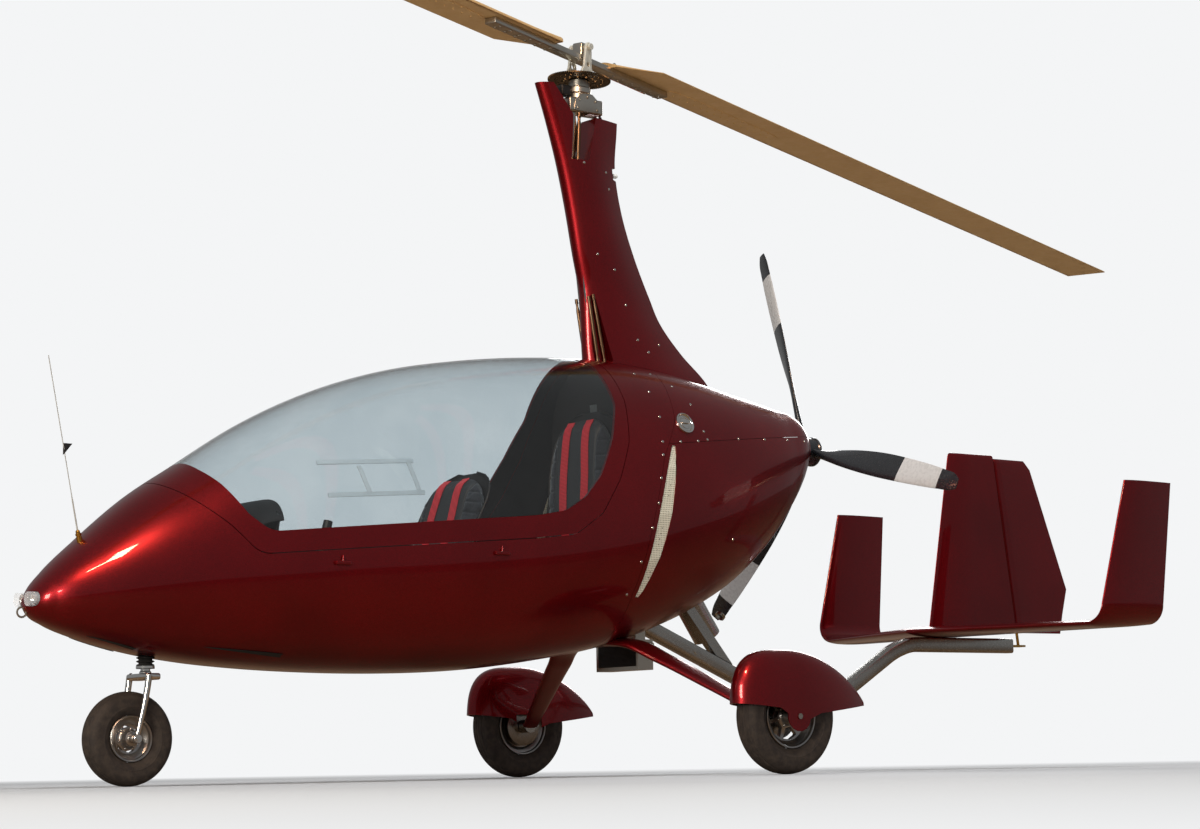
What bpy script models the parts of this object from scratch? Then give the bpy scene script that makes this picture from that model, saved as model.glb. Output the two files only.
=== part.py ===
import math

import bmesh
import bpy
import numpy as np
from mathutils import Matrix, Vector

# Two-seat enclosed gyroplane on its wheels. Metres; +X to the nose, +Y to port, +Z up.
# The origin is on the ground straight below the rotor hub.

# Clearances, walls and edges
TOUCH = 0.0003              # between pieces that seat on each other
SEAM = 0.003                # open seam round the canopy
SHELL_WALL = 0.012          # fuselage and canopy frame
COWL_WALL = 0.006
GLASS_WALL = 0.005
FAIRING_WALL = 0.004
EDGE_ROUND = 0.012          # of cast and milled blocks
THIN_EDGE = 0.004           # of small fittings
BITE = 0.004                # overlap of two shapes that are made one piece

# Fuselage pod: one row for each station along the pod
POD_STATIONS = (
    # x, crest height, keel height, half width, waist height, fullness of the lower half
    (-1.040, 1.355, 1.165, 0.092, 1.260, 2.0),
    (-1.000, 1.387, 1.095, 0.128, 1.245, 2.0),
    (-0.870, 1.420, 0.925, 0.195, 1.190, 2.1),
    (-0.650, 1.462, 0.735, 0.275, 1.110, 2.2),
    (-0.450, 1.502, 0.625, 0.325, 1.040, 2.3),
    (-0.230, 1.533, 0.538, 0.362, 0.980, 2.4),
    (0.000, 1.545, 0.472, 0.382, 0.920, 2.5),
    (0.300, 1.532, 0.420, 0.388, 0.870, 2.6),
    (0.600, 1.497, 0.386, 0.384, 0.830, 2.6),
    (0.900, 1.440, 0.374, 0.372, 0.800, 2.6),
    (1.200, 1.343, 0.376, 0.352, 0.770, 2.6),
    (1.470, 1.215, 0.388, 0.322, 0.735, 2.6),
    (1.700, 1.072, 0.408, 0.280, 0.700, 2.5),
    (1.890, 0.950, 0.437, 0.230, 0.665, 2.4),
    (2.060, 0.810, 0.478, 0.165, 0.632, 2.3),
    (2.180, 0.702, 0.520, 0.104, 0.606, 2.2),
    (2.232, 0.644, 0.547, 0.060, 0.594, 2.0),
    (2.255, 0.608, 0.572, 0.020, 0.588, 2.0),
)
POD_ROUND = 24              # points round each section
POD_STEP = 0.16             # longest distance between lofted sections
UPPER_FULLNESS = 2.1

# Canopy: outlines seen from the side, x and z, run from the front crest round the sill
CANOPY_LINE = ((1.835, 1.150), (1.835, 1.000), (1.655, 0.845), (1.560, 0.748), (0.500, 0.832),
               (0.330, 0.852), (0.210, 0.930), (0.120, 1.060), (0.055, 1.200), (0.022, 1.360),
               (0.018, 1.700))
GLASS_LINE = ((1.715, 1.250), (1.705, 1.050), (1.655, 0.985), (1.590, 0.882), (1.520, 0.826),
              (0.500, 0.913), (0.370, 0.936), (0.285, 0.985), (0.205, 1.070), (0.130, 1.205),
              (0.072, 1.345), (0.066, 1.700))
OUTLINE_ROUND = 0.09        # corners of both outlines
SILL_ENDS = (3, 4)          # the straight sill in CANOPY_LINE, front and rear
HINGE_OUTSET = 0.016        # hinge axis outside the widest point of the sill
HINGE_RADIUS = 0.007
HINGE_WIDTH = 0.045
HINGE_LEAF = 0.030          # height of each leaf above or below the axis
HINGE_CLEAR = 0.004         # of each leaf from the axis
HINGE_PLACES = (("front", 1.18), ("rear", 0.52))
LUG_SHARE = 0.5             # width of the frame's lug beside each hinge
LATCH_PLACES = (("front", 1.27), ("rear", 0.65))
LATCH_SIZE = (0.060, 0.024, 0.014)
LATCH_DROP = 0.045          # below the sill line

# Engine bay
COWL_FRONT = ((0.080, 0.400), (0.053, 0.649), (-0.034, 0.951), (-0.095, 1.147), (-0.190, 1.300),
              (-0.245, 1.600))
COWL_SPLIT_HEIGHT = 1.190   # of the upper and lower cowl's seam at x = 0
COWL_SPLIT_RISE = 0.113     # for each metre aft
VENT_LENGTH = 0.56
VENT_WIDTH = 0.060
VENT_BOTTOM = 0.640
VENT_SETBACK = 0.022        # behind the cowl's front seam
VENT_STEPS = 8
VENT_TIP = 0.04             # share of the bow's half turn that is left at each tip
VENT_FULLNESS = 0.6
FILLER_PLACE = (-0.235, 1.290)
FILLER_RADIUS = 0.042
FILLER_DEPTH = 0.020
FILLER_LEAN = (0.10, 0.42)  # forward and upward part of its axis
# share of the radius, and height
FILLER_TOP = ((0.0, 0.010), (0.45, 0.009), (0.85, 0.006), (1.0, 0.001))
ENGINE_SIZE = (0.47, 0.42, 0.32)
ENGINE_CENTRE_Z = 1.060
ENGINE_SEAT = 0.011         # how far the engine's front wraps round the mast tube
GEARBOX_RADII = (0.085, 0.055)
GEARBOX_SETBACK = 0.16      # of its rear end, ahead of the propeller

# Propeller
PROP_X = -1.098
PROP_Z = 1.262
PROP_RADIUS = 0.865
PROP_BLADES = 3
PROP_PHASE = -16.0          # degrees from upright, towards starboard
PROP_HUB_RADIUS = 0.058
PROP_HUB_LENGTH = 0.075
PROP_HUB_CHAMFER = 0.008
PROP_NOSE = (0.030, 0.030)  # radius and length of the hub's rear boss
BOSS_TAPER = 0.73           # share of both where it rounds off
PROP_SHAFT_RADIUS = 0.030
PROP_ROUND = 10             # points round a blade section
# radius share, chord, thickness, pitch angle
PROP_SECTIONS = (
    (0.04, 0.040, 0.034, 62.0), (0.12, 0.052, 0.028, 52.0), (0.25, 0.084, 0.019, 41.0),
    (0.45, 0.104, 0.013, 29.0), (0.70, 0.098, 0.009, 21.0), (0.90, 0.078, 0.007, 16.0),
    (1.00, 0.050, 0.005, 14.0),
)

# Mast tube, square, leaning forward
MAST_HALF = 0.022           # half its side
MAST_FOOT = (-0.152, 0.580)
MAST_SLOPE = 0.1087         # forward for each metre up
MAST_TOP_Z = 2.487

# Mast fairing: share of the way from its foot to the mast tube's top, leading and trailing
# edge from the mast's middle line, half thickness
FAIRING_FOOT_Z = 1.400
FAIRING_SECTIONS = (
    (0.000, 0.057, -0.577, 0.088), (0.092, 0.046, -0.528, 0.080), (0.184, 0.041, -0.424, 0.068),
    (0.294, 0.032, -0.330, 0.061), (0.373, 0.027, -0.296, 0.058), (0.506, 0.039, -0.245, 0.056),
    (0.672, 0.052, -0.203, 0.055), (0.828, 0.073, -0.195, 0.055), (0.957, 0.100, -0.222, 0.055),
    (1.090, 0.133, -0.246, 0.055),
)
FAIRING_ROUND = 9           # steps from leading to trailing edge
FAIRING_WIDEST = 0.35       # share of the chord
FAIRING_TAPER = 1.42        # radians of a cosine that thin the rear part
# Gap between the front cover and the rear fin: x from the mast's middle line, and depth
# below the mast tube's top
HEAD_GAP = ((0.073, -0.200), (0.084, -0.101), (0.013, 0.017), (0.035, 0.187), (-0.039, 0.187),
            (-0.099, 0.015), (-0.354, 0.015), (-0.377, -0.200))
GAP_FLOOR = 0.187
REAR_NOTCH = ((-0.175, 0.237), (-0.174, 0.195), (-0.286, 0.177), (-0.277, 0.262))
# Pocket on each side of the mast's foot, which shows the lower control rods: x and height
POCKET = ((0.016, 1.774), (-0.026, 1.796), (-0.096, 1.538), (-0.030, 1.534))
POCKET_WALL = 0.010         # between its floor and the mast tube
POCKET_ROD_RADIUS = 0.0065
POCKET_RODS = (
    # foot and top of each rod, x and height
    ("lower_rod_front_", (-0.044, 1.520), (0.001, 1.800)),
    ("lower_rod_rear_", (-0.077, 1.520), (-0.021, 1.800)),
)

# Rotor head, built up from the mast tube's top
HEAD_TILT = 4.0             # degrees, spindle leaning aft
HUB_X = -0.012
HEAD_HEIGHT = 0.134         # mast tube's top to the middle of the ring
TOWER_HEIGHT = 0.125        # middle of the ring to the teeter bolt
RING_RADIUS = 0.120
RING_THICK = 0.008
RING_HOLES = 12
RING_HOLE_RADIUS = 0.011
RING_HOLE_PLACE = 0.74      # share of the ring's radius
BLOCK_SIZE = (0.158, 0.080, 0.070)
BEARING_RADIUS = 0.048
ROD_RADIUS = 0.008
ROD_CLEAR = 0.006           # between the rods and the mast tube
ROD_CLOSER = 0.008          # how much nearer the middle their tops are
TOWER_GAP = 0.062           # between the two tower plates
TOWER_THICK = 0.010
TOWER_WIDTH = (0.074, 0.034)    # at the foot and at the head
TOWER_BASE = (0.080, 0.012)     # length and thickness of the foot plate
TOWER_CROWN = 0.018         # above the bolt
BOLT_RADIUS = 0.008
BOLT_STICKOUT = 0.012       # past each tower plate
UNDERSLING = 0.044          # hub bar's middle below the teeter bolt
HUB_BAR_SIZE = (1.10, 0.050, 0.024)
HUB_EAR = (0.044, 0.046)    # its length and width

# Rotor blades
ROTOR_RADIUS = 4.20
ROTOR_CHORD = 0.205
ROTOR_NOSE = 0.25           # share of the chord ahead of the bar
ROTOR_THICK = 0.026
ROTOR_EDGE = 0.002          # thickness of the trailing edge
ROTOR_LIP = 0.010           # flat underside starts this far behind the nose
ROTOR_ROOT = 0.175
ROTOR_ROOT_SHARE = 0.30     # of the tail half, where the root is cropped
ROTOR_CHAMFER = 0.16
ROTOR_TIP = (0.04, 0.97)    # length of the tip's taper and what is left at its end
ROTOR_TURN = 17.0           # degrees, aft blade towards starboard

# Wheels
MAIN_AXLE_X = -0.252
TRACK = 1.621
MAIN_TYRE_DIAMETER = 0.400
MAIN_TYRE_WIDTH = 0.104
MAIN_RIM_DIAMETER = 0.215
NOSE_AXLE_X = 1.885
NOSE_TYRE_DIAMETER = 0.310
NOSE_TYRE_WIDTH = 0.092
NOSE_RIM_DIAMETER = 0.145
WHEEL_STEPS = 22
TYRE_FOOT = 0.86            # share of the half width just above the bead
# drop from the tread, and share of the half width
TYRE_SHOULDER = ((0.020, 0.93), (0.005, 0.66), (0.000, 0.30))
HUB_SHARE = 0.80            # of the tyre's width
HUB_RADIUS = 0.030
RIM_SHARE = 0.62            # rim's width as a share of the tyre's
RIM_SEAT = 0.004            # bead's height above the rim's nominal size
RIM_LIP = 0.008
RIM_WELL = 0.018            # depth of the well
DISC = (0.004, -0.014)      # outer and inner face of the wheel disc at the hub
AXLE_RADIUS = 0.010
AXLE_SIDES = 24
FLANGE_RADIUS = 0.026

# Gear spring and fenders
SPRING_ROOT = (-0.040, 0.16)    # x and half width of its flat middle
SPRING_MIDDLE = 0.012       # how far the middle is ahead of the roots
SPRING_TOP_Z = 0.508
SPRING_CHORD = (0.125, 0.070)   # at the root and at the axle
SPRING_THICK = (0.034, 0.024)
SPRING_END = 0.034          # between its end and the tyre
SPRING_RISE = 0.004         # of its end above the axle
SPRING_BOW = ((0.04, 0.08, 0.004), (0.28, 0.30, 0.012), (0.64, 0.65, 0.008))    # along, taper, lift
SPRING_ROUND = 14
FENDER_LENGTH = (0.236, 0.372)  # ahead of and behind the axle
FENDER_HALF = 0.080
FENDER_RISE = 0.034         # above the tyre
FENDER_LOBE = 0.052         # cheek's radius round the axle
FENDER_EDGE = 0.050         # the tail's lowest edge above the axle
# lower edge: lobes ahead of or behind the axle, and height above it
FENDER_LINE = ((0.0, 0.058), (1.6, 0.030), (-2.0, 0.010), (0.0, 0.048))
CHEEK_TURN = 0.2            # radians where the round cheek starts
FENDER_BLUNT = (4.0, 1.9, 0.85)     # powers of the swell ahead, behind, and of the tail
FENDER_CROWN = (0.8, 0.55)  # powers of the section, across and up
FENDER_STEPS = (6, 7)       # sections ahead of and behind the axle
FENDER_ROUND = 10
LEG_SLOT = (0.062, 0.045)   # half length, and height above the axle
LEG_SLOT_GAP = 0.012        # from the tyre

# Nose leg
STEER_X = 1.820
STRUT_RADIUS = 0.016
STRUT_INSIDE = 0.13         # its length above the keel
FORK_GAP = 0.011            # between the fork legs and the tyre
FORK_TUBE = 0.011
FORK_CROWN_Z = 0.368        # its top
FORK_CROWN = (0.020, 0.034, 0.022)  # behind and ahead of the strut's middle, and height
FORK_LEG_START = 0.022      # of the legs, ahead of the strut
FORK_TAPER = 0.85
FORK_EYE = 0.015
GAITER_RADIUS = 0.027
GAITER_FOLDS = 5
GAITER_FOLD = 0.004
GAITER_ROUND = 16           # points round each fold
GAITER_TOP = 0.070          # above the keel
GAITER_GAP = 0.014          # above the fork's crown
SOCKET_RADIUS = 0.045
SOCKET_ABOVE = 0.030        # the strut's end
SOCKET_WEB = (0.040, 0.045)     # length and height of the plate that carries the socket

# Tail boom, strut, silencer and cooler
BOOM_HEIGHT = 0.060
BOOM_WIDTH = 0.046
BOOM_PATH = ((-0.330, 0.530), (-0.980, 0.256), (-1.075, 0.236), (-1.170, 0.262), (-1.530, 0.476),
             (-1.620, 0.505), (-2.195, 0.505))
BOOM_BEND = 0.16
STRUT_TOP = (-0.455, 0.650)
STRUT_FOOT_X = -0.680
STRUT_SIZE = (0.037, 0.040)
SILENCER_RADIUS = 0.055
SILENCER_ENDS = ((-0.505, -0.150, 0.800), (-0.690, -0.150, 0.530))
COOLER_LOW = (-0.262, -0.205, 0.392)
COOLER_HIGH = (-0.192, 0.055, 0.505)
COOLER_NECK = (0.012, 0.030)    # neck drawn in from the cooler's ends and sides
COOLER_NECK_LENGTH = 0.150

# Tailplane with its tip fins, centre fin and rudder
STAB_THICK = 0.044
STAB_HALF_SPAN = 0.822
STAB_ROOT = (-1.610, -2.165)
STAB_TIP = (-1.874, -2.225)
STAB_NOSE = 0.10            # share of the half span taken by the blunt middle
TIP_TURN = 0.075            # radius where the tailplane turns up into its tips
TIP_SHARE = 0.93            # of the taper that is done where the turn begins
TIP_STEPS = 4
SIDE_FIN_MIDDLE = 0.5       # share of the side fin's height with a section of its own
SIDE_FIN_TOP = 1.116
SIDE_FIN_CANT = 0.016
SIDE_FIN_TOP_CHORD = (-2.009, -2.279)
SIDE_FIN_THICK = 0.030
SURFACE_STEPS = 8           # from leading to trailing edge
TAIL_EDGE = 0.02            # least share of the thickness at a trailing edge
FIN_THICK = 0.050
FIN_TOP = 1.300
FIN_THIN = 0.2              # share of the thickness lost at the top
FIN_SINK = 0.20             # share of the tailplane's thickness that the fin's foot enters
FIN_FRONT = (-1.737, -1.875)    # at the tailplane and at the top
FIN_STEPS = 9
FIN_WIDEST = 0.45           # share of the chord
FIN_FULLNESS = 0.6
FIN_TAPER = 0.36
HINGE_X = (-2.240, -2.140)      # at HINGE_FOOT_Z and at the fin's top
HINGE_FOOT_Z = 0.560
RUDDER_GAP = 0.006
RUDDER_NOSE = 0.62          # radius as a share of half the fin's thickness
RUDDER_EDGE = 0.0015        # half thickness of its trailing edge
RUDDER_TOP_GAP = 0.012      # below the fin's top
RUDDER_WRAP = 0.55          # share of a half turn that the nose goes round
RUDDER_SHARES = (0.35, 0.7, 1.0)    # of its chord, where it has points
# height and trailing edge
RUDDER_REAR = ((0.560, -2.500), (0.640, -2.517), (0.750, -2.547), (1.000, -2.4495),
               (1.250, -2.352), (1.300, -2.302))
RUDDER_PIN_RADIUS = 0.006
RUDDER_PIN_LENGTH = 0.050
BRACKET = (0.028, 0.022, 0.004)     # past the pin, half width and half thickness

# Cabin
SEAT_HALF = 0.215
SEAT_LENGTH = 0.46
SEAT_THICK = 0.065
SEAT_FOOT = 0.10            # half width of the pedestal
SEAT_FOOT_PLACE = (0.13, 0.78)      # shares of the seat's length
SEAT_CROWN = 0.020
SEAT_ROUND = 0.040
# from the hip point: x as a share of the seat's length or in metres of the back, and height
SEAT_CUSHION = ((1.00, 0.11), (1.01, 0.03), (0.22, -0.02), (0.00, 0.02))
SEAT_TOP = ((0.065, 0.20), (0.15, 0.09), (0.435, 0.06))
SEAT_KIDNEY = (-0.05, 0.12)
SEATS = (
    # name, hip point, top of the back, height of the cushion's underside
    ("seat_front", 0.70, (0.57, 1.10), 0.52),
    ("seat_rear", 0.04, (0.02, 1.36), 0.60),
)
PANEL_X = 1.420
PANEL_HALF = 0.24
# ahead of PANEL_X, and height
PANEL_LINE = ((0.16, 0.80), (0.10, 0.93), (-0.03, 0.97), (0.00, 0.86), (0.05, 0.60), (0.06, 0.30),
              (0.16, 0.30))
# x ahead of the front seat, and height
STICK_FOOT_AHEAD = 0.08
STICK_TOP = (-0.020, 0.800)
STICK_RADIUS = 0.011
GRIP_RADII = (0.019, 0.016)
GRIP = ((-0.015, 0.785), (-0.045, 0.900))
BOOT = (0.055, 0.012, 0.062)    # radii and height of the stick's boot
# Bulkhead behind the rear seat, x and height, from the floor to under the canopy's rear edge
BULKHEAD_LINE = ((-0.052, 0.400), (-0.080, 1.000), (-0.098, 1.180), (-0.032, 1.420),
                 (0.002, 1.600))
BULKHEAD_THICK = 0.008

# Nose fittings
LAMP_RADIUS = 0.0235
LAMP_SPREAD = (0.0325, 0.0455)      # from the middle at LAMP_X
LAMP_X = (2.100, 2.320)
LAMP_Z = 0.603
LAMP_BACK = 2.160
LAMP_FRONT = 2.262
LAMP_DEPTH = 0.030          # below the skin, where the lamp's back is
ANTENNA_FOOT = (2.075, 0.030)
ANTENNA_LEAN = (0.115, 0.600)       # of its tip, ahead of and above the foot
ANTENNA_BASE = (0.010, 0.035)       # radius and height of the brass base
ANTENNA_SLANT = (0.10, 0.02, 0.36)
WHIP_RADIUS = 0.0022
TOW_PLACE = (2.262, 0.562)
TOW_RING = (0.016, 0.0035)
TOW_SIDES = 6

FINISHES = {
    # colour, metallic, roughness
    "paint": ((0.35, 0.008, 0.012), 0.45, 0.22),
    "glass": ((0.80, 0.84, 0.86), 0.0, 0.04),
    "steel": ((0.62, 0.62, 0.62), 1.0, 0.28),
    "alloy": ((0.55, 0.56, 0.57), 0.9, 0.35),
    "dark": ((0.02, 0.02, 0.022), 0.1, 0.5),
    "rubber": ((0.025, 0.024, 0.023), 0.0, 0.75),
    "cloth": ((0.03, 0.03, 0.033), 0.0, 0.85),
    "blade": ((0.50, 0.50, 0.50), 0.6, 0.4),
    "mesh": ((0.60, 0.60, 0.58), 0.7, 0.45),
    "brass": ((0.55, 0.38, 0.14), 0.9, 0.35),
    "lens": ((0.85, 0.85, 0.82), 0.2, 0.1),
}
SMOOTH_ANGLE = 35           # degrees; sharper edges stay hard
MERGE = 0.00005
STRAIGHT = 0.06             # radians; corners flatter than this stay as they are
CORNER_ROOM = 0.45          # share of a side that a rounded corner may take
SHARPEST_INSET = 0.3        # cosine at which an inset corner is cut short
SIDES = (("port", 1), ("starboard", -1))

for old in list(bpy.data.objects):
    bpy.data.objects.remove(old, do_unlink=True)

parts = bpy.data.collections.new("gyroplane")
cutters = bpy.data.collections.new("cutters")
bpy.context.scene.collection.children.link(parts)
bpy.context.scene.collection.children.link(cutters)


# Shapes
def finish(obj, kind):
    colour, metallic, roughness = FINISHES[kind]
    material = bpy.data.materials.new(obj.name)
    material.use_nodes = True
    shader = material.node_tree.nodes["Principled BSDF"]
    shader.inputs["Base Color"].default_value = (*colour, 1.0)
    shader.inputs["Metallic"].default_value = metallic
    shader.inputs["Roughness"].default_value = roughness
    if kind == "glass":
        shader.inputs["Transmission Weight"].default_value = 1.0
    obj.data.materials.append(material)


def place(name, data, kind=None):
    """Adds a part, or a cutter where no finish is named."""
    obj = bpy.data.objects.new(name, data)
    if kind:
        parts.objects.link(obj)
        finish(obj, kind)
    else:
        cutters.objects.link(obj)
        obj.hide_render = True
        obj.display_type = "WIRE"
    return obj


def from_bmesh(name, bm, kind=None, smooth=True):
    bmesh.ops.recalc_face_normals(bm, faces=bm.faces)
    mesh = bpy.data.meshes.new(name)
    bm.to_mesh(mesh)
    bm.free()
    if smooth:
        mesh.shade_smooth()
        mesh.set_sharp_from_angle(angle=math.radians(SMOOTH_ANGLE))
    return place(name, mesh, kind)


def box(name, low, high, kind=None, bevel=0.0):
    low, high = Vector(low), Vector(high)
    bm = bmesh.new()
    bmesh.ops.create_cube(bm, size=1.0)
    bmesh.ops.scale(bm, vec=high - low, verts=bm.verts)
    bmesh.ops.translate(bm, vec=(low + high) / 2, verts=bm.verts)
    obj = from_bmesh(name, bm, kind, smooth=False)
    if bevel:
        edge = obj.modifiers.new("edges", "BEVEL")
        edge.width = bevel
        edge.segments = 2
    return obj


def rod(name, start, end, radius, kind=None, end_radius=None, sides=20):
    """A cylinder or cone from start to end."""
    start, end = Vector(start), Vector(end)
    bm = bmesh.new()
    bmesh.ops.create_cone(bm, cap_ends=True, segments=sides, radius1=radius,
                          radius2=radius if end_radius is None else end_radius,
                          depth=(end - start).length)
    turn = (end - start).to_track_quat("Z", "Y").to_matrix().to_4x4()
    middle = Matrix.Translation((start + end) / 2)
    bmesh.ops.transform(bm, matrix=middle @ turn, verts=bm.verts)
    return from_bmesh(name, bm, kind)


def plate(name, outline, y_low, y_high, kind=None):
    """An outline of x and z, extruded across the pod."""
    bm = bmesh.new()
    face = bm.faces.new([bm.verts.new((x, y_low, z)) for x, z in outline])
    grown = bmesh.ops.extrude_face_region(bm, geom=[face])["geom"]
    moved = [item for item in grown if isinstance(item, bmesh.types.BMVert)]
    bmesh.ops.translate(bm, vec=(0, y_high - y_low, 0), verts=moved)
    return from_bmesh(name, bm, kind, smooth=False)


def loft(name, rings, kind=None, capped=(True, True)):
    """Triangles between sections that have the same number of points, so that a shell and the
    cutters made from the same sections bend along the same edges."""
    bm = bmesh.new()
    rows = [[bm.verts.new(point) for point in ring] for ring in rings]
    for row, after in zip(rows, rows[1:]):
        for i in range(len(row)):
            j = (i + 1) % len(row)
            bm.faces.new((row[i], row[j], after[j]))
            bm.faces.new((row[i], after[j], after[i]))
    for row, cap in zip((rows[0], rows[-1]), capped):
        if cap:
            bm.faces.new(row)
    return from_bmesh(name, bm, kind)


def turned(name, profile, centre, axis, kind, steps=32, closed=True):
    """A profile of radius and height, turned about the axis through the centre."""
    mesh = bpy.data.meshes.new(name)
    count = len(profile)
    edges = [(i, (i + 1) % count) for i in range(count if closed else count - 1)]
    mesh.from_pydata([(r, 0, h) for r, h in profile], edges, [])
    obj = place(name, mesh, kind)
    screw = obj.modifiers.new("turn", "SCREW")
    screw.steps = steps
    screw.render_steps = steps
    screw.use_merge_vertices = True
    screw.merge_threshold = MERGE
    obj.rotation_mode = "QUATERNION"
    obj.rotation_quaternion = Vector(axis).to_track_quat("Z", "Y")
    obj.location = centre
    return obj


def combine(target, other, operation="DIFFERENCE"):
    modifier = target.modifiers.new(operation.lower(), "BOOLEAN")
    modifier.operation = operation
    modifier.solver = "EXACT"
    modifier.object = other
    return target


def fused(target, others):
    for other in others:
        combine(target, other, "UNION")
    return target


def displaced(obj, distance):
    move = obj.modifiers.new("offset", "DISPLACE")
    move.mid_level = 0.0
    move.strength = distance
    return obj


# Curves and outlines
def hermite(xs, ys, at):
    """Smooth curve through the table's points, with slopes from their neighbours."""
    slopes = np.gradient(ys, xs)
    i = np.clip(np.searchsorted(xs, at) - 1, 0, len(xs) - 2)
    step = xs[i + 1] - xs[i]
    t = (at - xs[i]) / step
    return ((2 * t**3 - 3 * t**2 + 1) * ys[i] + (t**3 - 2 * t**2 + t) * step * slopes[i]
            + (3 * t**2 - 2 * t**3) * ys[i + 1] + (t**3 - t**2) * step * slopes[i + 1])


def between(pair, share):
    return pair[0] + (pair[1] - pair[0]) * share


def eased(count):
    """Shares from 0 to 1 that are closer together at both ends."""
    return [(1 - math.cos(math.pi * k / count)) / 2 for k in range(count + 1)]


def corner(before, here, after, radius_back, steps):
    """Points of a curve that replaces a corner, from radius_back before it to as far after it."""
    start = here + (before - here).normalized() * radius_back
    end = here + (after - here).normalized() * radius_back
    shares = [k / steps for k in range(steps + 1)]
    return [tuple(start * (1 - t)**2 + here * 2 * t * (1 - t) + end * t**2) for t in shares]


def rounded(points, radius, steps=4):
    """Corners of a closed outline replaced by curves that touch both sides."""
    out = []
    for i, point in enumerate(points):
        here, before, after = (Vector(p) for p in (point, points[i - 1], points[(i + 1) % len(points)]))
        half = (before - here).angle(after - here) / 2
        if math.pi / 2 - half < STRAIGHT:
            out.append(point)
            continue
        room = min((before - here).length, (after - here).length) * CORNER_ROOM
        out += corner(before, here, after, min(radius / math.tan(half), room), steps)
    return out


def bent(path, radius, steps=4):
    """An open path of x and z whose corners are rounded."""
    out = [path[0]]
    for before, here, after in zip(path, path[1:], path[2:]):
        before, here, after = Vector(before), Vector(here), Vector(after)
        room = min((before - here).length, (after - here).length) * CORNER_ROOM
        out += corner(before, here, after, min(radius / 2, room), steps)
    return [*out, path[-1]]


def shifted(outline, amount):
    """The side outline moved inwards, towards the canopy's middle, by the amount."""
    points = [Vector(p) for p in outline]
    out = []
    for i, point in enumerate(points):
        along = (points[min(i + 1, len(points) - 1)] - points[max(i - 1, 0)]).normalized()
        out.append(tuple(point + Vector((along.y, -along.x)) * amount))
    return out


def inset(outline, amount):
    """A closed outline drawn in by the amount."""
    points = [Vector(p) for p in outline]
    area = sum(a.x * b.y - b.x * a.y for a, b in zip(points, points[1:] + points[:1]))
    out = []
    for i, here in enumerate(points):
        first = (here - points[i - 1]).normalized()
        second = (points[(i + 1) % len(points)] - here).normalized()
        across = Vector((-first.y, first.x))
        normal = (across + Vector((-second.y, second.x))).normalized()
        reach = amount / max(SHARPEST_INSET, normal.dot(across))
        out.append(tuple(here + normal * math.copysign(reach, area)))
    return out


# Pod: a section at any station, the shell and the solids that other pieces are cut by
POD = np.array(POD_STATIONS)
CUT_REACH = 0.3             # how far cutters pass the pod
POD_WIDE = POD[:, 3].max() + CUT_REACH
POD_HIGH = POD[:, 1].max() + CUT_REACH


def pod_at(x):
    """Crest, keel, half width, waist and fullness of the pod at x."""
    return [float(hermite(POD[:, 0], POD[:, column], x)) for column in range(1, 6)]


def pod_ring(x):
    crest, keel, half, waist, full = pod_at(x)
    ring = []
    for i in range(POD_ROUND):
        angle = 2 * math.pi * i / POD_ROUND
        power = 2 / (UPPER_FULLNESS if math.sin(angle) >= 0 else full)
        side = math.copysign(abs(math.cos(angle)) ** power, math.cos(angle))
        rise = math.copysign(abs(math.sin(angle)) ** power, math.sin(angle))
        reach = crest - waist if rise >= 0 else waist - keel
        ring.append((x, half * side, waist + reach * rise))
    return ring


def pod_rings():
    xs = []
    for low, high in zip(POD[:, 0], POD[1:, 0]):
        count = max(1, math.ceil((high - low) / POD_STEP))
        xs += [low + (high - low) * i / count for i in range(count)]
    return [pod_ring(float(x)) for x in (*xs, POD[-1, 0])]


def pod_shell(name, wall, kind):
    obj = loft(name, pod_rings(), kind, capped=(False, True))
    thick = obj.modifiers.new("wall", "SOLIDIFY")
    thick.thickness = wall
    thick.offset = -1.0
    return obj


def pod_side(x, z):
    """Half width of the pod at height z."""
    crest, keel, half, waist, full = pod_at(x)
    if z >= waist:
        share, power = (z - waist) / (crest - waist), UPPER_FULLNESS
    else:
        share, power = (waist - z) / (waist - keel), full
    return half * max(0.0, 1 - share**power) ** (1 / power)


def side_cutter(name, line):
    closed = [(line[0][0], POD_HIGH), *line, (line[-1][0], POD_HIGH)]
    return plate(name, rounded(closed, OUTLINE_ROUND), -POD_WIDE, POD_WIDE)


def aft_cutter(name, amount):
    """Everything behind the engine cowl's front seam, moved aft by the amount."""
    line = [(x - amount, z) for x, z in COWL_FRONT]
    end = POD[0, 0] - CUT_REACH
    low = line[0][1] - CUT_REACH
    closed = [(end, low), (line[0][0], low), *line, (line[-1][0], POD_HIGH), (end, POD_HIGH)]
    return plate(name, closed, -POD_WIDE, POD_WIDE)


def split_cutter(name, side, amount):
    """Above (side 1) or below (side -1) the seam of the upper and lower cowl."""
    ends = (COWL_FRONT[0][0] + CUT_REACH, POD[0, 0] - CUT_REACH)
    seam = [(x, COWL_SPLIT_HEIGHT - COWL_SPLIT_RISE * x + side * amount) for x in ends]
    far = COWL_SPLIT_HEIGHT + side * POD_HIGH
    return plate(name, [*seam, (ends[1], far), (ends[0], far)], -POD_WIDE, POD_WIDE)


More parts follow.
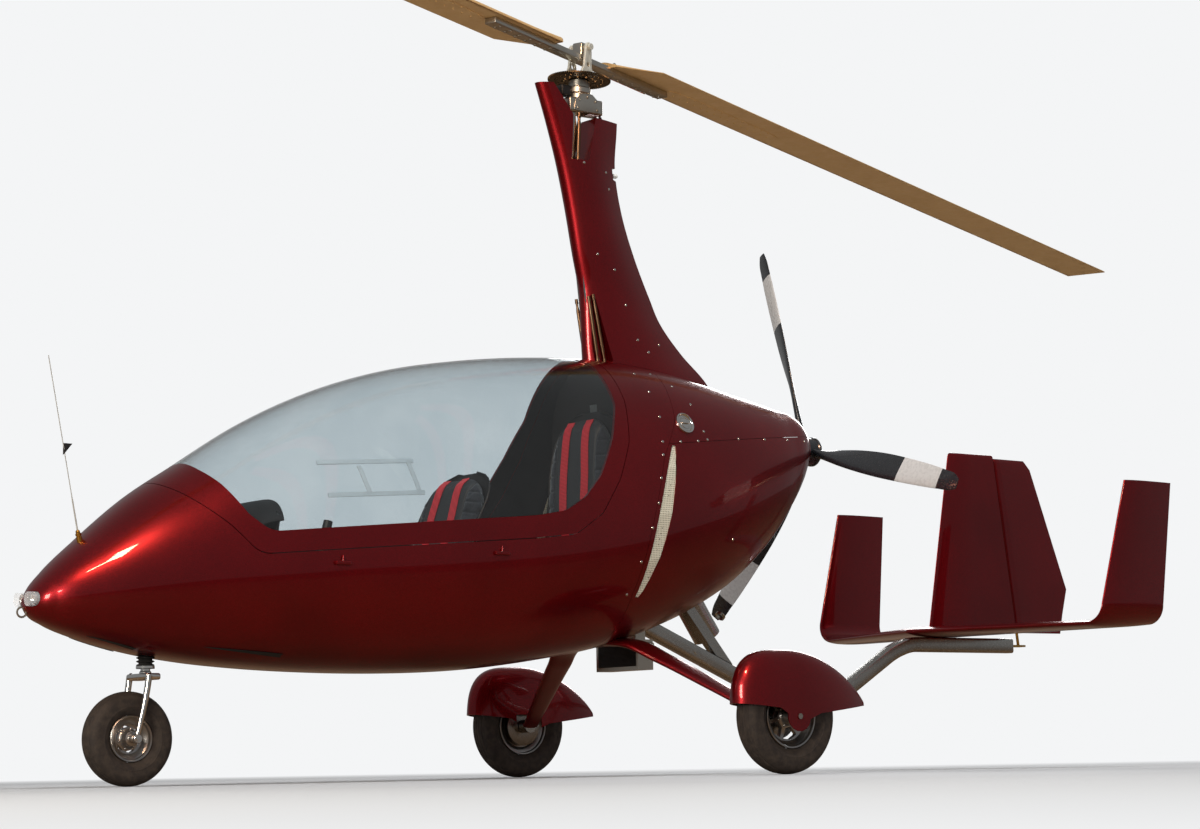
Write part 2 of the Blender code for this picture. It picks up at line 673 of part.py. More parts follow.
pod_inside = displaced(loft("cut_inside", pod_rings()), -SHELL_WALL - TOUCH)
pod_outside = displaced(loft("cut_outside", pod_rings()), TOUCH)
lamp_bay = displaced(loft("cut_nose", pod_rings()), -LAMP_DEPTH)
canopy_cut = side_cutter("cut_canopy", CANOPY_LINE)
canopy_keep = side_cutter("keep_canopy", shifted(CANOPY_LINE, SEAM))
glass_cut = side_cutter("cut_glass", GLASS_LINE)
glass_keep = side_cutter("keep_glass", shifted(GLASS_LINE, TOUCH))
aft_cut = aft_cutter("cut_aft", 0.0)
aft_keep = aft_cutter("keep_aft", TOUCH)
upper_keep = split_cutter("keep_upper", 1, TOUCH / 2)
lower_keep = split_cutter("keep_lower", -1, TOUCH / 2)


# Mast line and rotor head frame
def mast_x(z):
    return MAST_FOOT[0] + (z - MAST_FOOT[1]) * MAST_SLOPE


def square_mast(name, half, low, high, kind=None):
    ring = [(-half, -half), (half, -half), (half, half), (-half, half)]
    return loft(name, [[(mast_x(z) + x, y, z) for x, y in ring] for z in (low, high)], kind)


mast_hole = square_mast("cut_mast", MAST_HALF + TOUCH, MAST_FOOT[1] - CUT_REACH,
                        MAST_TOP_Z + CUT_REACH)
RING_Z = MAST_TOP_Z + HEAD_HEIGHT
BOLT_Z = RING_Z + TOWER_HEIGHT
RING_BELOW = RING_Z - BOLT_Z
tilt = math.radians(HEAD_TILT)
turn = math.radians(ROTOR_TURN)
SPINDLE = Vector((-math.sin(tilt), 0.0, math.cos(tilt)))
AFT = Vector((-math.cos(tilt), 0.0, -math.sin(tilt)))
SPAN = AFT * math.cos(turn) + Vector((0, -1, 0)) * math.sin(turn)
BOLT = Vector((HUB_X, 0.0, BOLT_Z))
HEAD = Matrix((SPAN, SPINDLE.cross(SPAN), SPINDLE)).transposed().to_4x4()
HEAD.translation = BOLT


def on_spindle(height):
    """Point on the spindle's line at this height above the teeter bolt."""
    return BOLT + SPINDLE * height


def in_head(obj):
    """Moves a piece made round the bolt, span along X and spindle along Z."""
    obj.matrix_world = HEAD
    return obj


# Fuselage, canopy and cowls
def make_pod():
    tub = pod_shell("fuselage_tub", SHELL_WALL, "paint")
    for cutter in (canopy_cut, aft_cut, mast_hole):
        combine(tub, cutter)
    for word, side in SIDES:
        lamp_hole = rod("cut_lamp_" + word, lamp_point(LAMP_X[0], side), lamp_point(LAMP_X[1], side),
                        LAMP_RADIUS + TOUCH)
        combine(tub, lamp_hole)
    frame = pod_shell("canopy_frame", SHELL_WALL, "paint")
    combine(frame, canopy_keep, "INTERSECT")
    combine(frame, glass_cut)
    glass = pod_shell("canopy_glass", GLASS_WALL, "glass")
    combine(glass, glass_keep, "INTERSECT")
    upper = pod_shell("cowl_upper", COWL_WALL, "paint")
    lower = pod_shell("cowl_lower", COWL_WALL, "paint")
    for cowl, keep, hole in ((upper, upper_keep, mast_hole), (lower, lower_keep, vent_cut)):
        combine(cowl, aft_keep, "INTERSECT")
        combine(cowl, keep, "INTERSECT")
        combine(cowl, hole)
    return tub, frame


def cowl_front_x(z):
    return float(np.interp(z, [p[1] for p in COWL_FRONT], [p[0] for p in COWL_FRONT]))


def vent_outline():
    """Crescent behind the cowl's front seam: straight ahead, bowed aft."""
    front, rear = [], []
    for i in range(VENT_STEPS + 1):
        share = i / VENT_STEPS
        z = VENT_BOTTOM + VENT_LENGTH * share
        x = cowl_front_x(z) - VENT_SETBACK
        bow = math.sin(math.pi * between((VENT_TIP, 1 - VENT_TIP), share)) ** VENT_FULLNESS
        front.append((x, z))
        rear.append((x - VENT_WIDTH * bow, z))
    return front + rear[::-1]


vent_cut = plate("cut_vent", vent_outline(), -POD_WIDE, POD_WIDE)


def make_vents():
    for word, side in SIDES:
        mesh = pod_shell("vent_mesh_" + word, COWL_WALL / 2, "mesh")
        keep = plate("keep_vent_" + word, inset(vent_outline(), TOUCH), 0.0, side * POD_WIDE)
        combine(mesh, keep, "INTERSECT")


def make_filler():
    x, z = FILLER_PLACE
    y = pod_side(x, z)
    profile = [(FILLER_RADIUS * share, rise) for share, rise in FILLER_TOP]
    profile += [(FILLER_RADIUS, -FILLER_DEPTH), (0.0, -FILLER_DEPTH)]
    cap = turned("filler_cap", profile, (x, y, z), (FILLER_LEAN[0], y, FILLER_LEAN[1]), "alloy",
                 steps=20, closed=False)
    combine(cap, pod_outside)


# Canopy hinges on the starboard sill, and latches on the port side
SILL = [Vector((CANOPY_LINE[i][0], 0.0, CANOPY_LINE[i][1])) for i in SILL_ENDS]


def sill_height(x):
    return between((SILL[0].z, SILL[1].z), (x - SILL[0].x) / (SILL[1].x - SILL[0].x))


HINGE_AXIS = (SILL[0] - SILL[1]).normalized()
SILL_HALF = max(pod_side(x, sill_height(x)) for x in np.linspace(SILL[1].x, SILL[0].x, POD_ROUND))
HINGE_POINT = SILL[1] - Vector((0.0, SILL_HALF + HINGE_OUTSET, 0.0))


def hinge_at(x):
    return HINGE_POINT + HINGE_AXIS * ((x - HINGE_POINT.x) / HINGE_AXIS.x)


def hinge_piece(name, x, width, side, kind=None):
    """Barrel on the hinge axis, with a leaf above (side 1) or below it that enters the skin."""
    here = hinge_at(x)
    half = HINGE_AXIS * width / 2
    barrel = rod(name, here - half, here + half, HINGE_RADIUS, kind, sides=12)
    reach = -here.y - pod_side(x, sill_height(x)) + SHELL_WALL
    low, high = sorted((here.z + side * HINGE_CLEAR, here.z + side * HINGE_LEAF))
    leaf = box(name + "_leaf", (x - width / 2, here.y, low), (x + width / 2, here.y + reach, high))
    return combine(barrel, leaf, "UNION")


def make_hinges(frame):
    for word, x in HINGE_PLACES:
        combine(hinge_piece("canopy_hinge_" + word, x, HINGE_WIDTH, -1, "steel"), pod_outside)
        beside = x - HINGE_WIDTH * (1 + LUG_SHARE) / 2 - TOUCH
        combine(frame, hinge_piece("lug_" + word, beside, HINGE_WIDTH * LUG_SHARE, 1), "UNION")


def make_latches():
    half = Vector(LATCH_SIZE) / 2
    for word, x in LATCH_PLACES:
        z = sill_height(x) - LATCH_DROP
        middle = Vector((x, pod_side(x, z), z))
        latch = box("canopy_latch_" + word, middle - half, middle + half, "alloy", THIN_EDGE)
        combine(latch, pod_outside)


# Engine and propeller
def make_engine():
    length, wide, high = ENGINE_SIZE
    low = ENGINE_CENTRE_Z - high / 2
    front = mast_x(low) - MAST_HALF - TOUCH
    block = box("engine_block", (front - length, -wide / 2, low),
                (front + ENGINE_SEAT, wide / 2, low + high), "alloy", EDGE_ROUND)
    combine(block, mast_hole)
    rod("gearbox", (front - length - TOUCH, 0, PROP_Z), (PROP_X + GEARBOX_SETBACK, 0, PROP_Z),
        GEARBOX_RADII[0], "alloy", end_radius=GEARBOX_RADII[1])


def blade_ring(radius, chord, thick, pitch):
    ring = []
    for k in range(PROP_ROUND):
        angle = 2 * math.pi * k / PROP_ROUND
        along, across = chord / 2 * math.cos(angle), thick / 2 * math.sin(angle)
        ring.append((along * math.sin(pitch) + across * math.cos(pitch),
                     along * math.cos(pitch) - across * math.sin(pitch), radius))
    return ring


def make_propeller():
    centre = Vector((PROP_X, 0, PROP_Z))
    half = PROP_HUB_LENGTH / 2
    boss, boss_length = PROP_NOSE
    shaft_end = -GEARBOX_SETBACK + TOUCH
    profile = [(0.0, half + boss_length), (boss * BOSS_TAPER, half + boss_length * BOSS_TAPER), (boss, half),
               (PROP_HUB_RADIUS, half - PROP_HUB_CHAMFER), (PROP_HUB_RADIUS, -half),
               (PROP_SHAFT_RADIUS, -half), (PROP_SHAFT_RADIUS, shaft_end), (0.0, shaft_end)]
    hub = turned("propeller", profile, centre, (-1, 0, 0), "dark", steps=24, closed=False)
    rings = [blade_ring(share * PROP_RADIUS, chord, thick, math.radians(pitch))
             for share, chord, thick, pitch in PROP_SECTIONS]
    for k in range(PROP_BLADES):
        blade = loft(f"blade_{k + 1}", rings)
        blade.rotation_euler = (math.radians(-PROP_PHASE) + 2 * math.pi * k / PROP_BLADES, 0, 0)
        blade.location = centre
        combine(hub, blade, "UNION")


# Mast and fairing
def foil_ring(front, rear, half, z):
    """A streamlined section: round in front, thin at the back."""
    side = []
    for u in eased(FAIRING_ROUND):
        if u < FAIRING_WIDEST:
            swell = math.sqrt(1 - (1 - u / FAIRING_WIDEST) ** 2)
        else:
            swell = math.cos((u - FAIRING_WIDEST) / (1 - FAIRING_WIDEST) * FAIRING_TAPER)
        side.append((between((front, rear), u), half * swell, z))
    return side + [(x, -y, h) for x, y, h in side[:0:-1]]


def make_mast():
    rings = []
    for share, front, rear, half in FAIRING_SECTIONS:
        z = between((FAIRING_FOOT_Z, MAST_TOP_Z), share)
        rings.append(foil_ring(mast_x(z) + front, mast_x(z) + rear, half, z))
    fairing = loft("mast_fairing", rings, "paint")
    for cutter in (pod_outside, mast_hole):
        combine(fairing, cutter)
    for name, outline in (("cut_gap", HEAD_GAP), ("cut_notch", REAR_NOTCH)):
        line = [(mast_x(MAST_TOP_Z - depth) + x, MAST_TOP_Z - depth) for x, depth in outline]
        combine(fairing, plate(name, line, -CUT_REACH, CUT_REACH))
    square_mast("mast_tube", MAST_HALF, MAST_FOOT[1], MAST_TOP_Z, "steel")
    floor = MAST_HALF + POCKET_WALL
    for word, side in SIDES:
        combine(fairing, plate("cut_pocket_" + word, POCKET, side * floor, side * CUT_REACH))
        keep = plate("keep_rods_" + word, inset(POCKET, TOUCH), side * floor, side * CUT_REACH)
        y = side * (floor + TOUCH + POCKET_ROD_RADIUS)
        for name, foot, top in POCKET_RODS:
            lower = rod(name + word, (foot[0], y, foot[1]), (top[0], y, top[1]),
                        POCKET_ROD_RADIUS, "steel", sides=12)
            combine(lower, keep, "INTERSECT")
            combine(lower, pod_outside)


def make_head():
    length, wide, high = BLOCK_SIZE
    base = MAST_TOP_Z + TOUCH
    block = box("rotor_head_block", (HUB_X - length / 2, -wide / 2, base),
                (HUB_X + length / 2, wide / 2, base + high), "alloy", EDGE_ROUND)
    bearing = rod("bearing_housing", on_spindle(base + high / 2 - BOLT_Z),
                  on_spindle(RING_BELOW - RING_THICK / 2 - TOUCH), BEARING_RADIUS)
    combine(block, bearing, "UNION")
    floor = MAST_TOP_Z - GAP_FLOOR
    spread = MAST_HALF + ROD_CLEAR + ROD_RADIUS
    for word, side in SIDES:
        foot = Vector((mast_x(floor), side * spread, floor))
        top = Vector((mast_x(MAST_TOP_Z) - spread, side * (spread - ROD_CLOSER), MAST_TOP_Z))
        run = top - foot
        slant = Vector((0, 0, ROD_RADIUS * math.hypot(run.x, run.y) / run.z))
        rod("control_rod_" + word, foot + slant + Vector((0, 0, TOUCH)), top - slant, ROD_RADIUS,
            "steel", sides=12)


# Rotor
def rotor_section(base, share):
    """Flat-bottomed blade section, nose at +y; share is how much of the tail half is left."""
    nose, tail = ROTOR_CHORD * ROTOR_NOSE, -ROTOR_CHORD * (1 - ROTOR_NOSE) * share
    points = []
    for u in eased(FAIRING_ROUND):
        swell = (math.sqrt(u) * 2.9690 - 1.2600 * u - 3.5160 * u**2 + 2.8430 * u**3
                 - 1.0150 * u**4)
        rise = ROTOR_EDGE + (ROTOR_THICK - ROTOR_EDGE) * max(0.0, swell)
        points.append((between((nose, tail), u), base + rise))
    return [*points, (tail, base), (nose - ROTOR_LIP, base)]


def make_ring():
    half = RING_THICK / 2
    ring = turned("prerotator_ring", [(0.0, half), (RING_RADIUS, half), (RING_RADIUS, -half), (0.0, -half)],
                  on_spindle(RING_BELOW), SPINDLE, "steel", steps=36, closed=False)
    for k in range(RING_HOLES):
        angle = 2 * math.pi * k / RING_HOLES
        x, y = (RING_RADIUS * RING_HOLE_PLACE * side for side in (math.cos(angle), math.sin(angle)))
        hole = rod(f"cut_ring_{k}", (x, y, RING_BELOW - RING_THICK), (x, y, RING_BELOW + RING_THICK),
                   RING_HOLE_RADIUS, sides=8)
        combine(ring, in_head(hole))


def make_towers():
    inner, outer = TOWER_GAP / 2, TOWER_GAP / 2 + TOWER_THICK
    base = RING_BELOW + RING_THICK / 2
    half, thick = TOWER_BASE[0] / 2, TOWER_BASE[1]
    tower = in_head(box("rotor_towers", (-half, -outer, base + TOUCH), (half, outer, base + thick), "alloy"))
    foot, head = (width / 2 for width in TOWER_WIDTH)
    outline = [(-foot, base + BITE), (foot, base + BITE), (head, TOWER_CROWN), (-head, TOWER_CROWN)]
    for word, side in SIDES:
        cheek = plate("tower_" + word, outline, side * inner, side * outer)
        combine(tower, in_head(cheek), "UNION")
    end = outer + BOLT_STICKOUT
    bolt = rod("teeter_bolt", (0, -end, 0), (0, end, 0), BOLT_RADIUS, sides=14)
    combine(tower, in_head(bolt), "UNION")


def make_rotor():
    make_ring()
    make_towers()
    length, width, thick = HUB_BAR_SIZE
    top = thick / 2 - UNDERSLING
    bar = in_head(box("hub_bar", (-length / 2, -width / 2, top - thick),
                      (length / 2, width / 2, top), "alloy"))
    ear_x, ear_y = (size / 2 for size in HUB_EAR)
    ear = box("hub_ear", (-ear_x, -ear_y, -UNDERSLING), (ear_x, ear_y, TOWER_CROWN))
    combine(bar, in_head(ear), "UNION")
    bore = rod("cut_bolt", (0, -width, 0), (0, width, 0), BOLT_RADIUS + TOUCH, sides=14)
    combine(bar, in_head(bore))
    tip_length, tip_share = ROTOR_TIP
    stations = ((ROTOR_ROOT, ROTOR_ROOT_SHARE), (ROTOR_ROOT + ROTOR_CHAMFER, 1.0),
                (ROTOR_RADIUS - tip_length, 1.0), (ROTOR_RADIUS, tip_share))
    for name, side in (("rotor_blade_aft", 1), ("rotor_blade_fore", -1)):
        rings = [[(side * r, side * y, z) for y, z in rotor_section(top + TOUCH, share)]
                 for r, share in stations]
        in_head(loft(name, rings, "blade"))


# Wheels
def make_wheel(name, axle, diameter, width, rim_diameter, side):
    """A tyre with round shoulders on a dished rim; side is +1 where the dish faces port."""
    outer, rim, half = diameter / 2, rim_diameter / 2, width / 2
    lip = half * RIM_SHARE
    bead = rim + RIM_SEAT
    flank = (outer + rim) / 2
    one_side = [(bead, lip), (bead + RIM_LIP, half * TYRE_FOOT), (flank, half)]
    one_side += [(outer - drop, half * share) for drop, share in TYRE_SHOULDER]
    profile = one_side + [(r, -y) for r, y in one_side[::-1]]
    turned("tyre_" + name, profile, axle, (0, side, 0), "rubber", steps=WHEEL_STEPS)
    seat, edge, well, bore = bead - TOUCH, rim - RIM_LIP, rim - RIM_WELL, AXLE_RADIUS + TOUCH
    end = half * HUB_SHARE
    inner = [(seat, -lip), (edge, -lip), (well, -lip / 2), (well - THIN_EDGE, DISC[1] / 2),
             (HUB_RADIUS, DISC[1]), (HUB_RADIUS, -end), (bore, -end)]
    outer_side = [(bore, end), (HUB_RADIUS, end), (HUB_RADIUS, DISC[0]), (well - THIN_EDGE, DISC[0]),
                  (well, lip / 2), (edge, lip), (seat, lip)]
    turned("rim_" + name, inner + outer_side, axle, (0, side, 0), "alloy", steps=WHEEL_STEPS)


# Gear spring, axles and fenders
def spring_end(side):
    reach = TRACK / 2 - MAIN_TYRE_WIDTH / 2 - SPRING_END
    return Vector((MAIN_AXLE_X, side * reach, MAIN_TYRE_DIAMETER / 2 + SPRING_RISE))


def spring_half(side):
    """Stations from the middle out to one end: how far the taper has come, and the point."""
    x, half = SPRING_ROOT
    z = SPRING_TOP_Z - SPRING_THICK[0] / 2
    root, end = Vector((x, side * half, z)), spring_end(side)
    stations = [(0.0, Vector((x + SPRING_MIDDLE, side * half / 2, z)))]
    for along, taper, lift in SPRING_BOW:
        stations.append((taper, root.lerp(end, along) + Vector((0, 0, lift))))
    return [*stations, (1.0, end)]


def make_spring():
    rings = []
    for taper, point in spring_half(-1)[::-1] + spring_half(1):
        chord, thick = between(SPRING_CHORD, taper) / 2, between(SPRING_THICK, taper) / 2
        ring = []
        for k in range(SPRING_ROUND):
            angle = 2 * math.pi * k / SPRING_ROUND
            ring.append((point.x + chord * math.cos(angle), point.y, point.z + thick * math.sin(angle)))
        rings.append(ring)
    combine(loft("gear_spring", rings, "paint"), pod_outside)


def make_axle(word, side):
    start = Vector((MAIN_AXLE_X, spring_end(side).y + side * TOUCH, MAIN_TYRE_DIAMETER / 2))
    wheel_y = side * TRACK / 2
    hub_face = wheel_y - side * (MAIN_TYRE_WIDTH / 2 * HUB_SHARE + TOUCH)
    end = wheel_y + side * (FENDER_HALF + BITE)
    axle = rod("axle_" + word, start, (start.x, end, start.z), AXLE_RADIUS, "steel", sides=AXLE_SIDES)
    flange = rod("flange_" + word, start, (start.x, hub_face, start.z), FLANGE_RADIUS, sides=AXLE_SIDES)
    combine(axle, flange, "UNION")


def fender_ring(x, side, amount):
    """Teardrop section at x, drawn in by the amount: round over the wheel, narrow at the tail."""
    ahead, behind = (length - amount for length in FENDER_LENGTH)
    rel = x - MAIN_AXLE_X
    if rel > 0:
        swell = math.sqrt(1 - min(1.0, rel / ahead) ** FENDER_BLUNT[0])
    else:
        swell = (1 - min(1.0, -rel / behind) ** FENDER_BLUNT[1]) ** FENDER_BLUNT[2]
    half = max(FENDER_HALF * swell - amount, FAIRING_WALL - amount / 2)
    edge = MAIN_TYRE_DIAMETER / 2 + FENDER_EDGE
    top = between((edge, MAIN_TYRE_DIAMETER + FENDER_RISE), swell) - amount
    low = MAIN_TYRE_DIAMETER / 2 - FENDER_LOBE * 2 - amount
    ring = []
    for k in range(FENDER_ROUND + 1):
        angle = math.pi * k / FENDER_ROUND
        y = half * math.copysign(abs(math.cos(angle)) ** FENDER_CROWN[0], math.cos(angle))
        z = between((low, top), abs(math.sin(angle)) ** FENDER_CROWN[1])
        ring.append((x, side * TRACK / 2 + y, z))
    return ring


def fender_rings(side, amount):
    ahead, behind = (length - amount for length in FENDER_LENGTH)
    front, rear = FENDER_STEPS
    quarter = math.pi / 2
    xs = [MAIN_AXLE_X + ahead * math.cos(quarter * k / front) for k in range(front + 1)]
    xs += [MAIN_AXLE_X - behind * math.sin(quarter * k / rear) for k in range(1, rear + 1)]
    return [fender_ring(x, side, amount) for x in xs]


def fender_edge():
    """Outline below the fender's lower edge, with a round cheek that covers the axle."""
    x, z = MAIN_AXLE_X, MAIN_TYRE_DIAMETER / 2
    front, rear = x + FENDER_LENGTH[0] + CUT_REACH, x - FENDER_LENGTH[1] - CUT_REACH
    first, second, third, fourth = FENDER_LINE
    cheek = [(x + FENDER_LOBE * math.cos(a), z + FENDER_LOBE * math.sin(a))
             for a in np.linspace(CHEEK_TURN, CHEEK_TURN - math.pi, FENDER_ROUND)]
    line = [(front, z + first[1]), (x + FENDER_LOBE * second[0], z + second[1]), *cheek,
            (x + FENDER_LOBE * third[0], z + third[1]), (rear, z + fourth[1])]
    return [*line, (rear, z - CUT_REACH), (front, z - CUT_REACH)]


def make_fender(word, side):
    x, y, z = MAIN_AXLE_X, side * TRACK / 2, MAIN_TYRE_DIAMETER / 2
    far = y + side * CUT_REACH
    fender = loft("fender_" + word, fender_rings(side, 0.0), "paint")
    combine(fender, loft("cut_inside_" + word, fender_rings(side, FAIRING_WALL)))
    combine(fender, plate("cut_fender_" + word, fender_edge(), y - CUT_REACH, y + CUT_REACH))
    half, top = LEG_SLOT
    y_low, y_high = sorted((y - side * (MAIN_TYRE_WIDTH / 2 + LEG_SLOT_GAP), y - side * CUT_REACH))
    combine(fender, box("cut_leg_" + word, (x - half, y_low, z - CUT_REACH), (x + half, y_high, z + top)))
    combine(fender, rod("cut_axle_" + word, (x, y, z), (x, far, z), AXLE_RADIUS + TOUCH, sides=AXLE_SIDES))


# Nose leg
def make_fork(keel):
    axle = Vector((NOSE_AXLE_X, 0, NOSE_TYRE_DIAMETER / 2))
    hub_half = NOSE_TYRE_WIDTH / 2 * HUB_SHARE
    leg_y = NOSE_TYRE_WIDTH / 2 + FORK_GAP + FORK_TUBE
    behind, ahead, high = FORK_CROWN
    crown_y = leg_y + FORK_TUBE / 2
    middle_z = FORK_CROWN_Z - high / 2
    strut = rod("nose_fork", (STEER_X, 0, middle_z), (STEER_X, 0, keel + STRUT_INSIDE),
                STRUT_RADIUS, "alloy")
    combine(strut, box("fork_crown", (STEER_X - behind, -crown_y, FORK_CROWN_Z - high),
                       (STEER_X + ahead, crown_y, FORK_CROWN_Z), bevel=THIN_EDGE), "UNION")
    for word, side in SIDES:
        start = (STEER_X + FORK_LEG_START, side * leg_y, middle_z)
        leg = rod("fork_leg_" + word, start, (axle.x, side * leg_y, axle.z), FORK_TUBE,
                  end_radius=FORK_TUBE * FORK_TAPER, sides=14)
        eye = rod("fork_eye_" + word, (axle.x, side * (hub_half + TOUCH), axle.z),
                  (axle.x, side * (leg_y + FORK_TUBE + BITE), axle.z), FORK_EYE, sides=16)
        fused(strut, (leg, eye))
    reach = Vector((0, hub_half + BITE, 0))
    combine(strut, rod("nose_axle", axle - reach, axle + reach, AXLE_RADIUS, sides=AXLE_SIDES), "UNION")


def make_gaiter(keel):
    top, low = keel + GAITER_TOP, FORK_CROWN_Z + GAITER_GAP
    step = (top - low) / GAITER_FOLDS
    # its bore's flats stay clear of the strut's corners as the strut turns
    bore = (STRUT_RADIUS + TOUCH) / math.cos(math.pi / GAITER_ROUND)
    profile = [(GAITER_RADIUS, top)]
    for k in range(GAITER_FOLDS):
        profile.append((GAITER_RADIUS + GAITER_FOLD, top - step * (k + 0.5)))
        profile.append((GAITER_RADIUS - GAITER_FOLD / 2, top - step * (k + 1)))
    profile += [(bore, low), (bore, top)]
    turned("nose_gaiter", profile, (STEER_X, 0, 0), (0, 0, 1), "rubber", steps=GAITER_ROUND)


def make_nose_leg(tub):
    keel = pod_at(STEER_X)[1]
    make_fork(keel)
    make_gaiter(keel)
    well = rod("cut_well", (STEER_X, 0, keel - CUT_REACH), (STEER_X, 0, keel + GAITER_TOP),
               GAITER_RADIUS + GAITER_FOLD + TOUCH)
    combine(tub, well)
    low, strut_end = keel + GAITER_TOP + TOUCH, keel + STRUT_INSIDE
    socket = rod("nose_leg_socket", (STEER_X, 0, low), (STEER_X, 0, strut_end + SOCKET_ABOVE),
                 SOCKET_RADIUS, "dark")
    length, high = SOCKET_WEB
    combine(socket, box("socket_web", (STEER_X - length / 2, -POD_WIDE, low + THIN_EDGE),
                        (STEER_X + length / 2, POD_WIDE, low + THIN_EDGE + high)), "UNION")
    combine(socket, rod("cut_socket", (STEER_X, 0, keel), (STEER_X, 0, strut_end + TOUCH),
                        STRUT_RADIUS + TOUCH))
    combine(socket, pod_inside, "INTERSECT")


def make_gear(tub):
    make_spring()
    for word, side in SIDES:
        axle = (MAIN_AXLE_X, side * TRACK / 2, MAIN_TYRE_DIAMETER / 2)
        make_wheel(word, axle, MAIN_TYRE_DIAMETER, MAIN_TYRE_WIDTH, MAIN_RIM_DIAMETER, side)
        make_axle(word, side)
        make_fender(word, side)
    make_wheel("nose", (NOSE_AXLE_X, 0, NOSE_TYRE_DIAMETER / 2), NOSE_TYRE_DIAMETER,
               NOSE_TYRE_WIDTH, NOSE_RIM_DIAMETER, 1)
    make_nose_leg(tub)


# Boom, strut, silencer and cooler
def beam(name, path, width, height, kind=None):
    """A rectangle carried along a path in the middle plane."""
    points = [Vector(p) for p in path]
    rings = []
    for i, point in enumerate(points):
        along = (points[min(i + 1, len(points) - 1)] - points[max(i - 1, 0)]).normalized()
        up = Vector((-along.y, along.x)) * height / 2
        rings.append([(point.x + s * up.x, y, point.y + s * up.y)
                      for s, y in ((1, -width / 2), (1, width / 2), (-1, width / 2), (-1, -width / 2))])
    return loft(name, rings, kind)


def make_boom():
    path = bent(BOOM_PATH, BOOM_BEND)
    boom = beam("tail_boom", path, BOOM_WIDTH, BOOM_HEIGHT, "steel")
    combine(boom, pod_outside)
    foot_z = float(np.interp(-STRUT_FOOT_X, [-x for x, _ in path], [z for _, z in path]))
    strut = beam("boom_strut", (STRUT_TOP, (STRUT_FOOT_X, foot_z)), *STRUT_SIZE, "steel")
    combine(strut, pod_outside)
    combine(strut, beam("cut_strut", path, BOOM_WIDTH * 2, BOOM_HEIGHT + 2 * TOUCH))
    silencer = rod("silencer", *SILENCER_ENDS, SILENCER_RADIUS, "steel")
    combine(silencer, pod_outside)
    return boom


def make_cooler():
    cooler = box("oil_cooler", COOLER_LOW, COOLER_HIGH, "alloy")
    ends, sides = COOLER_NECK
    low = Vector((COOLER_LOW[0] + ends, COOLER_LOW[1] + sides, COOLER_HIGH[2] - BITE))
    high = Vector((COOLER_HIGH[0] - ends, COOLER_HIGH[1] - sides, COOLER_HIGH[2] + COOLER_NECK_LENGTH))
    combine(cooler, box("cooler_neck", low, high), "UNION")
    combine(cooler, pod_outside)


# Tailplane, fins and rudder
STAB_Z = BOOM_PATH[-1][1] + BOOM_HEIGHT / 2 + STAB_THICK / 2


def surface_ring(front, rear, thick, y, z, angle):
    """Symmetric aerofoil from front to rear, turned up by the angle about its chord."""
    side = []
    for u in eased(SURFACE_STEPS):
        swell = 1.4845 * math.sqrt(u) - 0.63 * u - 1.758 * u**2 + 1.4215 * u**3 - 0.5075 * u**4
        side.append((between((front, rear), u), thick * max(swell, TAIL_EDGE * u)))
    upper = [(x, y - off * math.sin(angle), z + off * math.cos(angle)) for x, off in side]
    lower = [(x, y + off * math.sin(angle), z - off * math.cos(angle)) for x, off in side]
    return upper + lower[:0:-1]


def tailplane_half():
    """Sections from the middle out along one half, round the turn and up the tip fin."""
    flat = STAB_HALF_SPAN - TIP_TURN
    rows = [(flat * share, 0.0, 0.0, TIP_SHARE * share) for share in (0.0, STAB_NOSE, 0.5, 1.0)]
    for k in range(1, TIP_STEPS + 1):
        angle = math.pi / 2 * k / TIP_STEPS
        rows.append((flat + TIP_TURN * math.sin(angle), TIP_TURN * (1 - math.cos(angle)), angle,
                     between((TIP_SHARE, 1.0), k / TIP_STEPS)))
    rings = []
    for y, rise, angle, share in rows:
        front, rear = between((STAB_ROOT[0], STAB_TIP[0]), share), between((STAB_ROOT[1], STAB_TIP[1]), share)
        thick = between((STAB_THICK, SIDE_FIN_THICK), share)
        rings.append(surface_ring(front, rear, thick, y, STAB_Z + rise, angle))
    for share in (SIDE_FIN_MIDDLE, 1.0):
        front, rear = (between((STAB_TIP[i], SIDE_FIN_TOP_CHORD[i]), share) for i in (0, 1))
        z = between((STAB_Z + TIP_TURN, SIDE_FIN_TOP), share)
        rings.append(surface_ring(front, rear, SIDE_FIN_THICK, STAB_HALF_SPAN + SIDE_FIN_CANT * share,
                                  z, math.pi / 2))
    return rings


def make_tailplane():
    port = tailplane_half()
    starboard = [[(x, -y, z) for x, y, z in ring] for ring in port[1:]]
    loft("tailplane", port[::-1] + starboard, "paint")
    return displaced(loft("cut_tailplane", port[::-1] + starboard), TOUCH)


def hinge_x(z):
    return between(HINGE_X, (z - HINGE_FOOT_Z) / (FIN_TOP - HINGE_FOOT_Z))


def make_fin(tailplane_cut):
    nose = FIN_THICK / 2 * RUDDER_NOSE
    foot = STAB_Z + STAB_THICK * FIN_SINK
    rings = []
    for share in (0.0, 1.0):
        z = between((foot, FIN_TOP), share)
        front, rear = between(FIN_FRONT, share), hinge_x(z) + nose + RUDDER_GAP
        half = FIN_THICK / 2 * (1 - FIN_THIN * share)
        side = []
        for k in range(1, FIN_STEPS + 1):
            u = 1 - math.cos(math.pi / 2 * k / FIN_STEPS)
            swell = math.sin(math.pi / 2 * min(1.0, u / FIN_WIDEST)) ** FIN_FULLNESS
            swell *= 1 - FIN_TAPER * max(0.0, u - FIN_WIDEST)
            side.append((between((front, rear), u), half * swell, z))
        rings.append([(front, 0, z), *side, *((x, -y, h) for x, y, h in side[::-1])])
    combine(loft("centre_fin", rings, "paint"), tailplane_cut)


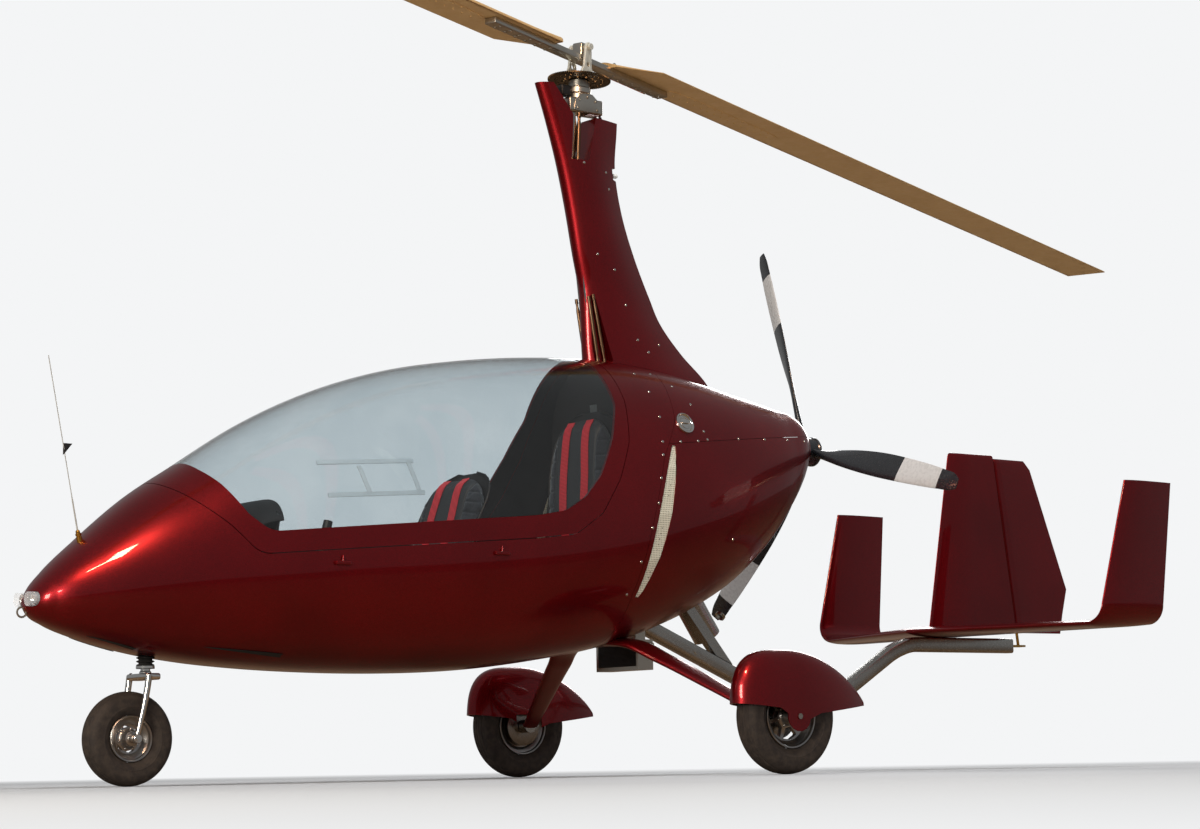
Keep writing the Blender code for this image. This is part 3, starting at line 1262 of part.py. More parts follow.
def make_rudder():
    nose = FIN_THICK / 2 * RUDDER_NOSE
    top = FIN_TOP - RUDDER_TOP_GAP
    heights, edges = zip(*RUDDER_REAR)
    rings = []
    for z in (*(z for z in heights if z < top), top):
        x, rear = hinge_x(z), float(np.interp(z, heights, edges))
        side = [(x + nose * math.cos(a), nose * math.sin(a), z)
                for a in np.linspace(0.0, math.pi * RUDDER_WRAP, SURFACE_STEPS - 2)]
        side += [(between((x, rear), u), nose * (1 - u) + RUDDER_EDGE, z) for u in RUDDER_SHARES]
        rings.append(side + [(x, -y, h) for x, y, h in side[:0:-1]])
    rudder = loft("rudder", rings, "paint")
    low, high = Vector((HINGE_X[0], 0, HINGE_FOOT_Z)), Vector((HINGE_X[1], 0, FIN_TOP))
    axis = (high - low).normalized()
    end_x, end_z = BOOM_PATH[-1]
    foot = low - axis * ((low.z - end_z) / axis.z)
    bore = rod("cut_rudder_pin", foot, low + axis * (RUDDER_PIN_LENGTH + RUDDER_TOP_GAP),
               RUDDER_PIN_RADIUS + TOUCH, sides=14)
    combine(rudder, bore)
    past, half, thick = BRACKET
    bracket = box("rudder_bracket", (low.x - past, -half, end_z - thick),
                  (end_x - TOUCH, half, end_z + thick), "brass")
    pin = rod("rudder_pin", foot, low + axis * RUDDER_PIN_LENGTH, RUDDER_PIN_RADIUS, sides=14)
    combine(bracket, pin, "UNION")


def make_tail():
    boom = make_boom()
    make_cooler()
    tailplane_cut = make_tailplane()
    combine(boom, tailplane_cut)
    make_fin(tailplane_cut)
    make_rudder()


# Cabin
def make_seat(name, hip, back_top, base):
    """A bucket seat seen from the side, on a pedestal that stands on the pod's floor."""
    back, top = back_top
    outline = [(hip + SEAT_LENGTH * share, base + z) for share, z in SEAT_CUSHION]
    outline += [(hip + SEAT_KIDNEY[0], base + SEAT_KIDNEY[1]), (back - SEAT_THICK, top - SEAT_CROWN),
                (back - SEAT_THICK + SEAT_CROWN, top), (back + SEAT_CROWN, top)]
    outline += [(hip + SEAT_LENGTH * share, base + z) for share, z in SEAT_TOP]
    seat = plate(name, rounded(outline, SEAT_ROUND, steps=3), -SEAT_HALF, SEAT_HALF, "cloth")
    behind, ahead = (hip + SEAT_LENGTH * share for share in SEAT_FOOT_PLACE)
    foot = box("foot_" + name, (behind, -SEAT_FOOT, POD[:, 2].min() - CUT_REACH),
               (ahead, SEAT_FOOT, base + SEAT_CROWN))
    combine(seat, foot, "UNION")
    combine(seat, pod_inside, "INTERSECT")
    combine(seat, mast_hole)


def make_bulkhead():
    rear = [(x - BULKHEAD_THICK, z) for x, z in BULKHEAD_LINE[::-1]]
    bulkhead = plate("rear_bulkhead", [*BULKHEAD_LINE, *rear], -POD_WIDE, POD_WIDE, "dark")
    combine(bulkhead, pod_inside, "INTERSECT")
    combine(bulkhead, mast_hole)


def make_stick():
    seat_edge = SEATS[0][1] + SEAT_LENGTH
    foot_x = seat_edge + STICK_FOOT_AHEAD
    floor = Vector((foot_x, 0, pod_at(foot_x)[1] + SHELL_WALL + TOUCH))
    top = Vector((seat_edge + STICK_TOP[0], 0, STICK_TOP[1]))
    along = (top - floor).normalized()
    stick = rod("control_stick", floor, top, STICK_RADIUS, "dark", sides=12)
    low, high = (Vector((seat_edge + x, 0, z)) for x, z in GRIP)
    grip = rod("stick_grip", low, high, GRIP_RADII[0], end_radius=GRIP_RADII[1], sides=12)
    wide, narrow, height = BOOT
    boot = rod("stick_boot", floor - along * SHELL_WALL, floor + along * height, wide,
               end_radius=narrow, sides=16)
    fused(stick, (grip, boot))
    combine(stick, pod_inside, "INTERSECT")


def make_cabin():
    for seat in SEATS:
        make_seat(*seat)
    make_bulkhead()
    make_stick()
    outline = [(PANEL_X + x, z) for x, z in PANEL_LINE]
    panel = plate("instrument_panel", outline, -PANEL_HALF, PANEL_HALF, "dark")
    combine(panel, pod_inside, "INTERSECT")


# Nose
def lamp_point(x, side):
    return Vector((x, side * between(LAMP_SPREAD, (x - LAMP_X[0]) / (LAMP_X[1] - LAMP_X[0])), LAMP_Z))


def make_nose():
    for word, side in SIDES:
        lamp = rod("headlight_" + word, lamp_point(LAMP_BACK, side), lamp_point(LAMP_FRONT, side),
                   LAMP_RADIUS, "lens")
        combine(lamp, lamp_bay)
    x, y = ANTENNA_FOOT
    foot = Vector((x, y, pod_at(x)[0]))
    slant = Vector(ANTENNA_SLANT).normalized()
    radius, height = ANTENNA_BASE
    antenna = rod("whip_antenna", foot - slant * height, foot + slant * height, radius, "brass", sides=12)
    tip = foot + Vector((ANTENNA_LEAN[0], 0.0, ANTENNA_LEAN[1]))
    combine(antenna, rod("whip", foot + slant * (height - BITE), tip, WHIP_RADIUS, sides=6), "UNION")
    combine(antenna, pod_outside)
    radius, wire = TOW_RING
    angles = [-2 * math.pi * k / TOW_SIDES for k in range(TOW_SIDES)]
    profile = [(radius + wire * math.cos(a), wire * math.sin(a)) for a in angles]
    tow = turned("tow_ring", profile, (TOW_PLACE[0], 0, TOW_PLACE[1]), (0, 1, 0), "steel", steps=16)
    combine(tow, pod_outside)


tub, frame = make_pod()
make_vents()
make_filler()
make_hinges(frame)
make_latches()
make_engine()
make_propeller()
make_mast()
make_head()
make_rotor()
make_gear(tub)
make_tail()
make_cabin()
make_nose()
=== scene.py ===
import math
import bpy
import bmesh
import numpy as np
from mathutils import Matrix, Vector


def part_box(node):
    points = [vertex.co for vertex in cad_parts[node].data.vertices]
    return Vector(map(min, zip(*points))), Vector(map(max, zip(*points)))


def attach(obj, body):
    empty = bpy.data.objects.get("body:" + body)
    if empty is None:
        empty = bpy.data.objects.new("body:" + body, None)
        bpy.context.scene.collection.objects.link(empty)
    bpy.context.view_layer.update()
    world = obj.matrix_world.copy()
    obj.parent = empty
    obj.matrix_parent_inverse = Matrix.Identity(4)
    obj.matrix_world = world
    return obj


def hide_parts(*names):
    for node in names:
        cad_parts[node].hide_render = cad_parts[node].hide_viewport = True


# Dressed two-seat gyroplane on its wheels. Metres; +X to the nose, +Y to port, +Z up.
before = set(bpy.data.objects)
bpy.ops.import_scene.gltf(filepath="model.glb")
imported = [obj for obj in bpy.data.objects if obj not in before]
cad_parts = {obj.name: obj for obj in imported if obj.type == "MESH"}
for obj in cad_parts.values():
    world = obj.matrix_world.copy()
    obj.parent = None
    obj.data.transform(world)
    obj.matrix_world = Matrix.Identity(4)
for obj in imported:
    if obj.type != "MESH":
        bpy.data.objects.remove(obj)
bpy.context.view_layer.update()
scene = bpy.context.scene
print("stage: frame loaded")


camera = {
    "azimuth": 52.942,          # degrees from the nose towards port
    "distance": 10.0,
    "height": 0.05,             # just above the floor, looking up
    "target": (0.101, 0.233, 1.310),
    "pixelsPerRadian": 2744.3,
    "imageWidth": 1200.0,
    "roll": -1.0,
}


def makeCamera(settings):
    aim = Vector(settings["target"])
    turn = math.radians(settings["azimuth"])
    flat = math.sqrt(settings["distance"]**2 - (settings["height"] - aim.z)**2)
    place = Vector((aim.x + flat * math.cos(turn), aim.y + flat * math.sin(turn), settings["height"]))
    data = bpy.data.cameras.new("camera")
    data.sensor_width = 36.0
    data.lens = settings["pixelsPerRadian"] / settings["imageWidth"] * data.sensor_width
    data.clip_end = 200.0
    eye = bpy.data.objects.new("camera", data)
    look = (aim - place).to_track_quat("-Z", "Y").to_matrix()
    roll = Matrix.Rotation(math.radians(settings["roll"]), 3, "Z")
    eye.matrix_world = Matrix.Translation(place) @ (look @ roll).to_4x4()
    scene.collection.objects.link(eye)
    scene.camera = eye


makeCamera(camera)
scene.view_settings.view_transform = "Standard"


def newPiece(name, points, faces, body, smooth=True):
    # points is an (n, 3) array; faces is an array of quads or a list of index lists
    mesh = bpy.data.meshes.new(name)
    mesh.from_pydata(np.asarray(points, dtype=float).reshape(-1, 3).tolist(), [],
                     [list(map(int, face)) for face in faces])
    if smooth:
        mesh.shade_smooth()
    piece = bpy.data.objects.new(name, mesh)
    scene.collection.objects.link(piece)
    if body:
        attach(piece, body)
    return piece


def circle(steps):
    # equal angles once round
    return np.linspace(0, 2 * np.pi, steps, endpoint=False)


def unit(vectors):
    return vectors / np.linalg.norm(vectors, axis=-1, keepdims=True)


def signedPower(wave, power):
    # the power of the size, with the sign kept
    return np.sign(wave) * np.abs(wave)**power


def spread(*parts):
    # coordinates of shapes that fit together, stacked as points
    return np.stack(np.broadcast_arrays(*parts), -1)


def gridFaces(rows, columns, closedRows=False, closedColumns=False, start=0):
    # quads between neighbouring rows and columns of a grid that is stored row by row
    i = np.arange(rows if closedRows else rows - 1)[:, None]
    j = np.arange(columns if closedColumns else columns - 1)[None, :]
    down, across = (i + 1) % rows, (j + 1) % columns
    quads = spread(i * columns + j, i * columns + across, down * columns + across, down * columns + j)
    return (quads + start).reshape(-1, 4)


def gridPiece(name, grid, body, closedRows=False, closedColumns=True, caps=False):
    # a surface through a grid of points (rows, columns, 3); caps close its first and last rows
    rows, columns = grid.shape[:2]
    faces = gridFaces(rows, columns, closedRows, closedColumns).tolist()
    if caps:
        faces += [list(range(columns))[::-1], list(range((rows - 1) * columns, rows * columns))]
    piece = newPiece(name, grid, faces, body)
    facesOut(piece)
    return piece


def discard(pieces):
    for piece in pieces:
        bpy.data.objects.remove(piece, do_unlink=True)


def coordsOf(mesh):
    flat = np.empty(len(mesh.vertices) * 3)
    mesh.vertices.foreach_get("co", flat)
    return flat.reshape(-1, 3)


def setCoords(mesh, points):
    mesh.vertices.foreach_set("co", points.ravel())
    mesh.update()


def facesOut(piece):
    work = bmesh.new()
    work.from_mesh(piece.data)
    bmesh.ops.remove_doubles(work, verts=work.verts, dist=0.00002)
    bmesh.ops.recalc_face_normals(work, faces=work.faces)
    work.to_mesh(piece.data)
    work.free()


def sharpen(piece, degrees=35):
    piece.data.set_sharp_from_angle(angle=math.radians(degrees))
    return piece


def axisFrame(axis):
    # two unit vectors square to the axis, and the axis
    axis = np.asarray(axis, dtype=float) / np.linalg.norm(axis)
    helper = np.array([0.0, 0.0, 1.0]) if abs(axis[2]) < 0.9 else np.array([1.0, 0.0, 0.0])
    first = np.cross(helper, axis)
    first /= np.linalg.norm(first)
    return first, np.cross(axis, first), axis


def turnedPoints(profile, centre, axis, steps):
    # each profile point (radius, height) goes round the axis in equal steps
    profile = np.asarray(profile, dtype=float)
    first, second, along = axisFrame(axis)
    angle = circle(steps)[:, None, None]
    spoke = np.cos(angle) * first + np.sin(angle) * second
    return np.asarray(centre) + spoke * profile[None, :, 0:1] + along * profile[None, :, 1:2]


def turnedPiece(name, profile, centre, axis, body, steps=64, closed=False):
    grid = turnedPoints(profile, centre, axis, steps)
    piece = newPiece(name, grid, gridFaces(steps, grid.shape[1], True, closed), body)
    facesOut(piece)
    return sharpen(piece)


def sweptGrid(path, radius, sides=16):
    # circles of the given radii square to a path; the frame is carried from point to point
    path = np.asarray(path, dtype=float)
    radius = np.broadcast_to(np.asarray(radius, dtype=float), (len(path),))
    along = unit(np.gradient(path, axis=0))
    first = axisFrame(along[0])[0]
    ups = []
    for step in along:
        first = first - step * first.dot(step)
        first = first / np.linalg.norm(first)
        ups.append(first)
    ups = np.array(ups)
    sideways = np.cross(along, ups)
    angle = circle(sides)[None, :, None]
    ring = np.cos(angle) * ups[:, None] + np.sin(angle) * sideways[:, None]
    return path[:, None] + radius[:, None, None] * ring


def tube(name, path, radius, body, sides=16):
    piece = gridPiece(name, sweptGrid(path, radius, sides), body, caps=True)
    return sharpen(piece, 50)


def smoothPath(points, count=40):
    # a smooth curve through the points, with slopes from their neighbours
    points = np.asarray(points, dtype=float)
    t = np.concatenate([[0], np.cumsum(np.linalg.norm(np.diff(points, axis=0), axis=1))])
    at = np.linspace(0, t[-1], count)
    return np.stack([curveThrough(t, points[:, axis], at) for axis in range(points.shape[1])], -1)


def curveThrough(xs, ys, at):
    # cubic pieces through the table, each with slopes taken from its neighbours
    xs, ys, at = (np.asarray(values, dtype=float) for values in (xs, ys, at))
    slopes = np.gradient(ys, xs)
    i = np.clip(np.searchsorted(xs, at) - 1, 0, len(xs) - 2)
    step = xs[i + 1] - xs[i]
    t = (at - xs[i]) / step
    return ((2 * t**3 - 3 * t**2 + 1) * ys[i] + (t**3 - 2 * t**2 + t) * step * slopes[i]
            + (3 * t**2 - 2 * t**3) * ys[i + 1] + (t**3 - t**2) * step * slopes[i + 1])


def joined(name, pieces, body, degrees=35):
    # several meshes made one piece
    points, faces, count = [], [], 0
    for piece in pieces:
        points.append(coordsOf(piece.data))
        faces += [[index + count for index in face.vertices] for face in piece.data.polygons]
        count += len(points[-1])
    discard(pieces)
    whole = newPiece(name, np.concatenate(points), faces, body)
    return sharpen(whole, degrees)


def cutBy(piece, cutter, operation="DIFFERENCE"):
    change = piece.modifiers.new("cut", "BOOLEAN")
    change.operation, change.solver, change.object = operation, "EXACT", cutter
    return piece


def settle(piece, degrees=35):
    # the modifiers' result becomes the piece's own mesh
    shape = bpy.data.meshes.new_from_object(piece.evaluated_get(bpy.context.evaluated_depsgraph_get()))
    piece.modifiers.clear()
    old, piece.data = piece.data, shape
    shape.name = piece.name
    bpy.data.meshes.remove(old)
    piece.data.shade_smooth()
    return sharpen(piece, degrees)


def carve(piece, cutters, degrees=35):
    # every cutter is taken out of the piece, then thrown away
    for cutter in cutters:
        cutBy(piece, cutter)
    settle(piece, degrees)
    discard(cutters)


def thicken(piece, thickness, offset, degrees):
    # a sheet becomes a wall; offset -1 grows it inwards, 0 both ways
    wall = piece.modifiers.new("wall", "SOLIDIFY")
    wall.thickness, wall.offset = thickness, offset
    return settle(piece, degrees)


def bevelled(piece, width, segments, degrees):
    soften = piece.modifiers.new("edges", "BEVEL")
    soften.width, soften.segments = width, segments
    return settle(piece, degrees)


def plateCutter(name, outline, low, high):
    # an outline of x and z, carried from y = low to y = high
    outline = np.asarray(outline, dtype=float)
    count = len(outline)
    ends = [np.insert(outline, 1, y, axis=1) for y in (low, high)]
    lids = [list(range(count))[::-1], list(range(count, 2 * count))]
    faces = gridFaces(2, count, closedColumns=True).tolist() + lids
    cutter = newPiece(name, np.concatenate(ends), faces, None, smooth=False)
    facesOut(cutter)
    cutter.hide_render = True
    return cutter


def roundedOutline(points, radius, steps=12):
    # corners of a closed outline replaced by arcs that touch both sides
    points = [np.asarray(point, dtype=float) for point in points]
    out = []
    for i, here in enumerate(points):
        before, after = points[i - 1] - here, points[(i + 1) % len(points)] - here
        toBefore, toAfter = before / np.linalg.norm(before), after / np.linalg.norm(after)
        half = math.acos(max(-1.0, min(1.0, toBefore.dot(toAfter)))) / 2
        if math.pi / 2 - half < 0.02:
            out.append(here[None])
            continue
        back = min(radius / math.tan(half), 0.45 * min(np.linalg.norm(before), np.linalg.norm(after)))
        t = np.linspace(0, 1, steps + 1)[:, None]
        out.append((here + toBefore * back) * (1 - t)**2 + here * 2 * t * (1 - t) + (here + toAfter * back)
                   * t**2)
    return np.concatenate(out)


def domes(name, places, normals, radius, body, rise, sides):
    # one low dome for each place, standing along its normal or along one for all
    places = np.asarray(places, dtype=float)
    normals = unit(np.broadcast_to(np.asarray(normals, dtype=float), places.shape))
    helper = np.where(np.abs(normals[:, 2:3]) < 0.9, [[0.0, 0.0, 1.0]], [[1.0, 0.0, 0.0]])
    first = unit(np.cross(helper, normals))
    second = np.cross(normals, first)
    profile = np.array([(1.0, -0.6), (1.0, 0.10), (0.80, 0.62), (0.42, 0.92), (0.0, 1.0)])
    angle = circle(sides)
    spoke = np.cos(angle)[:, None, None] * first + np.sin(angle)[:, None, None] * second
    grid = (places[None, None] + spoke[None] * profile[:, 0, None, None, None] * radius
            + normals[None, None] * profile[:, 1, None, None, None] * radius * rise)
    grid = grid.transpose(2, 0, 1, 3)
    faces = gridFaces(len(profile), sides, closedColumns=True)
    faces = (faces[None] + np.arange(len(places))[:, None, None] * len(profile) * sides).reshape(-1, 4)
    piece = newPiece(name, grid, faces, body)
    facesOut(piece)
    return piece


def hexColour(text, alpha=1.0):
    # an sRGB hex value turned to linear light
    channels = [int(text[i:i + 2], 16) / 255 for i in (1, 3, 5)]
    linear = [c / 12.92 if c <= 0.04045 else ((c + 0.055) / 1.055)**2.4 for c in channels]
    return (*linear, alpha)


def addNode(tree, kind, settings=None, inputs=None):
    # one node with its settings; each input takes a value, a hex colour, a socket, or a node's first output
    node = tree.nodes.new("ShaderNode" + kind)
    for key, value in (settings or {}).items():
        setattr(node, key, value)
    for key, value in (inputs or {}).items():
        if isinstance(value, bpy.types.Node):
            value = value.outputs[0]
        if isinstance(value, bpy.types.NodeSocket):
            tree.links.new(value, node.inputs[key])
        else:
            node.inputs[key].default_value = hexColour(value) if isinstance(value, str) else value
    return node


def startMaterial(name):
    # an empty node tree, with the place on the object that its patterns read
    material = bpy.data.materials.new(name)
    material.use_nodes = True
    material.node_tree.nodes.clear()
    return material, material.node_tree, addNode(material.node_tree, "TexCoord").outputs["Object"]


def noise(tree, place, millimetres, detail, roughness=0.5):
    # soft patches that repeat about every so many millimetres
    return addNode(tree, "TexNoise", {}, {"Vector": place, "Scale": 1000.0 / millimetres,
                                          "Detail": detail, "Roughness": roughness})


def bands(tree, place, direction, millimetres, distortion=0.0, detail=2.0):
    # ridges every so many millimetres; the texture's own period is 6.3 over its scale
    return addNode(tree, "TexWave", {"bands_direction": direction},
                   {"Vector": place, "Scale": 1000.0 / millimetres / 6.3,
                    "Distortion": distortion, "Detail": detail}).outputs["Fac"]


def blend(tree, share, low, high):
    # a colour between low and high
    return addNode(tree, "Mix", {"data_type": "RGBA"}, {0: share, 6: low, 7: high}).outputs[2]


def mapped(tree, value, low, high, start=0.0, end=1.0):
    # start to end becomes low to high
    return addNode(tree, "MapRange", {}, {"Value": value, "From Min": start, "From Max": end,
                                          "To Min": low, "To Max": high})


def relief(tree, height, metres, strength):
    return addNode(tree, "Bump", {}, {"Height": height, "Distance": metres, "Strength": strength})


def surfaced(material, inputs):
    # the shader with these inputs, on the material's output
    shader = addNode(material.node_tree, "BsdfPrincipled", {}, inputs)
    addNode(material.node_tree, "OutputMaterial", {}, {"Surface": shader})
    return material


def makeCandyLacquer():
    # sprayed candy red lacquer on composite: dark aluminium flake under a tinted clear coat,
    # so it glows where light meets it square on and falls to maroon at the edges
    material, tree, place = startMaterial("candy red metallic lacquer")
    # the flake is 0.1 mm, drawn 1.6 mm to show
    flake = addNode(tree, "TexVoronoi", {}, {"Vector": place, "Scale": 1000.0 / 1.6})
    sparkle = addNode(tree, "RGBToBW", {}, {"Color": flake.outputs["Color"]})
    tint = blend(tree, sparkle, "#62020a", "#8e0613")
    uneven = mapped(tree, noise(tree, place, 400.0, 2.0), 0.0, 0.4, 0.35, 0.75)
    peel = relief(tree, noise(tree, place, 9.0, 2.0), 0.00002, 0.4)
    return surfaced(material, {"Base Color": blend(tree, uneven, tint, "#4a0108"), "Normal": peel,
                               "Metallic": 0.8,
                     "Roughness": mapped(tree, sparkle, 0.27, 0.38),
                     "Coat Weight": 0.6, "Coat Roughness": 0.04, "Coat IOR": 1.42})


def makeLaminate():
    # inner side of the composite shell, painted dark grey: matt, 2 mm twill drawn 6 mm under the paint
    material, tree, place = startMaterial("dark painted laminate")
    wear = noise(tree, place, 60.0, 4.0)
    return surfaced(material, {"Base Color": blend(tree, wear, "#1a1a1c", "#2b2a2c"),
                     "Roughness": mapped(tree, wear, 0.5, 0.75),
                     "Normal": relief(tree, bands(tree, place, "DIAGONAL", 6.0, 0.6), 0.0002, 0.5)})


def makeClearAcrylic():
    # blown clear acrylic: mirrors at grazing angles, lets light through square on, with a faint grey tint.
    # light is not bent here, so the far face takes the inverse index and mirrors as the near one does
    material, tree, place = startMaterial("clear blown acrylic")
    tint = blend(tree, noise(tree, place, 260.0, 2.0), "#f3f6f7", "#e9eef0")
    see = addNode(tree, "BsdfTransparent", {}, {"Color": tint})
    shine = addNode(tree, "BsdfGlossy", {}, {"Color": "#ffffff", "Roughness": 0.015})
    far = addNode(tree, "NewGeometry").outputs["Backfacing"]
    mirror = addNode(tree, "Fresnel", {}, {"IOR": mapped(tree, far, 1.49, 1 / 1.49)})
    pane = addNode(tree, "MixShader", {}, {0: mirror, 1: see, 2: shine})
    addNode(tree, "OutputMaterial", {}, {"Surface": pane})
    return material


def makeAcrylicStrip():
    # sawn and flame polished acrylic strip: whitish, bright at its edges
    material, tree, place = startMaterial("polished acrylic strip")
    saw = noise(tree, place, 6.0, 3.0)
    return surfaced(material, {"Base Color": blend(tree, saw, "#d5dcdf", "#f2f5f6"),
                     "Roughness": mapped(tree, saw, 0.1, 0.3), "IOR": 1.49, "Alpha": 0.55})


def makeMetal(name, low, high, rough, grain, stretch=(1.0, 1.0, 1.0), metallic=1.0, depth=0.03):
    # bare metal: fine lines of the tool or die, long where stretch is small, and a slow change of shade
    material, tree, place = startMaterial(name)
    along = addNode(tree, "Mapping", {}, {"Vector": place, "Scale": stretch})
    lines = noise(tree, along, grain, 4.0)
    return surfaced(material, {"Base Color": blend(tree, noise(tree, place, 70.0, 2.0), low, high),
                     "Roughness": mapped(tree, lines, *rough, 0.3, 0.7),
                     "Normal": relief(tree, lines, depth / 1000.0, 0.35), "Metallic": metallic})


def makeRubber(name, low, high, grain):
    # vulcanised rubber: matt, moulded grain, with dust in its low places
    material, tree, place = startMaterial(name)
    dust = noise(tree, place, 24.0, 5.0, 0.65)
    thick = mapped(tree, dust, 0.0, 1.0, 0.4, 0.64)
    return surfaced(material, {"Base Color": blend(tree, thick, low, high), "Specular IOR Level": 0.35,
                     "Roughness": mapped(tree, dust, 0.62, 0.9),
                     "Normal": relief(tree, noise(tree, place, grain, 3.0), 0.00025, 0.6)})


def makeMoulded(name, low, high, rough, grain=2.2):
    # injection moulded or painted plastic with a leather grain, drawn 2 mm where the real one is under 1 mm
    material, tree, place = startMaterial(name)
    leather = noise(tree, place, grain, 2.0)
    return surfaced(material, {"Base Color": blend(tree, leather, low, high), "IOR": 1.53,
                     "Roughness": mapped(tree, leather, *rough),
                               "Normal": relief(tree, leather, 0.00015, 0.6)})


def makeWoven(name, low, high, thread, sheen=0.35):
    # plain woven cloth: warp and weft bands of one width, with painted shade between the threads and their
    # crowns lighter, worn in places, soft sheen
    material, tree, place = startMaterial(name)
    turned = addNode(tree, "Mapping", {}, {"Vector": place, "Rotation": (0.3, 0.5, 0.0)})
    warp, weft = (bands(tree, turned, direction, thread, 1.0, 1.0) for direction in "YX")
    crowns = addNode(tree, "Math", {"operation": "MAXIMUM"}, {0: warp, 1: weft})
    faded = mapped(tree, noise(tree, place, 80.0, 3.0), 0.0, 0.35)
    # the crowns take the high colour and the valleys the low one: painted shade between the threads
    return surfaced(material, {"Base Color": blend(tree, faded, blend(tree, crowns, low, high), high),
                     "Normal": relief(tree, crowns, 0.0004, 0.5), "Roughness": 0.85,
                               "Specular IOR Level": 0.25,
                     "Sheen Weight": sheen, "Sheen Roughness": 0.5})


def makeVentMesh():
    # pale woven wire mesh: 1.5 mm wires drawn 4 mm to show, with painted shade between them
    material, tree, place = startMaterial("pale woven wire mesh")
    across, upward = (bands(tree, place, direction, 4.0) for direction in "XZ")
    wires = addNode(tree, "Math", {"operation": "MAXIMUM"}, {0: across, 1: upward})
    bright = mapped(tree, wires, 0.0, 1.0, 0.35, 0.75)
    # the low colour between the wires is painted shade where the openings are
    return surfaced(material, {"Base Color": blend(tree, bright, "#a39a80", "#ece5cf"),
                     "Normal": relief(tree, wires, 0.0006, 0.7), "Metallic": 0.3, "Roughness": 0.5})


def makeLampGlass():
    # clear polycarbonate lamp cover with moulded ribs, over a bright dish
    material, tree, place = startMaterial("ribbed lamp cover")
    ribs = bands(tree, place, "Y", 5.0)
    return surfaced(material, {"Base Color": blend(tree, ribs, "#e8ecee", "#ffffff"), "IOR": 1.58,
                               "Alpha": 0.3,
                     "Roughness": mapped(tree, ribs, 0.03, 0.1), "Normal": relief(tree, ribs, 0.0004, 0.5)})


def makeBladePaint():
    # moulded propeller blade: black gel coat, with a pale band on the outer part of each blade
    material, tree, place = startMaterial("black gel coat with pale tip band")
    hubHeight, bandStart, bandEnd = 1.262, 0.545, 0.765
    centred = addNode(tree, "Mapping", {}, {"Vector": place, "Location": (0.0, 0.0, -hubHeight),
                                            "Scale": (0.0, 1.0, 1.0)})
    radius = addNode(tree, "VectorMath", {"operation": "LENGTH"}, {0: centred}).outputs["Value"]
    inner = addNode(tree, "Math", {"operation": "GREATER_THAN"}, {0: radius, 1: bandStart})
    outer = addNode(tree, "Math", {"operation": "LESS_THAN"}, {0: radius, 1: bandEnd})
    band = addNode(tree, "Math", {"operation": "MULTIPLY"}, {0: inner, 1: outer})
    fleck = noise(tree, place, 12.0, 4.0)
    dark, pale = blend(tree, fleck, "#18191b", "#292a2d"), blend(tree, fleck, "#b9b5b2", "#cfccc8")
    return surfaced(material, {"Base Color": blend(tree, band, dark, pale),
                     "Roughness": mapped(tree, fleck, 0.2, 0.36), "Coat Weight": 0.5, "Coat Roughness": 0.06})


materials = {
    "lacquer": makeCandyLacquer(),
    "lining": makeLaminate(),
    "acrylic": makeClearAcrylic(),
    "strip": makeAcrylicStrip(),
    "stainless": makeMetal("satin stainless tube", "#a7a6a3", "#bdbbb6", (0.16, 0.30), 1.0, (0.05, 1.0, 1.0)),
    "steel": makeMetal("zinc plated steel", "#b8b4a8", "#cfcabd", (0.22, 0.4), 2.0),
    "bronzed": makeMetal("bronzed gear steel", "#4a4032", "#6b5c46", (0.3, 0.5), 2.0),
    "disc": makeMetal("ground brake disc steel", "#8b8a88", "#a3a19d", (0.2, 0.36), 1.2),
    "alloy": makeMetal("cast aluminium wheel alloy", "#9a9a9b", "#b6b6b5", (0.26, 0.42), 2.5, depth=0.08),
    "milled": makeMetal("milled aluminium", "#b9b7b0", "#d0cdc4", (0.24, 0.4), 1.0),
    "polished": makeMetal("polished aluminium", "#d4d4d2", "#ecebe8", (0.08, 0.18), 3.0),
    "anodised": makeMetal("pale anodised plate", "#cfc8b8", "#e4decd", (0.3, 0.44), 1.6, metallic=0.5),
    "rod": makeMetal("bronze anodised tube", "#6f5a48", "#8d735b", (0.3, 0.46), 1.0, (1.0, 1.0, 0.06)),
    "whip": makeMoulded("grey glass fibre whip", "#8f8d88", "#b3b0a9", (0.35, 0.5)),
    "blade": makeMetal("champagne anodised extrusion", "#c79a5f", "#dbb27a", (0.34, 0.46), 1.2,
                       (0.04, 0.04, 1.0), 0.35),
    "brass": makeMetal("turned brass", "#b98f3c", "#d3ab58", (0.2, 0.34), 1.5),
    "tyre": makeRubber("dusty tyre rubber", "#2b2522", "#3d342d", 1.6),
    "bellows": makeRubber("black bellows rubber", "#141414", "#262524", 1.2),
    "plastic": makeMoulded("grained black ABS", "#141415", "#222224", (0.42, 0.6)),
    # black of the oil cooler's fins, and also of the painted shade in the nose inlets
    "finsAndInletShade": makeMoulded("black cooler fins and painted inlet shade", "#0c0c0d", "#1b1b1c", (0.5, 0.7)),
    # orange of the painted sun glint on the aft blade's root
    "orangeGlint": makeMoulded("orange plastic of a painted glint", "#d9580c", "#f07a1c", (0.35, 0.5)),
    "plug": makeMoulded("white nylon plug", "#d9d7d0", "#ebe9e2", (0.4, 0.55)),
    "jacket": makeMoulded("black PVC hose jacket", "#101011", "#1d1d1e", (0.35, 0.5), 3.0),
    "vinyl": makeMoulded("charcoal seat vinyl", "#2a2a2c", "#3c3c3e", (0.5, 0.66), 3.0),
    "seat": makeWoven("charcoal woven seat cover", "#1b1b1e", "#303035", 2.5),      # 0.8 mm yarn drawn 2.5 mm
    "belt": makeWoven("red belt webbing", "#b00d1c", "#dd2733", 3.0, 0.2),         # 1 mm ribs drawn 3 mm
    "mesh": makeVentMesh(),
    "lamp": makeLampGlass(),
    "propeller": makeBladePaint(),
}


def dress(piece, finish):
    # the piece's only material
    piece.data.materials.clear()
    piece.data.materials.append(materials[finish])
    return piece


print("stage: materials made")


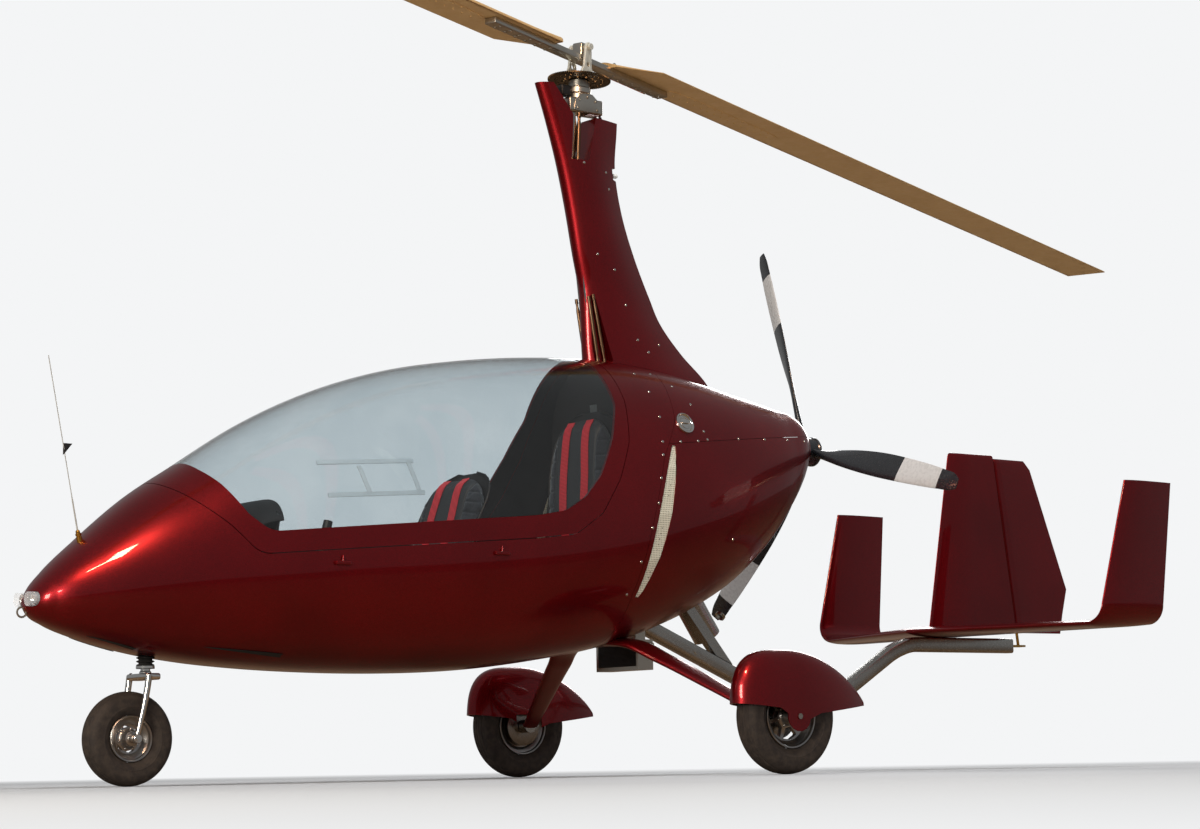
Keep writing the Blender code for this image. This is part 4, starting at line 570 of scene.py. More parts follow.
pod = {
    # x, crest height, keel height, half width, waist height, fullness of the lower half
    "stations": np.array([
        (-1.040, 1.355, 1.165, 0.092, 1.260, 2.0), (-1.000, 1.387, 1.095, 0.128, 1.245, 2.0),
                          (-0.870, 1.420, 0.925, 0.195, 1.190, 2.1),
        (-0.650, 1.462, 0.735, 0.275, 1.110, 2.2), (-0.450, 1.502, 0.625, 0.325, 1.040, 2.3),
                          (-0.230, 1.533, 0.538, 0.362, 0.980, 2.4),
        (0.000, 1.545, 0.472, 0.382, 0.920, 2.5), (0.300, 1.532, 0.420, 0.388, 0.870, 2.6),
                          (0.600, 1.497, 0.386, 0.384, 0.830, 2.6),
        (0.900, 1.440, 0.374, 0.372, 0.800, 2.6), (1.200, 1.343, 0.376, 0.352, 0.770, 2.6),
                          (1.470, 1.215, 0.388, 0.322, 0.735, 2.6),
        (1.700, 1.072, 0.408, 0.280, 0.700, 2.5), (1.890, 0.950, 0.437, 0.230, 0.665, 2.4),
                          (2.060, 0.810, 0.478, 0.165, 0.632, 2.3),
        (2.180, 0.702, 0.520, 0.104, 0.606, 2.2), (2.232, 0.644, 0.547, 0.060, 0.594, 2.0),
                          (2.255, 0.608, 0.572, 0.020, 0.588, 2.0)]),
    "upperFullness": 2.1,
    "around": 144,
    "step": 0.026,
    "shellWall": 0.012,
    "cowlWall": 0.006,
    "glassWall": 0.005,
    "seam": 0.003,
    "glassSeam": 0.0008,
    "cowlSeam": 0.0016,
    "canopyLine": ((1.835, 1.150), (1.835, 1.000), (1.655, 0.845), (1.560, 0.748), (0.500, 0.832),
                   (0.330, 0.852), (0.210, 0.930),
                   (0.120, 1.060), (0.055, 1.200), (0.022, 1.360), (0.018, 1.700)),
    "glassLine": ((1.715, 1.250), (1.705, 1.050), (1.655, 0.985), (1.590, 0.882), (1.520, 0.826),
                  (0.500, 0.913), (0.370, 0.936),
                  (0.285, 0.985), (0.205, 1.070), (0.130, 1.205), (0.072, 1.345), (0.066, 1.700)),
    "cowlFront": ((0.080, 0.400), (0.053, 0.649), (-0.034, 0.951), (-0.095, 1.147), (-0.190, 1.300),
                  (-0.245, 1.600)),
    "splitHeight": 1.190,
    "splitRise": 0.113,
    "top": 1.8,
    "cutHalf": 0.7,             # cutters reach this far to both sides
    "wellRadius": 0.0315,       # hole for the nose leg
    "lampZ": 0.603,
    "lampRadius": 0.0240,
}
steerX = 1.820                  # the nose leg's own axis


def podShape(x):
    # crest, keel, half width, waist and fullness at each x, on smooth curves through the stations
    table = pod["stations"]
    return [curveThrough(table[:, 0], table[:, column], x) for column in range(1, 6)]


def podPoints(x, angle):
    # superellipse at x: y = half * cos^(2/n), z = waist + reach * sin^(2/n), with its own n and reach above
    # and below the waist
    crest, keel, half, waist, full = podShape(x)
    c, s = np.cos(angle), np.sin(angle)
    power = 2 / np.where(s >= 0, pod["upperFullness"], full)
    reach = np.where(s >= 0, crest - waist, waist - keel)
    return spread(x, half * signedPower(c, power), waist + reach * signedPower(s, power))


def podLevel(points):
    # 1 on the skin, less inside: |y / half|^n + |(z - waist) / reach|^n
    x, y, z = np.moveaxis(points, -1, 0)
    crest, keel, half, waist, full = podShape(np.clip(x, pod["stations"][0, 0], pod["stations"][-1, 0]))
    up = z >= waist
    power = np.where(up, pod["upperFullness"], full)
    reach = np.where(up, crest - waist, waist - keel)
    return np.abs(y / half)**power + np.abs((z - waist) / reach)**power


def podNormals(points):
    # slope of podLevel by small differences, made one long
    tiny = 0.0004
    slope = np.stack([podLevel(points + shift) - podLevel(points - shift) for shift in np.eye(3) * tiny], -1)
    return slope / np.maximum(np.linalg.norm(slope, axis=-1, keepdims=True), 1e-9)


def podSide(x, z):
    # half width of the pod at height z
    crest, keel, half, waist, full = podShape(np.asarray(x, dtype=float))
    up = z >= waist
    power = np.where(up, pod["upperFullness"], full)
    share = np.where(up, (z - waist) / (crest - waist), (waist - z) / (waist - keel))
    return half * np.maximum(0.0, 1 - np.abs(share)**power)**(1 / power)


def podSpot(x, z, side=1):
    # point and outward normal on the skin, for arrays of x and z
    x, z = np.broadcast_arrays(np.asarray(x, dtype=float), np.asarray(z, dtype=float))
    points = np.stack([x, side * podSide(x, z), z], -1)
    return points, podNormals(points)


def podShell(name, low, high, wall, body):
    # outer skin and its copy moved in along the normals, joined at both ends
    xs = np.linspace(low, high, max(12, int((high - low) / pod["step"])))
    if high > 2.2:
        xs = np.concatenate([xs[xs < 2.15], np.linspace(2.16, high, 14)])
    angle = circle(pod["around"])
    outer = podPoints(xs[:, None], angle[None, :])
    inner = outer - podNormals(outer) * wall
    count = len(xs) * pod["around"]
    around = pod["around"]
    faces = np.concatenate([gridFaces(len(xs), around, closedColumns=True),
                            gridFaces(len(xs), around, closedColumns=True, start=count)[:, ::-1]]).tolist()
    ring = np.arange(around)
    after = (ring + 1) % around
    faces += np.stack([ring, ring + count, after + count, after], -1).tolist()
    last = (len(xs) - 1) * around
    if high > 2.2:
        faces += [(last + ring).tolist(), (count + last + ring)[::-1].tolist()]
    else:
        faces += np.stack([last + ring, last + after, count + last + after, count + last + ring], -1).tolist()
    shell = newPiece(name, np.concatenate([outer.reshape(-1, 3), inner.reshape(-1, 3)]), faces, body)
    facesOut(shell)
    return shell


def podFinish(piece, inside="lining", outside="lacquer"):
    # exact normals on the outer skin, and the lining's material on every face that looks inwards
    mesh = piece.data
    mesh.materials.clear()
    mesh.materials.append(materials[outside])
    mesh.materials.append(materials[inside])
    faces = len(mesh.polygons)
    centres, facing, loops = np.empty(faces * 3), np.empty(faces * 3), np.empty(faces, dtype=int)
    mesh.polygons.foreach_get("center", centres)
    mesh.polygons.foreach_get("normal", facing)
    mesh.polygons.foreach_get("loop_total", loops)
    centres, facing = centres.reshape(-1, 3), facing.reshape(-1, 3)
    alike = (podNormals(centres) * facing).sum(axis=1)
    skin = (alike > 0.8) & (podLevel(centres) > 0.985)
    inner = alike < -0.8
    mesh.polygons.foreach_set("material_index", inner.astype(np.int32))
    vertexOf = np.empty(len(mesh.loops), dtype=int)
    mesh.loops.foreach_get("vertex_index", vertexOf)
    faceOf = np.repeat(np.arange(faces), loops)
    exact = podNormals(coordsOf(mesh))[vertexOf]
    flat = facing[faceOf]
    choice = np.where(skin[faceOf][:, None], exact, np.where(inner[faceOf][:, None], -exact, flat))
    agree = (choice * flat).sum(axis=1, keepdims=True) > 0.5
    mesh.normals_split_custom_set(np.where(agree, choice, flat).tolist())
    return piece


def shiftedLine(line, amount):
    # the open outline moved sideways, towards the canopy's middle
    line = np.asarray(line, dtype=float)
    along = np.concatenate([line[1:2] - line[:1], line[2:] - line[:-2], line[-1:] - line[-2:-1]])
    along /= np.linalg.norm(along, axis=1)[:, None]
    return line + np.stack([along[:, 1], -along[:, 0]], -1) * amount


def sideCutter(name, line):
    line = [tuple(point) for point in line]
    closed = [(line[0][0], pod["top"]), *line, (line[-1][0], pod["top"])]
    return plateCutter(name, roundedOutline(closed, 0.09), -pod["cutHalf"], pod["cutHalf"])


def aftCutter(name, amount):
    front = roundedLine([(x - amount, z) for x, z in pod["cowlFront"]], 0.12)
    end = -1.4
    closed = [(end, 0.1), (front[0][0], 0.1), *map(tuple, front), (front[-1][0], pod["top"]),
              (end, pod["top"])]
    return plateCutter(name, closed, -pod["cutHalf"], pod["cutHalf"])


def roundedLine(points, radius):
    # an open outline with its corners rounded
    points = [tuple(point) for point in points]
    far = [(points[-1][0], points[-1][1] + 2.0), (points[0][0] + 3.0, points[0][1] + 2.0),
           (points[0][0] + 3.0, points[0][1])]
    closed = roundedOutline(points + far, radius)
    inside = (closed[:, 1] <= points[-1][1] + 1e-6) & (closed[:, 0] < points[0][0] + 1e-6)
    return closed[inside]


def splitCutter(name, side, amount):
    ends = (0.6, -1.4)
    seam = [(x, pod["splitHeight"] - pod["splitRise"] * x + side * amount) for x in ends]
    far = pod["splitHeight"] + side * 1.3
    return plateCutter(name, [*seam, (ends[1], far), (ends[0], far)], -pod["cutHalf"], pod["cutHalf"])


vent = {"length": 0.56, "width": 0.060, "bottom": 0.640, "setback": 0.022}


def cowlFrontX(z):
    table = np.array(pod["cowlFront"])
    return np.interp(z, table[:, 1], table[:, 0])


def ventOutline(steps=28):
    # crescent behind the cowl's front seam: its front edge follows the seam and its rear edge bows aft
    t = np.linspace(0, 1, steps + 1)
    z = vent["bottom"] + vent["length"] * t
    smooth = np.polynomial.polynomial.Polynomial.fit(z, cowlFrontX(z), 3)(z) - vent["setback"]
    rear = smooth - vent["width"] * np.sin(np.pi * (0.04 + 0.92 * t))**0.6
    return np.concatenate([np.stack([smooth, z], -1), np.stack([rear, z], -1)[::-1]])


mast = {"foot": (-0.152, 0.580), "lean": (0.035, 2.300), "half": 0.0223}


def mastX(z):
    (x0, z0), (x1, z1) = mast["foot"], mast["lean"]
    return x0 + (z - z0) * (x1 - x0) / (z1 - z0)


def squareCutter(name, low, high):
    ring = np.array([(-1, -1), (1, -1), (1, 1), (-1, 1)]) * mast["half"]
    z = np.array([low, high])[:, None]
    grid = spread(mastX(z) + ring[:, 0], ring[:, 1], z)
    cutter = gridPiece(name, grid, None, caps=True)
    cutter.hide_render = True
    return cutter


def roundCutter(name, start, end, radius, steps=40):
    start, end = np.asarray(start, dtype=float), np.asarray(end, dtype=float)
    length = np.linalg.norm(end - start)
    cutter = turnedPiece(name, [(0, 0), (radius, 0), (radius, length), (0, length)], start, end - start, None,
                         steps)
    cutter.hide_render = True
    return cutter


def makePod():
    # a Cut takes the opening out, a Keep leaves what belongs in it, less the seam's gap
    canopyCut = sideCutter("canopyCut", pod["canopyLine"])
    canopyKeep = sideCutter("canopyKeep", shiftedLine(pod["canopyLine"], pod["seam"]))
    glassCut = sideCutter("glassCut", pod["glassLine"])
    glassKeep = sideCutter("glassKeep", shiftedLine(pod["glassLine"], pod["glassSeam"]))
    aftCut, aftKeep = aftCutter("aftCut", 0.0), aftCutter("aftKeep", pod["cowlSeam"])
    upperKeep = splitCutter("upperKeep", 1, pod["cowlSeam"] / 2)
    lowerKeep = splitCutter("lowerKeep", -1, pod["cowlSeam"] / 2)
    mastCut = squareCutter("mastCut", 0.3, 2.6)
    ventCut = plateCutter("ventCut", ventOutline(), -pod["cutHalf"], pod["cutHalf"])
    keel = float(podShape(steerX)[1])
    wellCut = roundCutter("wellCut", (steerX, 0, keel - 0.2), (steerX, 0, keel + 0.2), pod["wellRadius"])
    tub = podShell("fuselageSkin", -0.40, 2.255, pod["shellWall"], "airframe")
    for cutter in (canopyCut, aftCut, mastCut, wellCut):
        cutBy(tub, cutter)
    lampZ = pod["lampZ"]
    lampCuts = [roundCutter("lampCut", (2.10, side * 0.0325, lampZ), (2.32, side * 0.0455, lampZ),
                            pod["lampRadius"])
                for side in (1, -1)]
    for cutter in lampCuts:
        cutBy(tub, cutter)
    rim = podShell("canopyFrameSkin", -0.06, 1.90, pod["shellWall"], "canopy")
    cutBy(cutBy(rim, canopyKeep, "INTERSECT"), glassCut)
    pane = podShell("canopyPane", -0.02, 1.80, pod["glassWall"], "canopy")
    cutBy(pane, glassKeep, "INTERSECT")
    upper = podShell("upperCowlSkin", -1.040, 0.0, pod["cowlWall"], "airframe")
    cutBy(cutBy(cutBy(upper, aftKeep, "INTERSECT"), upperKeep, "INTERSECT"), mastCut)
    lower = podShell("lowerCowlSkin", -1.040, 0.15, pod["cowlWall"], "airframe")
    cutBy(cutBy(cutBy(lower, aftKeep, "INTERSECT"), lowerKeep, "INTERSECT"), ventCut)
    for piece in (tub, rim, upper, lower):
        podFinish(settle(piece))
    podFinish(settle(pane), "acrylic", "acrylic")
    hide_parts("fuselage_tub")
    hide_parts("canopy_frame")
    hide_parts("canopy_glass")
    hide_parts("cowl_upper")
    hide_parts("cowl_lower")
    discard([canopyCut, canopyKeep, glassCut, glassKeep, aftCut, aftKeep, upperKeep, lowerKeep,
             mastCut, ventCut, wellCut, *lampCuts])


makePod()
print("stage: pod made")


fairing = {
    # height, leading edge, trailing edge, half thickness
    "sections": np.array([
        (1.400, -0.006, -0.640, 0.088), (1.500, -0.006, -0.580, 0.080), (1.600, 0.000, -0.465, 0.068),
                          (1.720, 0.004, -0.358, 0.061),
        (1.805, 0.008, -0.315, 0.058), (1.950, 0.036, -0.248, 0.056), (2.130, 0.069, -0.186, 0.055),
                          (2.300, 0.108, -0.160, 0.055),
        (2.440, 0.150, -0.172, 0.055), (2.585, 0.199, -0.180, 0.055)]),
    "slot": ((0.250, 2.635), (0.250, 2.600), (0.150, 2.588), (0.066, 2.470), (0.070, 2.300), (-0.004, 2.300),
             (-0.045, 2.472), (-0.300, 2.472), (-0.300, 2.635)),
    "notch": ((-0.145, 2.250), (-0.140, 2.292), (-0.25, 2.310), (-0.25, 2.225)),
    "pocket": ((0.016, 1.774), (-0.026, 1.796), (-0.096, 1.538), (-0.030, 1.534)),
    "pocketFloor": 0.032,       # from the middle; the lower control rods lie in it
}


def fairingHalf(u):
    # share of the full thickness: round ahead of 35% of the chord, a falling cosine behind
    return np.where(u < 0.35, np.sqrt(np.maximum(0.0, 1 - ((0.35 - u) / 0.35)**2)),
                    np.cos((u - 0.35) / 0.65 * 1.42))


def mirrored(port):
    # rings that come back along the other side
    return np.concatenate([port, (port * [1, -1, 1])[:, :0:-1]], axis=1)


def foilGrid(front, rear, half, z, count=40):
    # rings of x and y at each height: chord points crowd towards both edges
    u = (1 - np.cos(np.linspace(0, np.pi, count))) / 2
    x = front[:, None] + (rear - front)[:, None] * u
    y = half[:, None] * fairingHalf(u)
    return mirrored(spread(x, y, z[:, None]))


def podSolid(name, grow=0.0006):
    # closed body of the pod, a little larger, to trim what stands on it
    xs = np.linspace(-1.04, 2.255, 120)
    angle = circle(128)
    skin = podPoints(xs[:, None], angle[None, :])
    solid = gridPiece(name, skin + podNormals(skin) * grow, None, caps=True)
    solid.hide_render = True
    return solid


def makeMastFairing(podBody):
    table = fairing["sections"]
    z = np.linspace(table[0, 0], table[-1, 0], 90)
    front, rear, half = (curveThrough(table[:, 0], table[:, column], z) for column in (1, 2, 3))
    skin = gridPiece("mastFairingSkin", foilGrid(front, rear, half, z), "airframe", caps=True)
    cutters = [plateCutter("slotCut", fairing["slot"], -0.2, 0.2),
               plateCutter("notchCut", fairing["notch"], -0.2, 0.2),
               squareCutter("mastCut", 1.2, 2.62)]
    pocket = roundedOutline(fairing["pocket"], 0.012)
    for word, side in (("Port", 1), ("Starboard", -1)):
        cutters.append(plateCutter("pocketCut" + word, pocket,
                                   *sorted((side * fairing["pocketFloor"], side * 0.2))))
    for cutter in (podBody, *cutters):
        cutBy(skin, cutter)
    settle(skin, 30)
    dress(skin, "lacquer")
    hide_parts("mast_fairing")
    discard(cutters)


gear = {
    "axleX": -0.252, "track": 1.621, "axleZ": 0.200,
    "springRoot": (-0.040, 0.16, 0.508), "springChord": (0.125, 0.070), "springThick": (0.034, 0.024),
        "springEndIn": 0.034,
    "tyreWidth": 0.104,
    "fenderLength": (0.236, 0.372), "fenderHalf": 0.080, "fenderRise": 0.034, "fenderLobe": 0.052,
        "fenderEdge": 0.050, "fenderWall": 0.004,
}


def makeSpring(podBody):
    # flattened tube: flat under the pod, then straight out and down to each axle
    thick, chord = gear["springThick"], gear["springChord"]
    root = np.array([gear["springRoot"][0], gear["springRoot"][1], gear["springRoot"][2] - thick[0] / 2])
    end = np.array([gear["axleX"], gear["track"] / 2 - gear["tyreWidth"] / 2 - gear["springEndIn"],
                    gear["axleZ"] + 0.004])
    drop = end - root
    knots = np.array([root + [0.012, -root[1], 0.0], root + [0.012, -root[1] * 0.5, 0.0],
                      root + drop * 0.04 + [0, 0, 0.004],
                      root + drop * 0.28 + [0, 0, 0.012], root + drop * 0.64 + [0, 0, 0.008], end])
    share = np.array([0.0, 0.0, 0.08, 0.30, 0.65, 1.0])
    port = smoothPath(np.column_stack([knots, share]), 48)
    whole = np.concatenate([(port * [1, -1, 1, 1])[:0:-1], port])
    angle = circle(40)
    wide = (chord[0] + (chord[1] - chord[0]) * whole[:, 3])[:, None] / 2
    high = (thick[0] + (thick[1] - thick[0]) * whole[:, 3])[:, None] / 2
    across, upward = (np.sign(wave) * np.abs(wave)**0.75 for wave in (np.cos(angle), np.sin(angle)))
    grid = spread(whole[:, 0:1] + wide * across, whole[:, 1:2], whole[:, 2:3] + high * upward)
    spring = gridPiece("gearSpringSkin", grid, "airframe", caps=True)
    cutBy(spring, podBody)
    settle(spring, 40)
    dress(spring, "lacquer")
    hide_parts("gear_spring")


def fenderGrid(side, inset, lengthwise=56, across=48):
    # teardrop sections along x: blunt in front, falling to a point behind; each section is a flattened arch
    ahead, behind = (length - inset for length in gear["fenderLength"])
    t = np.linspace(0, np.pi / 2, lengthwise // 2)
    rel = np.concatenate([ahead * np.cos(t), -behind * np.sin(t[1:])])
    share = np.minimum(1.0, np.where(rel > 0, rel / ahead, -rel / behind))
    swell = np.where(rel > 0, np.sqrt(np.maximum(0.0, 1 - share**4.0)), np.maximum(0.0, 1 - share**1.9)**0.85)
    half = np.maximum(gear["fenderHalf"] * swell - inset, gear["fenderWall"] - inset / 2)
    axleZ = gear["axleZ"]
    top = axleZ + gear["fenderEdge"] + (axleZ + gear["fenderRise"] - gear["fenderEdge"]) * swell - inset
    low = axleZ - gear["fenderLobe"] * 2 - inset
    a = np.linspace(0, np.pi, across)
    y = side * gear["track"] / 2 + half[:, None] * signedPower(np.cos(a), 0.8)
    z = low + (top - low)[:, None] * np.abs(np.sin(a))**0.55
    return spread((gear["axleX"] + rel)[:, None], y, z)


def makeFender(word, side):
    shell = gridPiece("fenderSkin" + word, fenderGrid(side, 0.0), "airframe", caps=True)
    inside = gridPiece("fenderInside", fenderGrid(side, gear["fenderWall"]), None, caps=True)
    axleX, axleZ, lobe = gear["axleX"], gear["axleZ"], gear["fenderLobe"]
    low = axleZ - lobe * 4
    front, rear = axleX + gear["fenderLength"][0] + 0.1, axleX - gear["fenderLength"][1] - 0.1
    a = np.linspace(0.2, -np.pi + 0.2, 28)
    edge = [(front, axleZ + 0.058), (axleX + lobe * 1.6, axleZ + 0.030),
            *zip(axleX + lobe * np.cos(a), axleZ + lobe * np.sin(a)),
            (axleX - lobe * 2.0, axleZ + 0.010), (rear, axleZ + 0.048), (rear, low), (front, low)]
    middle = side * gear["track"] / 2
    y0, y1 = sorted((middle - 0.2, middle + 0.2))
    cutters = [inside, plateCutter("fenderCut", edge, y0, y1)]
    clear = gear["tyreWidth"] / 2 + 0.012
    y0, y1 = sorted((middle - side * clear, middle - side * 0.2))
    leg = [(axleX - 0.062, axleZ - 0.2), (axleX + 0.062, axleZ - 0.2), (axleX + 0.062, axleZ + 0.045),
           (axleX - 0.062, axleZ + 0.045)]
    cutters.append(plateCutter("legCut", leg, y0, y1))
    cutters.append(roundCutter("axleCut", (axleX, middle, axleZ), (axleX, middle + side * 0.2, axleZ),
                               0.0105))
    carve(shell, cutters, 30)
    dress(shell, "lacquer")
    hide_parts("fender_" + word.lower())


tail = {
    "boomPath": ((-0.250, 0.564), (-0.980, 0.256), (-1.075, 0.236), (-1.170, 0.262), (-1.530, 0.476),
                 (-1.620, 0.505), (-2.195, 0.505)),
    "boomHeight": 0.060, "boomWidth": 0.046, "boomBend": 0.16, "boomCorner": 0.010,
    "stabZ": 0.557, "stabThick": 0.044, "halfSpan": 0.822, "root": (-1.610, -2.165), "tip": (-1.874, -2.225),
        "tipTurn": 0.075,
    "finTop": 1.116, "finCant": 0.016, "finTopChord": (-2.009, -2.279), "finThick": 0.030,
    "centreThick": 0.050, "centreTop": 1.300, "centreFront": (-1.737, -1.875), "hingeTop": (-2.140, 1.300),
        "hingeLow": (-2.240, 0.560),
    "rudderGap": 0.006,
    "rudderRear": ((0.560, -2.500), (0.640, -2.517), (0.750, -2.547), (1.250, -2.352), (1.300, -2.302)),
}


def boomLine():
    # the path in x and z, with each corner replaced by an arc that touches both sides
    path = [np.array(point) for point in tail["boomPath"]]
    out = [path[0][None]]
    t = np.linspace(0, 1, 14)[:, None]
    for before, here, after in zip(path, path[1:], path[2:]):
        back = min(tail["boomBend"] / 2, 0.45 * np.linalg.norm(before - here),
                   0.45 * np.linalg.norm(after - here))
        start = here + (before - here) / np.linalg.norm(before - here) * back
        end = here + (after - here) / np.linalg.norm(after - here) * back
        out.append(start * (1 - t)**2 + here * 2 * t * (1 - t) + end * t**2)
    return np.concatenate([*out, path[-1][None]])


def roundedBox(wide, high, corner, steps=6):
    # corners of a rectangle turned into quarter circles
    a = np.linspace(0, np.pi / 2, steps)
    arcs = [np.stack([cx * (wide / 2 - corner) + corner * np.cos(a + turn),
                      cz * (high / 2 - corner) + corner * np.sin(a + turn)], -1)
            for cx, cz, turn in ((1, 1, 0), (-1, 1, np.pi / 2), (-1, -1, np.pi), (1, -1, 1.5 * np.pi))]
    return np.concatenate(arcs)


def makeBoom(podBody):
    line = boomLine()
    along = unit(np.gradient(line, axis=0))
    up = np.stack([-along[:, 1], along[:, 0]], -1)
    shape = roundedBox(tail["boomWidth"], tail["boomHeight"], tail["boomCorner"])
    x = line[:, 0:1] + up[:, 0:1] * shape[None, :, 1]
    z = line[:, 1:2] + up[:, 1:2] * shape[None, :, 1]
    grid = spread(x, shape[None, :, 0], z)
    boom = gridPiece("tailBoomTube", grid, "airframe", caps=True)
    cutBy(boom, podBody)
    settle(boom, 40)
    dress(boom, "stainless")
    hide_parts("tail_boom")


def wingShape(u):
    # thickness share of a symmetric aerofoil at chord share u
    return 1.4845 * np.sqrt(u) - 0.63 * u - 1.758 * u**2 + 1.4215 * u**3 - 0.5075 * u**4


def makeTailplane():
    # one surface: flat middle, a quarter turn at each tip, then up to the tip fin's top
    flat, turn = tail["halfSpan"] - tail["tipTurn"], tail["tipTurn"]
    rows = []
    for share in np.concatenate([np.linspace(0, 0.1, 8), np.linspace(0.14, 1.0, 18)]):
        rows.append((flat * share, 0.0, 0.0, share * 0.93, 0.0))
    for a in np.linspace(0, np.pi / 2, 14)[1:]:
        rows.append((flat + turn * math.sin(a), turn * (1 - math.cos(a)), a, 0.93 + 0.07 * a / (np.pi / 2),
                     0.0))
    rise = tail["finTop"] - tail["stabZ"]
    for share in np.linspace(0, 1, 16)[1:]:
        rows.append((tail["halfSpan"] + tail["finCant"] * share, turn + (rise - turn) * share, np.pi / 2, 1.0,
                     share))
    y, lift, angle, share, up = np.array(rows).T
    front, rear = (root + (tip - root) * share + (top - tip) * up
                   for root, tip, top in zip(tail["root"], tail["tip"], tail["finTopChord"]))
    thick = tail["stabThick"] + (tail["finThick"] - tail["stabThick"]) * share
    u = (1 - np.cos(np.linspace(0, np.pi, 30))) / 2
    x = front[:, None] + (rear - front)[:, None] * u
    off = thick[:, None] * np.maximum(wingShape(u), 0.02 * (u > 0.98))
    x = np.concatenate([x, x[:, :0:-1]], axis=1)
    off = np.concatenate([off, -off[:, :0:-1]], axis=1)
    port = np.stack([x, y[:, None] - off * np.sin(angle)[:, None],
                     tail["stabZ"] + lift[:, None] + off * np.cos(angle)[:, None]], -1)
    whole = np.concatenate([port[::-1], (port * [1, -1, 1])[1:]])
    plane = gridPiece("tailplaneSkin", whole, "airframe", caps=True)
    sharpen(plane, 40)
    dress(plane, "lacquer")
    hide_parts("tailplane")


def hingeX(z):
    (x0, z0), (x1, z1) = tail["hingeLow"], tail["hingeTop"]
    return x0 + (x1 - x0) * (z - z0) / (z1 - z0)


def makeCentreFin():
    half = tail["centreThick"] / 2
    base = tail["stabZ"] + tail["stabThick"] * 0.30
    z = np.concatenate([np.linspace(base, tail["centreTop"] - 0.014, 40),
                        tail["centreTop"] - 0.014 + 0.014 * np.sin(np.linspace(0, np.pi / 2, 8))[1:]])
    share = (z - base) / (tail["centreTop"] - base)
    drop = np.concatenate([np.zeros(40), 1 - np.cos(np.linspace(0, np.pi / 2, 8))[1:]])
    front = tail["centreFront"][0] + (tail["centreFront"][1] - tail["centreFront"][0]) * share - drop * 0.012
    rear = hingeX(z) + half * 0.62 + tail["rudderGap"]
    u = np.concatenate([[0.0], 1 - np.cos(np.pi * np.linspace(0.3, 9, 32) / 18)])
    swell = np.sin(np.pi / 2 * np.minimum(1.0, u / 0.45))**0.6 * (1 - 0.36 * np.maximum(0.0, u - 0.45))
    thin = (half * (1 - 0.2 * share) - drop * 0.010)[:, None]
    x = front[:, None] + (rear - front)[:, None] * u
    port = spread(x, thin * swell, z[:, None])
    fin = gridPiece("centreFinSkin", mirrored(port), "airframe", caps=True)
    sharpen(fin, 45)
    dress(fin, "lacquer")
    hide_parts("centre_fin")


def makeRudder():
    nose = tail["centreThick"] / 2 * 0.62
    spans = ((0.5605, 0.64, 5), (0.64, 0.75, 8), (0.75, 1.25, 30), (1.25, 1.287, 6))
    z = np.unique(np.concatenate([np.linspace(*part) for part in spans]))
    table = np.array(tail["rudderRear"])
    rear = np.interp(z, table[:, 0], table[:, 1])
    x0 = hingeX(z)
    a = np.linspace(0.0, np.pi * 0.55, 14)
    u = np.linspace(0.0, 1.0, 20)[1:]
    edge = np.clip((1.287 - z) / 0.010, 0, 1)**0.5
    x = np.concatenate([x0[:, None] + nose * np.cos(a), x0[:, None] + (rear - x0)[:, None] * u], axis=1)
    y = np.concatenate([nose * np.sin(a), nose * (1 - u) + 0.0015])[None, :] * (0.55 + 0.45 * edge)[:, None]
    port = spread(x, y, z[:, None])
    rudder = gridPiece("rudderSkin", mirrored(port), "rudder", caps=True)
    sharpen(rudder, 40)
    dress(rudder, "lacquer")
    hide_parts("rudder")


podBody = podSolid("podBody")
makeMastFairing(podBody)
makeSpring(podBody)
for word, side in (("Port", 1), ("Starboard", -1)):
    makeFender(word, side)
makeBoom(podBody)
discard([podBody])
makeTailplane()
makeCentreFin()
makeRudder()
print("stage: mast, gear and tail made")


mainWheel = {"radius": gear["axleZ"], "rim": 0.1112, "half": gear["tyreWidth"] / 2}
axleY = gear["track"] / 2
wheels = {
    # half is half the tyre's width, side points outwards
    "port": {**mainWheel, "body": "wheel_port", "centre": (gear["axleX"], axleY, gear["axleZ"]), "side": 1},
    "starboard": {**mainWheel, "body": "wheel_starboard", "centre": (gear["axleX"], -axleY, gear["axleZ"]),
                  "side": -1},
    "nose": {"radius": 0.155, "rim": 0.0762, "half": 0.046, "body": "nose_wheel",
             "centre": (1.885, 0.0, 0.155), "side": 1},
}
# shares of the half width, metres
treads = {"grooves": (-0.56, -0.28, 0.0, 0.28, 0.56), "depth": 0.0022, "width": 0.0026}


